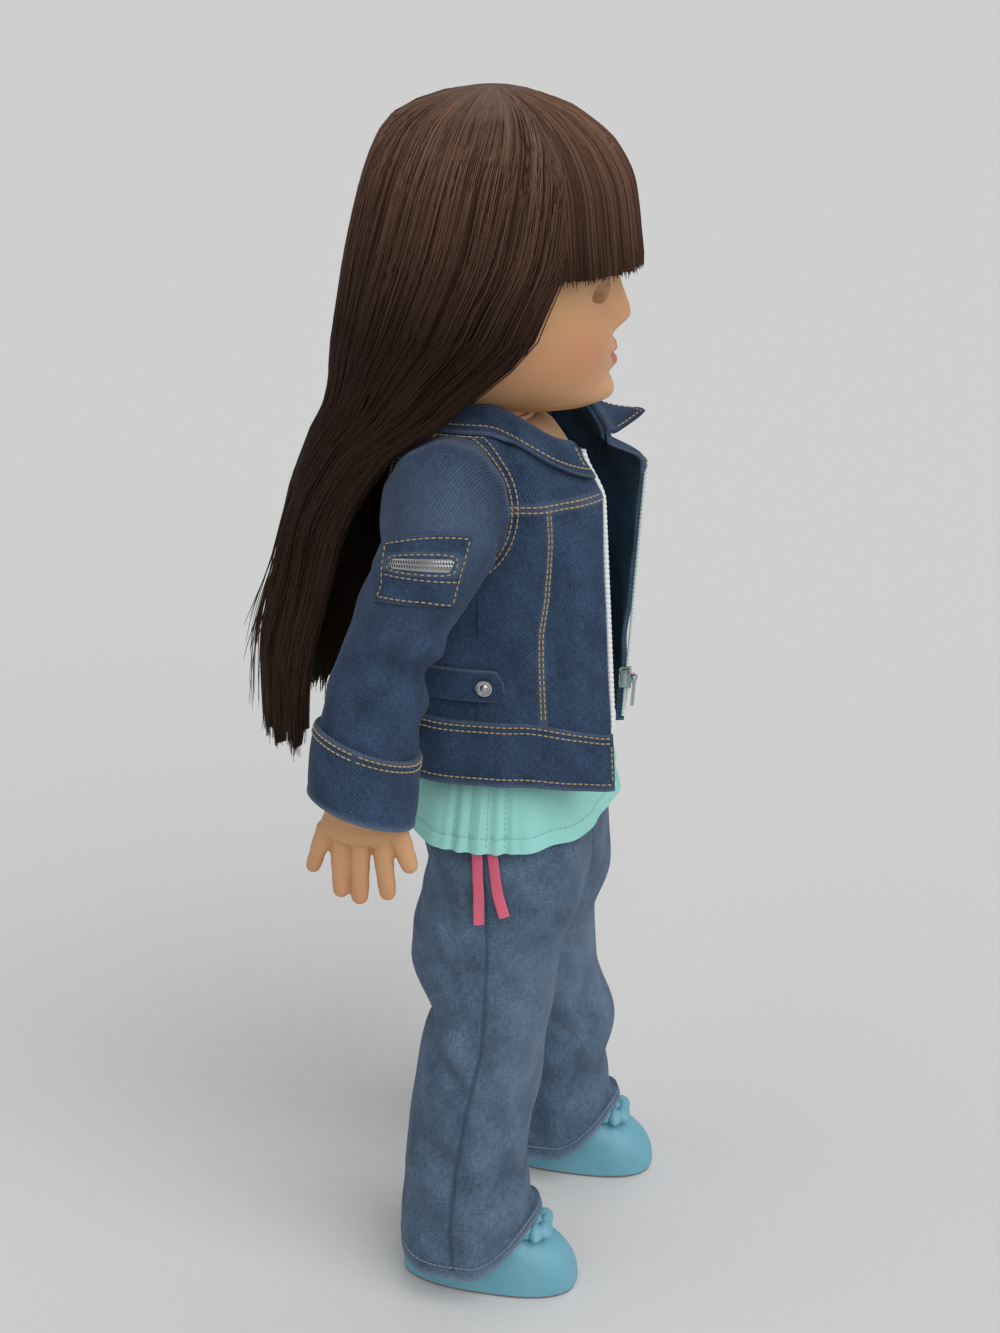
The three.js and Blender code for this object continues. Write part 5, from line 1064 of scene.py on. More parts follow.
def arm_stations(count=240):
    """Places along an arm from the shoulder to the wrist: middle, outward and across directions, radius."""
    s = np.linspace(0, 2, count)
    angle = FAN_END * np.minimum(s, 1)
    reach = mix(ARMHOLE_RADIUS, 19.5, ramp(np.minimum(s, 1), 0, 1))
    fan = FAN_PIVOT + spot(np.sin(angle), 0, np.cos(angle)) * (reach + 1.5)[:, None]
    end = FAN_PIVOT + np.array([math.sin(FAN_END), 0, math.cos(FAN_END)]) * 21.0
    place = np.where((s > 1)[:, None], mix(end, ARM_END, np.clip(s - 1, 0, 1)[:, None]), fan)
    place[:, 1] += ELBOW_BACK * np.sin(PI * np.clip((s - 0.6) / 1.4, 0, 1))
    down = unit(ARM_END - end)
    along = unit(mix(spot(np.cos(angle), 0, -np.sin(angle)), down, ramp(s, 0.4, 1.15)[:, None]))
    across = unit(np.array([0, 1.0, 0]) - along * along[:, 1:2])
    outward = np.cross(along, across)
    return s, place, outward, across, reach


STATIONS = arm_stations()
CUFF_START = 2 - CUFF_LENGTH / np.linalg.norm(STATIONS[1][120] - ARM_END)


def arm_point(side, s, angle, radius):
    """A point round an arm: s runs 0 at the shoulder, 1 past the sleeve head, 2 at the wrist."""
    table = STATIONS[0]
    place, outward, across = (np.stack([np.interp(s, table, rows[:, k]) for k in range(3)], -1)
                              for rows in STATIONS[1:4])
    around = outward * np.cos(angle)[..., None] + across * np.sin(angle)[..., None]
    found = place + around * radius[..., None]
    found[..., 0] *= side
    return found


def sleeve_radius(s):
    """Radius of the sleeve along the arm."""
    reach = np.interp(s, STATIONS[0], STATIONS[4])
    return reach - 3.2 * bell(s - 1.25, 0.3) - 0.6 * ramp(s, 1.1, CUFF_START)


def armhole_ease(forward, extra=0.0):
    """Radius of the sleeve seam: the armhole is cut in at the front, where forward is 1."""
    return ARMHOLE_RADIUS - ARMHOLE_CUT * np.maximum(0, forward) ** 1.5 + extra


def sleeve_point(side, s, angle, lift):
    """A point of a sleeve's cloth with its folds."""
    s, angle, lift = np.broadcast_arrays(s, angle, lift)
    fold = size("fold") * ramp(s, 0.7, 1.1) * (1 - 0.6 * ramp(s, 1.6, 1.75))
    crease = np.sin(2 * PI * (s - 1) * 4.6 + 1.7 * np.cos(angle + 0.8)) * bell(s - 1.36, 0.2)
    crease = crease * (0.6 - 0.4 * np.sin(angle))
    soft = ripple(51, 20, 20 * np.cos(angle), 20 * np.sin(angle), 75 * s)
    ease = np.sin(11 * angle) * bell(s - 0.08, 0.09) * 0.35
    seam = 0.5 * bell(s - 0.03, 0.04)
    cut = ARMHOLE_CUT * np.maximum(0, -np.sin(angle)) ** 1.5 * (1 - ramp(s, 0.3, 1))
    elbow = 2.2 * bell(s - 1.3, 0.05) * ramp(-np.sin(angle), -0.2, 1)
    folded = fold * (1.5 * crease + 0.55 * soft) - elbow
    return arm_point(side, s, angle, sleeve_radius(s) + lift + folded + ease + seam - cut)


def capsule(sewing, start_point, end_point, start_radius, end_radius):
    """A round-ended digit between two points."""
    way = end_point - start_point
    length = np.linalg.norm(way)
    way = way / length
    side = unit(np.cross(way, [1.0, 0.2, 0.1]))
    up = np.cross(way, side)
    share = np.linspace(0, 1, 16)
    run = np.concatenate([-start_radius * np.cos(np.linspace(0.15, PI / 2, 5))[:-1], share * length,
                          length + end_radius * np.sin(np.linspace(0, PI / 2 - 0.15, 5))[1:]])
    radius = np.concatenate([start_radius * np.sin(np.linspace(0.15, PI / 2, 5))[:-1],
                             mix(start_radius, end_radius, share) * (1 + 0.025 * np.cos(share * 9)),
                             end_radius * np.cos(np.linspace(0, PI / 2 - 0.15, 5))[1:]])
    turn = circle(16)
    ring = np.cos(turn)[:, None] * side + np.sin(turn)[:, None] * up
    sewing.add(*tube(start_point + way * run[:, None, None] + ring * radius[:, None, None]))


# Little finger to index: y at the knuckle, y and drop at the tip, and thickness
FINGERS = ((12.0, 17.4, 19.0, 3.1), (6.6, 7.6, 27.5, 3.45), (-0.6, 0.9, 29.5, 3.55), (-8.0, -9.2, 27.0, 3.45))


# Voxels that fuse the hand's digits with its palm
FUSE_VOXEL = 0.6


def make_arms():
    """Vinyl arms and hands, fused into one smooth skin each."""
    for side, name in SIDES:
        arm = Sewing()
        s, angle = lattice(np.linspace(0.05, 2.06, 70), circle(40))
        clamped = np.minimum(s, 2.0)
        radius = np.where(s <= 1, mix(15.5, 14, s), mix(14, 9.6, ramp(s, 1, 1.9)))
        rings = arm_point(side, clamped, angle, radius)
        rings[..., 2] -= (s - clamped) * 78
        arm.add(*tube(rings))
        palm = ARM_END * [side, 1, 1] + [side * 1.5, 0.5, -9]
        for drop, half in ((7, (7.2, 12.2, 9)), (3, (6.9, 13.4, 8)), (0, (6.2, 13.2, 5.4))):
            tilt, spin = lattice(np.linspace(0.08, PI - 0.08, 20), circle(28))
            ball = spot(np.sin(tilt) * np.cos(spin), np.sin(tilt) * np.sin(spin), np.cos(tilt)) * half
            arm.add(*tube(ball + palm + [0, 0, drop]))
        tips = []
        for base_y, tip_y, drop, thick in FINGERS:
            base = palm + [0, base_y, 0]
            tip = palm + [-side * 1.5, tip_y, 3.4 - drop]
            bend = mix(base, tip, 0.5) + [side * 0.7, 0, 0]
            capsule(arm, base, bend, thick + 0.3, thick)
            capsule(arm, bend, tip, thick, thick - 0.4)
            tips.append(tip)
        knuckle = palm + [-side * 1.0, -14.8, -4]
        capsule(arm, palm + [-side * 1.0, -10.5, 7], knuckle, 4.6, 3.8)
        capsule(arm, knuckle, palm + [-side * 1.0, -17.4, -12], 3.8, 3.1)
        made = arm.piece(name + "_arm_skin", FINISH["skin"], 180)
        shaper = made.modifiers.new("fuse", "REMESH")
        shaper.mode = "VOXEL"
        shaper.voxel_size = FUSE_VOXEL * MM
        smoother = made.modifiers.new("soften", "SMOOTH")
        smoother.factor = 0.5
        smoother.iterations = 4
        bpy.context.view_layer.update()
        shown = made.evaluated_get(bpy.context.evaluated_depsgraph_get())
        fused = bpy.data.meshes.new_from_object(shown)
        made.modifiers.clear()
        made.data = fused
        fused.shade_smooth()
        fused.materials.clear()
        fused.materials.append(FINISH["skin"])
        place = np.array([v.co for v in fused.vertices]) / MM - SHIFT
        near = np.linalg.norm(place[:, None] - np.array(tips)[None], axis=2).min(1)
        layer = fused.attributes.new("blush", "FLOAT", "POINT")
        layer.data.foreach_set("value", (0.35 * bell(near, 5)).astype(np.float32))
        settle(made, name + "_arm_body", "vinyl", name + "_arm")


# Tee and ties
def hem_point(angle, z, lift):
    """A point of the tee's flared hem, with a gathered casing at each side."""
    top = node_box("tee_hem")[1][2]
    down = np.clip((top - z) / (top - TEE_HEM_Z), 0, 1)
    width = float(TORSO_WIDTH(top)) + 5 + 10.2 * down
    depth = float(TORSO_DEPTH(top)) + 4 + 5.4 * down
    turn = angle + PI / 2
    soft = ripple(61, 17, 50 * np.cos(angle), 42 * np.sin(angle))
    fold = 1.1 * down * np.cos(10 * turn) + 0.9 * down * soft
    side_turn = np.abs(np.sin(angle)) * 42
    casing = (0.5 + 0.5 * down) * 0.7 * np.cos(side_turn * 1.15) * (1 - ramp(side_turn, 8, 14))
    fold = fold * ramp(side_turn, 4, 16) + casing
    x, y = oval(angle, width + fold + lift, depth + fold + lift, depth + fold + lift, TORSO_POWER)
    return spot(x, y, z + 0.8 * down * ripple(62, 40, 50 * np.cos(angle), 42 * np.sin(angle)))


def make_tee():
    """Jersey tee: a body with a scooped neck, and a flared hem whose parts follow the torso and each leg."""
    share, angle = lattice(np.linspace(0, 1, 60), circle(120))
    scoop = TEE_SCOOP * ramp(-np.sin(angle), -0.3, 0.9) + 6 * bell(np.cos(angle), 0.2) * (np.sin(angle) < 0)
    z = mix(TEE_LOW_Z, TEE_NECK_Z - scoop, share)
    fold = 0.4 * ripple(63, 26, 45 * np.cos(angle), 45 * np.sin(angle), 0.5 * z)
    rib = 0.5 * ramp(share, 0.955, 0.965)
    skin = panel(torso_point(angle, z, 4.7 + fold + rib), torso_point(angle, z, 3.7 + fold), wrap=True)
    made = settle(sew("tee_body_cloth", "tee", skin), "torso", "tee", "tee_body")
    low, high = node_box("tee_hem")
    thread = 2.0, 1.6, 0.2
    down = np.linspace(high[2], TEE_HEM_Z + 0.6, 60)
    parts = ("back", 0, PI, 161), ("right", -PI, -PI / 2, 81), ("left", -PI / 2, 0, 81)
    for name, first, last, columns in parts:
        z, angle = lattice(np.linspace(high[2] + 6, low[2], 40), np.linspace(first, last, columns))
        seam = 0.35 * bell(z - TEE_HEM_Z - 5, 0.5)
        skin = panel(hem_point(angle, z, -seam), hem_point(angle, z, -1.2))
        cloth = sew("tee_hem_" + name, "tee", skin)
        sewn = Sewing()
        topstitch(sewn, hem_point, np.linspace(first, last, 300), TEE_HEM_Z + 5.0, -0.25, thread)
        for turn in (-PI + 0.05, -PI + 0.19, PI - 0.05, PI - 0.19, -0.05, -0.19, 0.05, 0.19):
            if first <= turn <= last:
                topstitch(sewn, hem_point, turn, down, 0.0, thread)
        rows = sewn.piece("tee_stitches_" + name, FINISH["tee_thread"])
        if name == "back":
            settle(cloth, "torso", "tee", "tee_hem")
            settle(rows, "torso", "tee")
        else:
            side = -1 if name == "right" else 1
            for made in (cloth, rows):
                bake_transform(made, "torso", name + "_leg_body", world((side * 30, -26, 210)),
                         world((side * 39, -38, 196)))
                settle(made, None, "tee")


def make_ties():
    """Two ribbon tails that hang from the tee's right side."""
    # Points of each route: how far in from the outermost x, y, and rise above the hip joints
    routes = {
        "front": ((2.7, -1.5, 15), (1.2, -2.2, 9), (.4, -3, 4), (.1, -3.7, -1.5), (0, -4.5, -7),
                  (0, -5.7, -11.5), (0, -7, -16)),
        "rear": ((2.7, 3.5, 15), (1.2, 3.3, 9), (.4, 3, 4), (.1, 2.8, -2), (0, 2.5, -8), (0, 2.5, -14),
                 (0, 2.5, -20)),
    }
    for name, route in routes.items():
        outer_x = node_box("tie_tail_" + name)[0][0] + 0.5
        path = np.array([(outer_x + inward, y - 2.4, HIP_Z + rise) for inward, y, rise in route])
        run = np.linspace(0, resample(path, [0.0])[1], 33)
        path = resample(path, run)[0]
        for _ in range(3):
            path[1:-1] = (path[:-2] + 2 * path[1:-1] + path[2:]) / 4
        share = np.linspace(0, 1, len(path))
        way = unit(np.gradient(path, axis=0))
        twist = 0.35 * np.sin(5 * share) * share
        across = unit(spot(np.sin(twist), np.cos(twist), 0 * twist))
        across = unit(across - way * np.sum(across * way, 1, keepdims=True))
        thick = np.cross(way, across)
        turn = circle(24)
        wave = np.sign(np.cos(turn)) * np.abs(np.cos(turn)) ** 0.5
        ring = across[:, None] * (2.0 * wave)[:, None] + thick[:, None] * (0.45 * np.sin(turn))[:, None]
        made = sew("ribbon_tie_" + name, "ribbon", tube(path[:, None] + ring))
        settle(made, "torso", "tie", "tie_tail_" + name)
        length = np.linalg.norm(np.diff(path, axis=0), axis=1).sum() * MM
        world(path[0])
        [world(p) for p in path]


# Jeans
JEANS_WIDTH = profile((14, 27), (40, 25.6), (64, 24.6), (108, 24.5), (150, 23.7), (185, 25), (200, 22),
                      (214, 18))
JEANS_FRONT = profile((14, 26), (27, 23.4), (40, 21.6), (54, 20.4), (67, 20.8), (83, 22.8), (112, 24.2),
                      (150, 28.5), (174, 34), (186, 34), (200, 30), (214, 26))
JEANS_BACK = profile((14, 30), (66, 26.8), (101, 24.6), (118, 20.8), (140, 30.3), (151, 30.8), (165, 27),
                     (178, 24), (195, 27), (205, 27), (214, 26))
JEANS_TOP_Z = 214.0
# Where the side seam runs: degrees behind the middle of the leg's outer side
SEAM_BACK = profile((14, 8), (50, 9), (88, 1), (119, -7), (164, -5), (190, 0))


def jeans_point(side, angle, z, lift):
    """A point round one half of the jeans: a round tube up to the crotch, then half of the hips."""
    x, y = leg_middle(side, z)
    c, s = np.cos(angle), np.sin(angle)
    outward = side * c > 0
    width = np.where(outward, JEANS_WIDTH(z), mix(JEANS_WIDTH(z), LEG_X - 0.2, ramp(z, 150, 163))) + lift
    power = np.where(outward, 2.1, mix(2.1, 12, ramp(z, 150, 178)))
    front = JEANS_FRONT(z) + (5 * bell(z - 72, 10) + 6 * bell(z - 148, 12) if side > 0 else 0)
    depth = np.where(s < 0, front, JEANS_BACK(z)) + lift
    radius = ((np.abs(c) / width) ** power + (np.abs(s) / depth) ** power) ** (-1 / power)
    hem = 1 - ramp(z, JEANS_HEM_Z, JEANS_HEM_Z + 22)
    fold = size("fold")
    knee_line, thigh_line = z - 92 - 27 * s, z - 128 - 46 * s
    knee = bell(knee_line + 8, 4.5) - 1.6 * bell(knee_line, 3.2) + 0.7 * bell(knee_line - 9, 5)
    thigh = bell(thigh_line, 4.0) - 0.8 * bell(thigh_line + 9, 4.5)
    creased = knee * ramp(s, -0.8, 0.5) + thigh * ramp(s, -0.2, 0.7) * ramp(side * c, -0.3, 0.4)
    soft = ripple(71 + side, 26, 26 * c, 28 * s, z) * ramp(z, 20, 40)
    gathered = np.sin(z / 4.6 + 2 * np.sin(angle)) * bell(z - 44, 14) * 0.45
    radius = radius + fold * (creased + gathered + 0.8 * soft) + 0.9 * np.cos(5 * angle) * hem
    rise = 15 * hem * ramp(-s, 0.1, 0.95)
    return spot(x + radius * c, y + radius * s, z + rise)


def make_jeans():
    """Flared jeans in two halves, each with its side seam and a stitched hem."""
    for side, name in SIDES:
        surface = partial(jeans_point, side)
        z, angle = lattice(np.linspace(JEANS_HEM_Z, JEANS_TOP_Z, 150), circle(220))
        outside = (0.0 if side > 0 else PI) + side * np.radians(SEAM_BACK(z))
        away = np.angle(np.exp(1j * (angle - outside))) * 25
        seam = 0.5 * bell(away + 1.2, 1.1) - 0.5 * bell(away - 0.3, 0.5)
        fell = 0.3 * bell(z - JEANS_HEM_Z - 5.5, 0.7)
        wear = 0.55 * bell(z - JEANS_HEM_Z, 1.2) + 0.2 * bell(z - 112, 26) * ramp(-np.sin(angle), 0, 1)
        # painted shade: a dark line down the side seam's groove, which the mesh is too coarse to shade
        crease = 0.75 * bell(away, 0.55) * (z > JEANS_HEM_Z + 3)
        skin = panel(surface(angle, z, seam - fell), surface(angle, z, -1.6), wrap=True)
        cloth = sew(name + "_jeans", "jeans", skin, wear=outer_only(wear, 0.2), crease=outer_only(crease))
        sewn = Sewing()
        thread = size("stitch_pitch"), 2.1, 0.26
        topstitch(sewn, surface, np.linspace(0, 2 * PI, 240), JEANS_HEM_Z + 5.5, 0.05, thread)
        rows = sewn.piece(name + "_jeans_stitches", FINISH["jeans_thread"])
        for made in (cloth, rows):
            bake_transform(made, "torso", name + "_leg_body", world((side * LEG_X, 0, 212)),
                     world((side * LEG_X, 0, 158)))
        nodes = (name + "_jeans_leg", "jeans_seat") if side < 0 else (name + "_jeans_leg",)
        settle(cloth, None, "jeans", *nodes)
        settle(rows, None, "jeans")


# Shoes
SHOE_LENGTH, SHOE_HALF_WIDTH = 70.0, 17.0
SOLE_TOP = node_box("right_shoe_sole")[1][2]
SHOE_POWER = 2.5


def sole_edge(turn, grow):
    """Outline of the sole round the foot's middle; turn 0 is the toe, which is wider than the heel."""
    c, s = np.cos(turn), np.sin(turn)
    width = SHOE_HALF_WIDTH * mix(0.84, 1.0, (1 + c) / 2) + grow
    bend = 2 / SHOE_POWER
    return width * np.sign(s) * np.abs(s) ** bend, -(SHOE_LENGTH / 2 + grow) * np.sign(c) * np.abs(c) ** bend


def shoe_point(side, turn, v, lift):
    """A point of the shoe upper: v runs from the sole to the rim of the throat."""
    fx, fy = leg_middle(side, 0.0)
    bx, by = sole_edge(turn, lift + 0.1)
    tx, ty = 12.3 * np.sin(turn), 11.0 - 17.6 * np.cos(turn)
    rim_z = mix(21.5, 24.0, (1 + np.cos(turn)) / 2)
    run = 1 - np.cos(v * PI / 2)
    swell = np.sin(v * PI / 2)
    gather = 0.55 * np.cos(26 * turn) * bell(turn, 0.75) * v ** 2
    gather = gather + 0.25 * ripple(81, 9, 17 * np.sin(turn), 35 * np.cos(turn), 10 * v)
    z = 1.3 + (rim_z - 1.1 + lift) * swell ** 0.9 + gather * v
    return spot(fx + mix(bx, tx, run), fy + FOOT_Y + mix(by, ty, run), z)


def make_shoes():
    """Soft flats: a gathered upper with a bound rim, a flat sole, and a bow of ruffled loops round a knot."""
    for side, name in SIDES:
        body = name + "_leg_body"
        fx, fy = leg_middle(side, 0.0)
        fy = fy + FOOT_Y
        turn = np.linspace(-PI, PI, 161)[:-1]
        v, turns = lattice(np.linspace(0, 1, 40), turn)
        upper = panel(shoe_point(side, turns, v, 0.0), shoe_point(side, turns, v, -1.5), wrap=True)
        ring = circle(12)[:, None, None]
        outward = unit(spot(np.sin(turn), -np.cos(turn), 0))
        cord = 0.95 * (np.cos(ring) * outward + np.sin(ring) * np.array([0, 0, 1.0]))
        binding = loop(shoe_point(side, turn, 1.0, 0.0) + cord)
        settle(sew(name + "_shoe", "shoe", upper, binding), body, "shoe", name + "_shoe_upper")
        levels = ((0.0, -0.4), (0.4, 0.1), (SOLE_TOP - 0.5, 0.3), (SOLE_TOP, -0.1), (SOLE_TOP + 0.3, -1.2))
        rings = []
        for z, grow in levels:
            x, y = sole_edge(turn, grow - 0.3)
            rings.append(spot(fx + x, fy + y, z))
        made = sew(name + "_sole", "sole", tube(np.stack(rings)), sharp=40)
        settle(made, body, "sole", name + "_shoe_sole")
        middle = np.array([fx, fy - 18.5, 22.0])
        ruffles = []
        for k, spin in enumerate(np.radians([100, 145, 190, 235, 280, 325, 10, 55])):
            run, turn = lattice(np.linspace(0, 1, 24), circle(28))
            along = run * (11.0 if abs(math.cos(spin)) > 0.5 else 8.6)
            full = np.sin(PI * np.clip(run * 0.94 + 0.06, 0, 1)) ** 0.6
            full = full * (1 + 0.12 * np.cos(6 * turn + k) * (1 - run))
            wide, tall = 4.8 * full * np.cos(turn), 3.3 * full * np.sin(turn)
            x = along * math.cos(spin) - wide * math.sin(spin)
            y = along * math.sin(spin) + wide * math.cos(spin)
            ruffles.append(tube(middle + spot(x, y * 0.75, 1.0 + tall + 2.2 * np.sin(PI * run * 0.8))))
        tilt, spin = lattice(np.linspace(0.1, PI - 0.1, 16), circle(24))
        knot = spot(3.4 * np.sin(tilt) * np.cos(spin), 3.0 * np.sin(tilt) * np.sin(spin), 2.6 * np.cos(tilt))
        ruffles.append(tube(middle + [0, 0, 4.0] + knot * (1 + 0.08 * np.cos(7 * spin))[..., None]))
        settle(sew(name + "_bow", "shoe", *ruffles), body, "shoe", name + "_shoe_bow")


# Jacket
JACKET_WIDTH = profile((218, 57), (240, 55), (270, 51.4), (295, 49), (336, 49), (343, 44), (347, 34),
                       (350, 28))
JACKET_DEPTH = profile((218, 46), (270, 41), (295, 39.5), (320, 38), (336, 34), (347, 28.5), (350, 25.5))
JACKET_SETBACK = profile((270, 1), (320, 3), (336, 5), (347, 6))
DENIM_THICKNESS = 1.8
# The sleeve head turns in under the armhole by this much
SEAM_DEPTH = 6.0
STITCH_LENGTH, STITCH_RADIUS = 1.75, 0.28
# Each seam's two rows of stitches lie this far from its middle
SEAM_ROWS = 0.95
COLLAR_END = 6 / 7
YOKE_Z = 320.5


def jacket_point(angle, z, lift):
    """A point round the jacket's body."""
    width, depth = JACKET_WIDTH(z) + lift, JACKET_DEPTH(z) + lift
    x, y = oval(angle, width, depth, depth, JACKET_POWER)
    return spot(x, y + JACKET_SETBACK(z), z)


def neckline(side, u):
    """Height of the neck seam along one front."""
    return mix(BACK_NECK_Z, FRONT_NECK_Z[side], ramp(u, 0.05, 1))


def edge_place(side, z):
    """x and y of a jacket edge at a height; x is away from the middle on that side."""
    (hem_x, hem_y), (neck_x, neck_y), tuck, sharp = FRONT_EDGES[side]
    rise = (z - HEM_Z) / (NECK_EDGE_Z - HEM_Z)
    tucked = tuck * ramp(z, LAPEL_Z, FRONT_NECK_Z[side]) ** sharp
    return mix(hem_x, neck_x, rise), mix(hem_y, neck_y, rise) + tucked


def front_point(side, u, z, lift):
    """A point of one jacket front: u runs from the side seam to the zipper edge."""
    u, z, lift = np.broadcast_arrays(u, z, lift)
    edge_x, edge_y = edge_place(side, z)
    near = np.arcsin((edge_x / JACKET_WIDTH(z)) ** (JACKET_POWER / 2))
    found = jacket_point(-PI / 2 + side * mix(PI / 2, near, u), z, lift)
    edge = jacket_point(-PI / 2 + side * near, z, 0.0)
    pull = ramp(u, 0.2, 1)
    found[..., 1] += pull * (edge_y - edge[..., 1])
    found[..., 0] += pull * (side * edge_x - edge[..., 0])
    return found


def seam_ridge(distance, half=1.5, height=0.4):
    """A flat-felled seam: a low flat ridge between its two rows of stitches."""
    return height * (1 - ramp(np.abs(distance), half, half + 0.7))


# How far along each front its long seam lies, by height
PRINCESS_U = profile((240, .47), (256, .45), (274, .43), (290, .47), (307, .49), (321, .47))


def band_shift(u, z):
    """How far the waistband rides up; it sits higher at the side and back than at the zipper."""
    at_edge = ramp(u, 0.3, 1)
    low, high = mix(3.0, 0.8, at_edge), mix(4.5, -1.5, at_edge)
    return mix(low, high, np.clip((z - HEM_Z) / (BAND_TOP_Z - HEM_Z), 0, 1))


def front_ridge(u, z, half=1.5, height=0.4):
    """Raised seams of a front panel."""
    long_seam = seam_ridge((u - PRINCESS_U(z)) * FRONT_SPAN, half, height) * (z < YOKE_Z)
    return seam_ridge(z - YOKE_Z, half, height) + long_seam


def front_cloth(side, u, z, lift):
    """Front panel with its seams and soft folds."""
    u, z, lift = np.broadcast_arrays(u, z, lift)
    soft = 0.6 * size("fold") * ripple(91 + side, 26, FRONT_SPAN * u, 0.8 * z) * ramp(z, 240, 252)
    return front_point(side, u, z, lift + soft + front_ridge(u, z) * (lift >= 0))


def back_cloth(angle, z, lift):
    """Back panel with its yoke seam and two long seams."""
    angle, z, lift = np.broadcast_arrays(angle, z, lift)
    soft = 0.6 * size("fold") * ripple(95, 28, 60 * np.cos(angle), 0.8 * z)
    ridge = seam_ridge(z - YOKE_Z) + seam_ridge((np.abs(np.cos(angle)) - BACK_SEAM) * 55) * (z < YOKE_Z)
    return jacket_point(angle, z, lift + soft + ridge * (lift >= 0))


def band_cloth(turn, z, lift):
    """Waistband: turn runs -1 at the right zipper edge, through the back, to 1 at the left."""
    turn, z, lift = np.broadcast_arrays(turn, z, lift)
    share = np.abs(turn)
    u = np.clip((share - 0.5) * 2, 0, 1)
    z = z + band_shift(u, z)
    lift = lift + 0.5 * size("fold") * ripple(97, 30, 60 * np.cos(PI * turn), 60 * np.sin(PI * turn))
    right, left = front_point(-1, u, z, lift), front_point(1, u, z, lift)
    back = jacket_point(PI / 2 - np.sign(turn) * np.clip(share, 0, 0.5) * PI, z, lift)
    front = np.where((turn < 0)[..., None], right, left)
    return np.where((share > 0.5)[..., None], front, back)


def outside_armhole(grid):
    """True for the quads of a grid that lie outside both armholes."""
    middle = (grid[:-1, :-1] + grid[1:, 1:]) / 2
    away = np.hypot(middle[..., 1] - ARMHOLE_Y, middle[..., 2] - SHOULDER_Z)
    return (away > 18) | (np.abs(middle[..., 0]) < 38)


def make_fronts(sewn, thread):
    """Both front panels, with the stitches along their seams and armholes."""
    line = np.linspace(0.06, 0.985, 120)
    down = np.linspace(BAND_TOP_Z + 5, YOKE_Z - 2, 120)
    for side, name in SIDES:
        surface = partial(front_cloth, side)
        share, u = lattice(np.linspace(0, 1, 120), np.linspace(0, 1, 110))
        z = mix(BAND_TOP_Z - 0.6 + band_shift(u, BAND_TOP_Z), neckline(side, u), share)
        outer = surface(u, z, 0.0)
        wear = np.clip(0.22 * front_ridge(u, z, 1.9, 1) + 0.4 * ramp(u, 0.985, 1), 0, 1)
        skin = panel(outer, surface(u, z, -DENIM_THICKNESS), keep=outside_armhole(outer))
        made = sew(name + "_front_panel", "denim", skin, wear=outer_only(wear))
        settle(made, "torso", "denim", f"jacket_{name}_front")
        for offset in (-SEAM_ROWS, SEAM_ROWS):
            topstitch(sewn, surface, line, YOKE_Z + offset, 0.1, thread)
            topstitch(sewn, surface, PRINCESS_U(down) + offset / FRONT_SPAN, down, 0.1, thread)
        for extra in (0.9, 2.8):
            make_armhole_row(sewn, side, extra, thread)


def make_back(sewn, thread):
    """Back panel, with the stitches along its yoke and its two long seams."""
    z, angle = lattice(np.linspace(BAND_TOP_Z + 3.9, BACK_NECK_Z, 110), np.linspace(0, PI, 181))
    outer = back_cloth(angle, z, 0.0)
    wear = np.clip(0.22 * seam_ridge(z - YOKE_Z, 1.9, 1), 0, 1)
    skin = panel(outer, back_cloth(angle, z, -DENIM_THICKNESS), keep=outside_armhole(outer))
    made = sew("jacket_back_panel", "denim", skin, wear=outer_only(wear))
    settle(made, "torso", "denim", "jacket_back")
    line = np.linspace(0.08 * PI, 0.92 * PI, 200)
    down = np.linspace(BAND_TOP_Z + 5.5, YOKE_Z - 2, 120)
    for offset in (-SEAM_ROWS, SEAM_ROWS):
        topstitch(sewn, back_cloth, line, YOKE_Z + offset, 0.1, thread)
        for way in (-1, 1):
            topstitch(sewn, back_cloth, math.acos(way * BACK_SEAM) + offset / 52, down, 0.1, thread)


def make_band(sewn, thread):
    """Waistband, with rows of stitches along both edges and at its ends."""
    around = np.linspace(-1, 1, 421)
    z, turn = lattice(np.linspace(BAND_TOP_Z, HEM_Z, 40), around)
    puff = 0.7 + 0.25 * bell(z - HEM_Z - 10, 6) - 0.25 * bell(z - HEM_Z - 2.6, 0.5)
    wear = 0.4 * bell(z - HEM_Z, 0.8) + 0.3 * bell(z - BAND_TOP_Z, 0.8)
    skin = panel(band_cloth(turn, z, puff), band_cloth(turn, z, -2.4))
    made = settle(sew("waistband", "denim", skin, wear=outer_only(wear)), "torso", "denim", "jacket_band")
    for height, lift in ((BAND_TOP_Z - 1.4, 0.75), (BAND_TOP_Z - 3.3, 0.8), (HEM_Z + 2.6, 0.6)):
        topstitch(sewn, band_cloth, around * 0.99, height, lift, thread)
    for way in (-0.985, 0.985):
        topstitch(sewn, band_cloth, way, np.linspace(BAND_TOP_Z - 4, HEM_Z + 3, 40), 0.85, thread)


def make_jacket():
    """The jacket's body: fronts, back, waistband and collar, with their topstitching as one piece."""
    sewn = Sewing()
    thread = size("stitch_pitch"), STITCH_LENGTH, STITCH_RADIUS
    for make in (make_fronts, make_back, make_band, make_collar):
        make(sewn, thread)
    settle(sewn.piece("jacket_stitches", FINISH["thread"]), "torso", "denim")


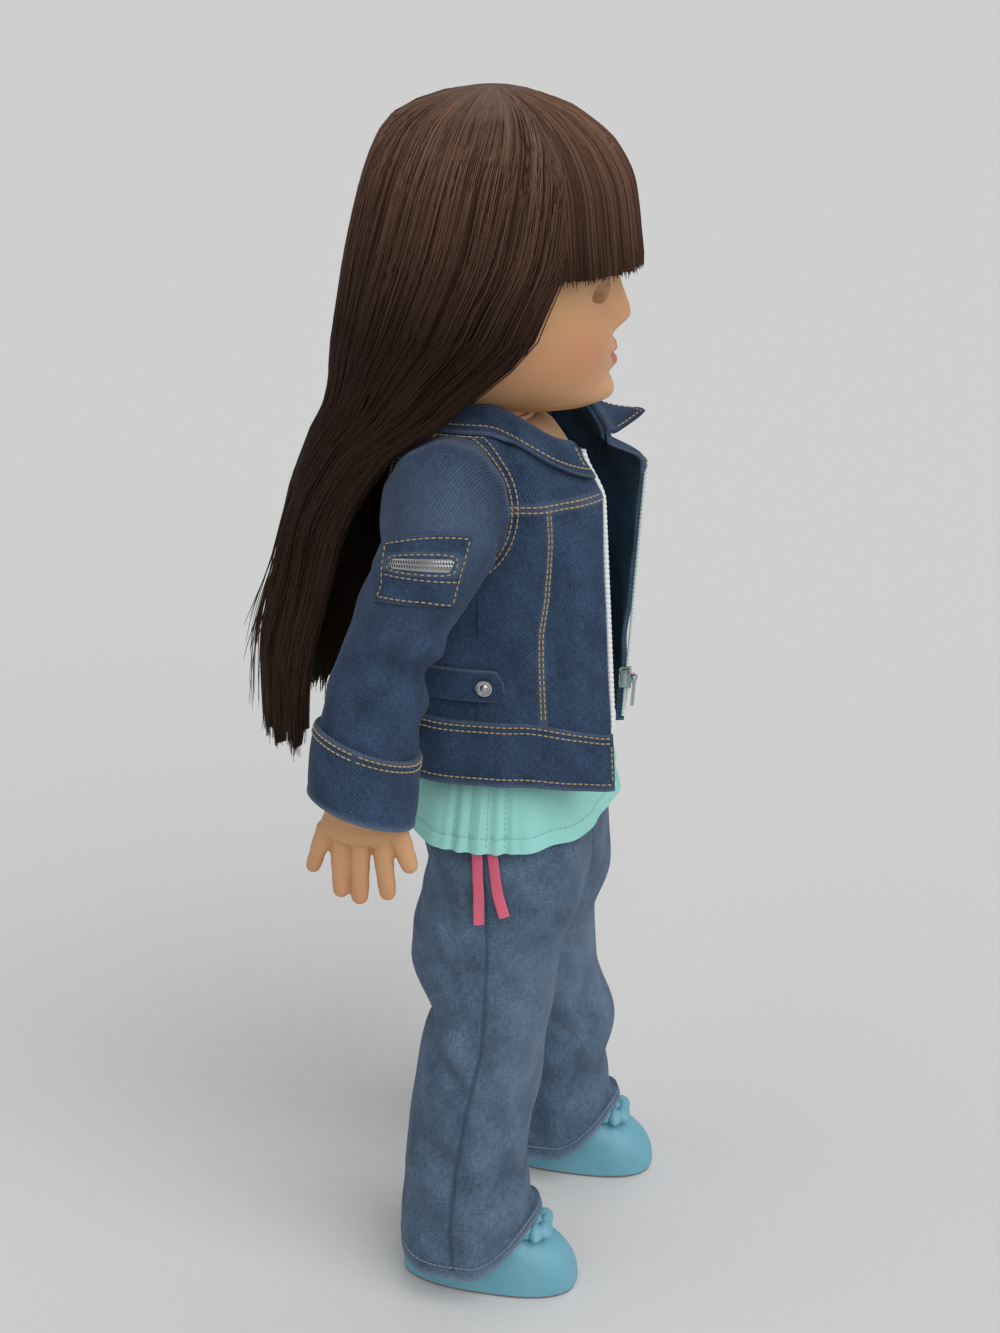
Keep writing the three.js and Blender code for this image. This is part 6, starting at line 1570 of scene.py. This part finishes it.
def make_armhole_row(sewn, side, extra, thread):
    """A row of stitches on the jacket body round the sleeve seam."""
    around = np.linspace(0, 2 * PI, 160)
    radius = armhole_ease(-np.cos(around), extra)
    y = ARMHOLE_Y + radius * np.cos(around)
    z = np.clip(SHOULDER_Z + radius * np.sin(around), BAND_TOP_Z + 4, 344)
    part = np.clip(np.abs(y - JACKET_SETBACK(z)) / JACKET_DEPTH(z), 0, 0.98)
    angle = np.sign(y - JACKET_SETBACK(z)) * np.arcsin(part ** (JACKET_POWER / 2))
    topstitch(sewn, jacket_point, angle if side > 0 else PI - angle, z, 0.4, thread)


def make_collar(sewn, thread):
    """Folded collar: a stand, a roll over its top, and flaps that widen to their tips; the left flares."""
    half = np.linspace(0, COLLAR_END, 60)
    behind = [(0, angle) for angle in np.linspace(PI, 0, 122)[1:-1]]
    places = [(-1, u) for u in half[::-1]] + behind + [(1, u) for u in half]
    rows = np.linspace(0, 1, 26)
    flap = ramp(rows, 0.45, 1)
    ease = profile((0, -2.6), (0.25, -2.0), (0.36, -0.2), (0.47, 2.4), (0.6, 3.4), (1, 3.2))(rows)
    under = profile((0, -3.6), (0.25, -3.4), (0.36, -0.6), (0.47, 0.8), (0.6, 1.7), (1, 1.6))(rows)
    drop = profile((0, 0), (0.25, 0.6), (0.36, 1.6), (0.47, 1.0), (1, 0.9))(rows)
    outer, inner = [], []
    for side, at in places:
        tip = float(ramp(at, 0.4, COLLAR_END)) if side else 0.0
        neck_z = float(neckline(side, at)) if side else BACK_NECK_Z
        wide = float(ramp(at, 0.3, 0.9)) if side else float(ramp(math.sin(at), 0.5, 0.95))
        depth = mix(3.0, 13.0 if side == 0 else 9.5, wide)
        spread = tip if side > 0 else 0.0
        depth = mix(depth, -1.5, spread)
        roll = mix(3.4, 1.6, spread)
        height = profile((0, neck_z - 4), (0.25, neck_z + roll - 1.2), (0.36, neck_z + roll),
                         (0.47, neck_z + roll - 1.2), (1, neck_z - depth))
        flare = np.array([13.0, -7.8, 3.5]) * (spread * flap)[:, None]
        for rows_of, lift, fall in ((outer, ease, 0 * drop), (inner, under, drop)):
            z = height(rows) - fall * (1 + 0.8 * spread * flap)
            if side:
                column = front_point(side, at * (1 + 0.12 * (tip - spread) * flap), z, lift)
            else:
                column = jacket_point(at, z, lift)
            rows_of.append(column + flare)
    outer, inner = np.stack(outer, 1), np.stack(inner, 1)
    edge = np.broadcast_to(rows[:, None], outer.shape[:2])
    wear = 0.4 * ramp(edge, 0.96, 1) + 0.2 * bell(edge - 0.37, 0.05)
    made = sew("folded_collar", "denim", panel(outer, inner), wear=outer_only(wear))
    settle(made, "torso", "denim", "jacket_collar")
    normal = unit(outer - inner)
    stitch(sewn, outer[22] + 0.1 * normal[22], normal[22], *thread)
    for column in (3, -4):
        stitch(sewn, outer[12:23, column], normal[12:23, column], *thread)


def make_sleeves():
    """Sleeves with their cuffs; the right one carries the zipped pocket."""
    thread = size("stitch_pitch"), STITCH_LENGTH, STITCH_RADIUS
    for side, name in SIDES:
        body = name + "_arm_body"
        sewn = Sewing()
        surface = partial(sleeve_point, side)

        def folded(s, a, lift):
            return surface(s, a, lift + 0.4 * ripple(101, 24, 20 * np.cos(a), 20 * np.sin(a)))

        s, angle = lattice(np.append(0.0, np.linspace(0.0, CUFF_START + 0.04, 120)), circle(128))
        wear = 0.18 * bell(s - 0.62, 0.3) * ramp(np.cos(angle), 0, 1) + 0.35 * bell(s - 0.02, 0.03)
        outer, inner = surface(s, angle, 0.0), surface(s, angle, -DENIM_THICKNESS)
        for layer in (outer, inner):
            layer[0, :, 0] -= side * SEAM_DEPTH
        made = sew(name + "_sleeve_cloth", "denim", panel(outer, inner, wrap=True), wear=outer_only(wear))
        settle(made, body, "denim", name + "_sleeve")
        s, angle = lattice(np.linspace(CUFF_START, 2, 40), circle(128))
        share = (s - CUFF_START) / (2 - CUFF_START)
        puff = 1.4 - 0.4 * share + 0.3 * bell(share - 0.5, 0.25) - 0.25 * bell(share - 0.9, 0.03)
        wear = 0.5 * bell(share - 1, 0.04) + 0.4 * bell(share, 0.04)
        skin = panel(folded(s, angle, puff), folded(s, angle, -2.0), wrap=True)
        made = sew(name + "_cuff_cloth", "denim", skin, wear=outer_only(wear))
        settle(made, body, "denim", name + "_cuff")
        for share, lift in ((0.055, 1.5), (0.135, 1.6)):
            topstitch(sewn, folded, mix(CUFF_START, 2, share), np.linspace(0, 2 * PI, 200), lift, thread)
        if side < 0:
            make_pocket(sewn)
        settle(sewn.piece(name + "_sleeve_stitches", FINISH["thread"]), body, "denim")


def make_pocket(sewn):
    """Zipped pocket sewn on the right sleeve, with a small zipper in an oval window."""
    first, last, middle, half = 0.62, 1.03, -0.04, 0.74
    opening, tall = 0.765, 0.052

    def surface(s, a, lift):
        lean = (a - middle) / half
        return sleeve_point(-1, s + 0.045 * lean, a - 0.5 * (s - 0.8), lift)

    thread = 2.2, 1.6, 0.24
    s, angle = lattice(np.linspace(first, last, 50), np.linspace(middle - half, middle + half, 60))
    across, along = (angle - middle) / half, (s - (first + last) / 2) / ((last - first) / 2)
    edge = np.maximum(np.abs(across), np.abs(along))
    window = ((across / 0.76) ** 4 + ((s - opening) / tall) ** 4) ** 0.25
    lift = 1.8 - 0.7 * ramp(edge, 0.95, 1) + 0.35 * bell(window - 1.05, 0.14)
    wear = 0.4 * ramp(edge, 0.95, 1) + 0.25 * bell(window - 1.05, 0.16)
    skin = panel(surface(s, angle, lift), surface(s, angle, 0.6))
    made = sew("sleeve_pocket_cloth", "denim", skin, wear=outer_only(wear))
    settle(made, "right_arm_body", "denim", "sleeve_pocket")
    t = np.linspace(-0.9, 0.9, 40)
    inner_s = np.linspace(first + 0.02, last - 0.02, 40)
    for at, turn in ((first + 0.02, middle + half * t), (last - 0.02, middle + half * t),
                     (inner_s, middle - 0.9 * half), (inner_s, middle + 0.9 * half)):
        topstitch(sewn, surface, at, turn, 1.9, thread)
    turn = np.linspace(0, 2 * PI, 120)
    c, s = np.cos(turn), np.sin(turn)
    round_x, round_s = np.sign(c) * np.abs(c) ** 0.5, np.sign(s) * np.abs(s) ** 0.5
    topstitch(sewn, surface, opening + tall * round_s, middle + 0.76 * half * round_x, 2.0, thread)
    topstitch(sewn, surface, opening + 0.085, middle + half * t, 1.9, thread)
    teeth = Sewing()
    for a in np.linspace(middle - 0.64 * half, middle + 0.64 * half, 24):
        for way in (-1, 1):
            tooth_block(teeth, surface, opening + way * 0.009, a + way * 0.009, 0.013, 0.012, 1.7, 2.7)
    s, angle = lattice(np.linspace(opening - 0.032, opening + 0.032, 8),
                           np.linspace(middle - 0.68 * half, middle + 0.68 * half, 30))
    teeth.add(*panel(surface(s, angle, 1.95), surface(s, angle, 1.5)))
    made = teeth.piece("pocket_zipper_teeth", FINISH["silver"], 30)
    settle(made, "right_arm_body", "zipper", "pocket_zipper")


def tooth_block(sewing, surface, first, second, half_first, half_second, low, high):
    """A small rounded block on a surface, narrower at its top."""
    corners = []
    for lift, grow in ((low, 1.0), (high - 0.25, 1.0), (high, 0.6)):
        a = first + half_first * grow * np.array([-1, 1, 1, -1])
        b = second + half_second * grow * np.array([-1, -1, 1, 1])
        corners.append(surface(a, b, lift))
    sewing.add(*tube(np.stack(corners)))


def make_zipper():
    """Open front zipper: a ribbed coil down each jacket edge; the right one shows its narrow woven tape."""
    for side, name in SIDES:
        lean = math.radians(33) if side < 0 else 0.0
        low, high, radius = (BAND_TOP_Z, NECK_EDGE_Z - 1, 1.05) if side < 0 else (HEM_Z + 3, LAPEL_Z, 0.8)
        forward, deep = (1.3, 0.4) if side < 0 else (0.2, -0.6)
        inward = np.array([-side * math.cos(lean), -math.sin(lean), 0])
        inside = np.array([-side * math.sin(lean), math.cos(lean), 0])
        z = np.arange(low, high, 0.28)
        x, y = edge_place(side, z)
        edge = spot(side * x, y, z)
        turn = circle(12)
        ring = np.cos(turn)[:, None] * inward + np.sin(turn)[:, None] * inside
        ribs = radius * (1 + 0.1 * np.cos(2 * PI * z / 1.7))
        chain = Sewing()
        chain.add(*tube((edge + forward * inward + deep * inside)[:, None] + ring * ribs[:, None, None]))
        if side < 0:
            across, depth = np.array([-4, -3, -2, -0.4]), np.array([3.4, 2.9, 2.5, 2.0])
            strip = across[:, None] * inward + depth[:, None] * inside
            chain.add(*panel(edge[:, None] + strip, edge[:, None] + strip + 0.3 * inside))
        settle(chain.piece(name + "_zipper", FINISH["zipper"], 60), "torso", "zipper", name + "_zipper_chain")


def make_slider():
    """Slider of the zipper: two shield-shaped plates on a narrow core, with ears for the pull's pin."""
    low, high = node_box("zipper_pull")
    middle_x, pin_z, front = (low[0] + high[0]) / 2, high[2] - 1.1, high[1] + 0.1
    turn = circle(48)
    x, z = oval(turn, 2.5, 4.4, 4.4, 3.0)
    x = x * (1 + 0.2 * z / 4.4)
    skins = []
    for start_y, deep, grow in ((0.0, 0.9, 1.0), (0.7, 3.1, 0.4), (3.6, 0.8, 1.0)):
        levels = ((0.0, 0.86), (0.2, 1.0), (deep - 0.2, 1.0), (deep, 0.86))
        skins.append([spot(middle_x + x * grow * share, front + start_y + y, pin_z + z * share)
                      for y, share in levels])
    ear_y, ear_z = oval(turn, 1.25, 1.25, 1.25, 2.0)
    pin_y = (low[1] + high[1]) / 2 + 0.3
    levels = ((1.7, 0.8), (1.9, 1.0), (2.3, 1.0), (2.5, 0.8))
    for way in (-1, 1):
        skins.append([spot(middle_x + way * x_out, pin_y + ear_y * share, pin_z + ear_z * share)
                      for x_out, share in levels])
    made = sew("zipper_slider_body", "silver", *(tube(np.stack(rings)) for rings in skins), sharp=40)
    settle(made, "slider", "silver", "zipper_slider")


def make_trims():
    """Waist tabs with snaps at both sides of the jacket."""
    # Radius and height of the snap's rings, from its skirt to the top of its dimpled cap
    levels = ((3.1, -1.6), (3.1, 0.0), (2.9, 0.35), (2.3, 0.45), (2.1, 0.15), (1.5, 0.1), (1.2, 0.5),
              (0.6, 0.75), (0.1, 0.8))
    turn = circle(40)
    for side, name in SIDES:
        along, row = lattice(np.linspace(-0.14, 0.44, 50), np.linspace(-1, 1, 24))
        angle = along if side > 0 else PI - along
        height = TAB_Z + 5.6 * row * (1 - 0.75 * ramp(-along, 0.06, 0.14) ** 2)
        edge = np.maximum(np.abs(row), 1 - (along + 0.14) / 0.03)
        rounded = ramp(edge, 0.86, 1)
        skin = panel(jacket_point(angle, height, 2.6 - 0.6 * rounded), jacket_point(angle, height, 0.8))
        made = sew(name + "_tab_cloth", "denim", skin, wear=outer_only(0.4 * rounded))
        settle(made, "torso", "denim", name + "_waist_tab")
        low, high = node_box(name + "_tab_snap")
        _, y, z = (low + high) / 2
        face_x = high[0] if side > 0 else low[0]
        rings = [spot(face_x + side * (rise - 0.8), y + r * np.cos(turn), z + r * np.sin(turn))
                 for r, rise in levels]
        made = sew(name + "_snap", "silver", tube(np.stack(rings)), sharp=50)
        settle(made, "torso", "silver", name + "_tab_snap")


def make_inside():
    """Finishes of the CAD pieces that stay as they are."""
    kept = {
        "net": ["wig_cap"], "cup": ["right_eye_cup", "left_eye_cup"],
        "weight": ["right_eye_weight", "left_eye_weight"],
        "cord": ["arm_elastic", "leg_elastic"], "silver": ["zipper_pull"],
        "disc": [f"{side}_{part}" for side in ("right", "left")
                 for part in ("shoulder_disc", "hip_disc", "arm_washer", "leg_washer")],
    }
    for key, nodes in kept.items():
        for node in nodes:
            dress(node, key)


# Camera fitted to the photograph: place, heading and pitch, and the reach of the floor in metres
CAMERA_PLACE, CAMERA_HEADING = (-693.6, -131.54, 525.0), (0.98163, 0.19081)
CAMERA_PITCH, CAMERA_LENS = math.radians(21.7), 54.61
FLOOR_REACH = 24.0
# Each lamp's direction, strength and spread in degrees
LAMPS = {
    "key": ((0.62, 0.66, -0.88), 1.85, 60),
    "fill": ((0.6, -0.9, -0.9), 0.3, 60),
    "rim": ((-0.7, 0.2, -0.8), 0.35, 50),
}


def make_stage():
    """Pale seamless floor, soft studio light and the photograph's camera."""
    scene = bpy.context.scene
    camera = bpy.data.objects.new("camera", bpy.data.cameras.new("camera"))
    scene.collection.objects.link(camera)
    camera.location = world(CAMERA_PLACE)
    level = math.cos(CAMERA_PITCH)
    way = Vector((CAMERA_HEADING[0] * level, CAMERA_HEADING[1] * level, -math.sin(CAMERA_PITCH)))
    camera.rotation_euler = way.to_track_quat("-Z", "Y").to_euler()
    camera.data.sensor_fit = "AUTO"
    camera.data.sensor_width = 36
    camera.data.lens = CAMERA_LENS
    camera.data.clip_start = 0.01
    camera.data.clip_end = 60
    scene.camera = camera
    paper, tree, shader = start("matt_backdrop_paper")
    place = add(tree, "NewGeometry")
    fibre = add(tree, "TexNoise", {"Vector": place, "Scale": 300.0, "Detail": 2.0})
    fill(tree, shader, Base_Color=blended(tree, fibre, tint("#d2d2d2"), tint("#d8d8d8")), Roughness=0.95,
         Specular_IOR_Level=0.05)
    mesh = bpy.data.meshes.new("floor")
    corners = [(x * FLOOR_REACH, y * FLOOR_REACH, 0) for x, y in ((-1, -1), (1, -1), (1, 1), (-1, 1))]
    mesh.from_pydata(corners, [], [(0, 1, 2, 3)])
    mesh.materials.append(paper)
    floor = bpy.data.objects.new("floor", mesh)
    scene.collection.objects.link(floor)
    floor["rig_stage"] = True
    for name, (way, strength, spread) in LAMPS.items():
        lamp = bpy.data.lights.new(name, "SUN")
        lamp.energy = strength
        lamp.angle = math.radians(spread)
        lit = bpy.data.objects.new(name, lamp)
        lit.rotation_euler = Vector(way).to_track_quat("-Z", "Y").to_euler()
        scene.collection.objects.link(lit)
    sky = bpy.data.worlds.new("studio")
    sky.use_nodes = True
    back = sky.node_tree.nodes["Background"]
    back.inputs["Color"].default_value = tint("#cccccc")
    back.inputs["Strength"].default_value = 0.64
    scene.world = sky
    scene.view_settings.view_transform = "Standard"


class DOLL_OT_stage(bpy.types.Operator):
    """Makes the floor, light, camera and finishes."""
    bl_idname = "doll.stage"
    bl_label = "Studio"

    def execute(self, context):
        make_stage()
        FINISH.update(make_finishes())
        return {"FINISHED"}


class DOLL_OT_ties(bpy.types.Operator):
    """Makes two limp ribbon tails at the side of the tee."""
    bl_idname = "doll.ties"
    bl_label = "Ribbon ties"

    def execute(self, context):
        make_ties()
        return {"FINISHED"}


class DOLL_OT_head(bpy.types.Operator):
    """Makes the vinyl head with its face."""
    bl_idname = "doll.head"
    bl_label = "Head"

    def execute(self, context):
        make_head()
        return {"FINISHED"}


class DOLL_OT_eyes(bpy.types.Operator):
    """Makes the rocking eyes with their lashes."""
    bl_idname = "doll.eyes"
    bl_label = "Sleep eyes"

    def execute(self, context):
        make_eye("right")
        make_eye("left")
        return {"FINISHED"}


class DOLL_OT_hair(bpy.types.Operator):
    """Makes the long hair, the fringe and loose strands."""
    bl_idname = "doll.hair"
    bl_label = "Wig"

    def execute(self, context):
        make_hair()
        return {"FINISHED"}


class DOLL_OT_body(bpy.types.Operator):
    """Makes the stuffed torso, its neck cord and the vinyl legs."""
    bl_idname = "doll.body"
    bl_label = "Body and legs"

    def execute(self, context):
        make_body()
        return {"FINISHED"}


class DOLL_OT_arms(bpy.types.Operator):
    """Makes the vinyl arms and hands."""
    bl_idname = "doll.arms"
    bl_label = "Arms"

    def execute(self, context):
        make_arms()
        return {"FINISHED"}


class DOLL_OT_tee(bpy.types.Operator):
    """Makes the jersey tee with its hem."""
    bl_idname = "doll.tee"
    bl_label = "Tee"

    def execute(self, context):
        make_tee()
        return {"FINISHED"}


class DOLL_OT_jeans(bpy.types.Operator):
    """Makes the flared jeans."""
    bl_idname = "doll.jeans"
    bl_label = "Jeans"

    def execute(self, context):
        make_jeans()
        return {"FINISHED"}


class DOLL_OT_shoes(bpy.types.Operator):
    """Makes the soft flats with gathered bows."""
    bl_idname = "doll.shoes"
    bl_label = "Shoes"

    def execute(self, context):
        make_shoes()
        return {"FINISHED"}


class DOLL_OT_jacket(bpy.types.Operator):
    """Makes the denim jacket's body, collar and waistband."""
    bl_idname = "doll.jacket"
    bl_label = "Jacket"

    def execute(self, context):
        make_jacket()
        return {"FINISHED"}


class DOLL_OT_sleeves(bpy.types.Operator):
    """Makes the sleeves, the cuffs and the zipped pocket."""
    bl_idname = "doll.sleeves"
    bl_label = "Sleeves"

    def execute(self, context):
        make_sleeves()
        return {"FINISHED"}


class DOLL_OT_zipper(bpy.types.Operator):
    """Makes the coils, the tape and the slider of the open zipper."""
    bl_idname = "doll.zipper"
    bl_label = "Front zipper"

    def execute(self, context):
        make_zipper()
        make_slider()
        return {"FINISHED"}


class DOLL_OT_trims(bpy.types.Operator):
    """Makes the waist tabs with metal snaps."""
    bl_idname = "doll.trims"
    bl_label = "Tabs and snaps"

    def execute(self, context):
        make_trims()
        return {"FINISHED"}


class DOLL_OT_inside(bpy.types.Operator):
    """Gives the inner parts their finishes."""
    bl_idname = "doll.inside"
    bl_label = "Inner parts"

    def execute(self, context):
        make_inside()
        return {"FINISHED"}


STEPS = [
    DOLL_OT_stage, DOLL_OT_ties, DOLL_OT_head, DOLL_OT_eyes, DOLL_OT_hair, DOLL_OT_body, DOLL_OT_arms,
    DOLL_OT_tee, DOLL_OT_jeans, DOLL_OT_shoes, DOLL_OT_jacket, DOLL_OT_sleeves, DOLL_OT_zipper,
    DOLL_OT_trims, DOLL_OT_inside,
]


class DOLL_PT_panel(bpy.types.Panel):
    """Lists the steps that make the doll."""
    bl_idname = "DOLL_PT_panel"
    bl_label = "Dressed play doll"
    bl_space_type = "VIEW_3D"
    bl_region_type = "UI"
    bl_category = "Doll"

    def draw(self, context):
        for step in STEPS:
            self.layout.operator(step.bl_idname)
        for group in (context.scene.doll_sizes, context.scene.doll_colours):
            for prop in group.bl_rna.properties.keys():
                if prop not in ("rna_type", "name"):
                    self.layout.prop(group, prop)


CLASSES = [DollColours, DollSizes, *STEPS, DOLL_PT_panel]


def register():
    for item in CLASSES:
        bpy.utils.register_class(item)
    bpy.types.Scene.doll_colours = bpy.props.PointerProperty(type=DollColours)
    bpy.types.Scene.doll_sizes = bpy.props.PointerProperty(type=DollSizes)


def unregister():
    del bpy.types.Scene.doll_sizes
    del bpy.types.Scene.doll_colours
    for item in reversed(CLASSES):
        bpy.utils.unregister_class(item)


def main():
    register()
    for step in STEPS:
        getattr(bpy.ops.doll, step.bl_idname.split(".")[1])()
    boxes = {"cad": CAD_BOX, "visual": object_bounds()}
    plain = {key: [[float(v) for v in corner] for corner in box] for key, box in boxes.items()}


if __name__ == "__main__":
    main()
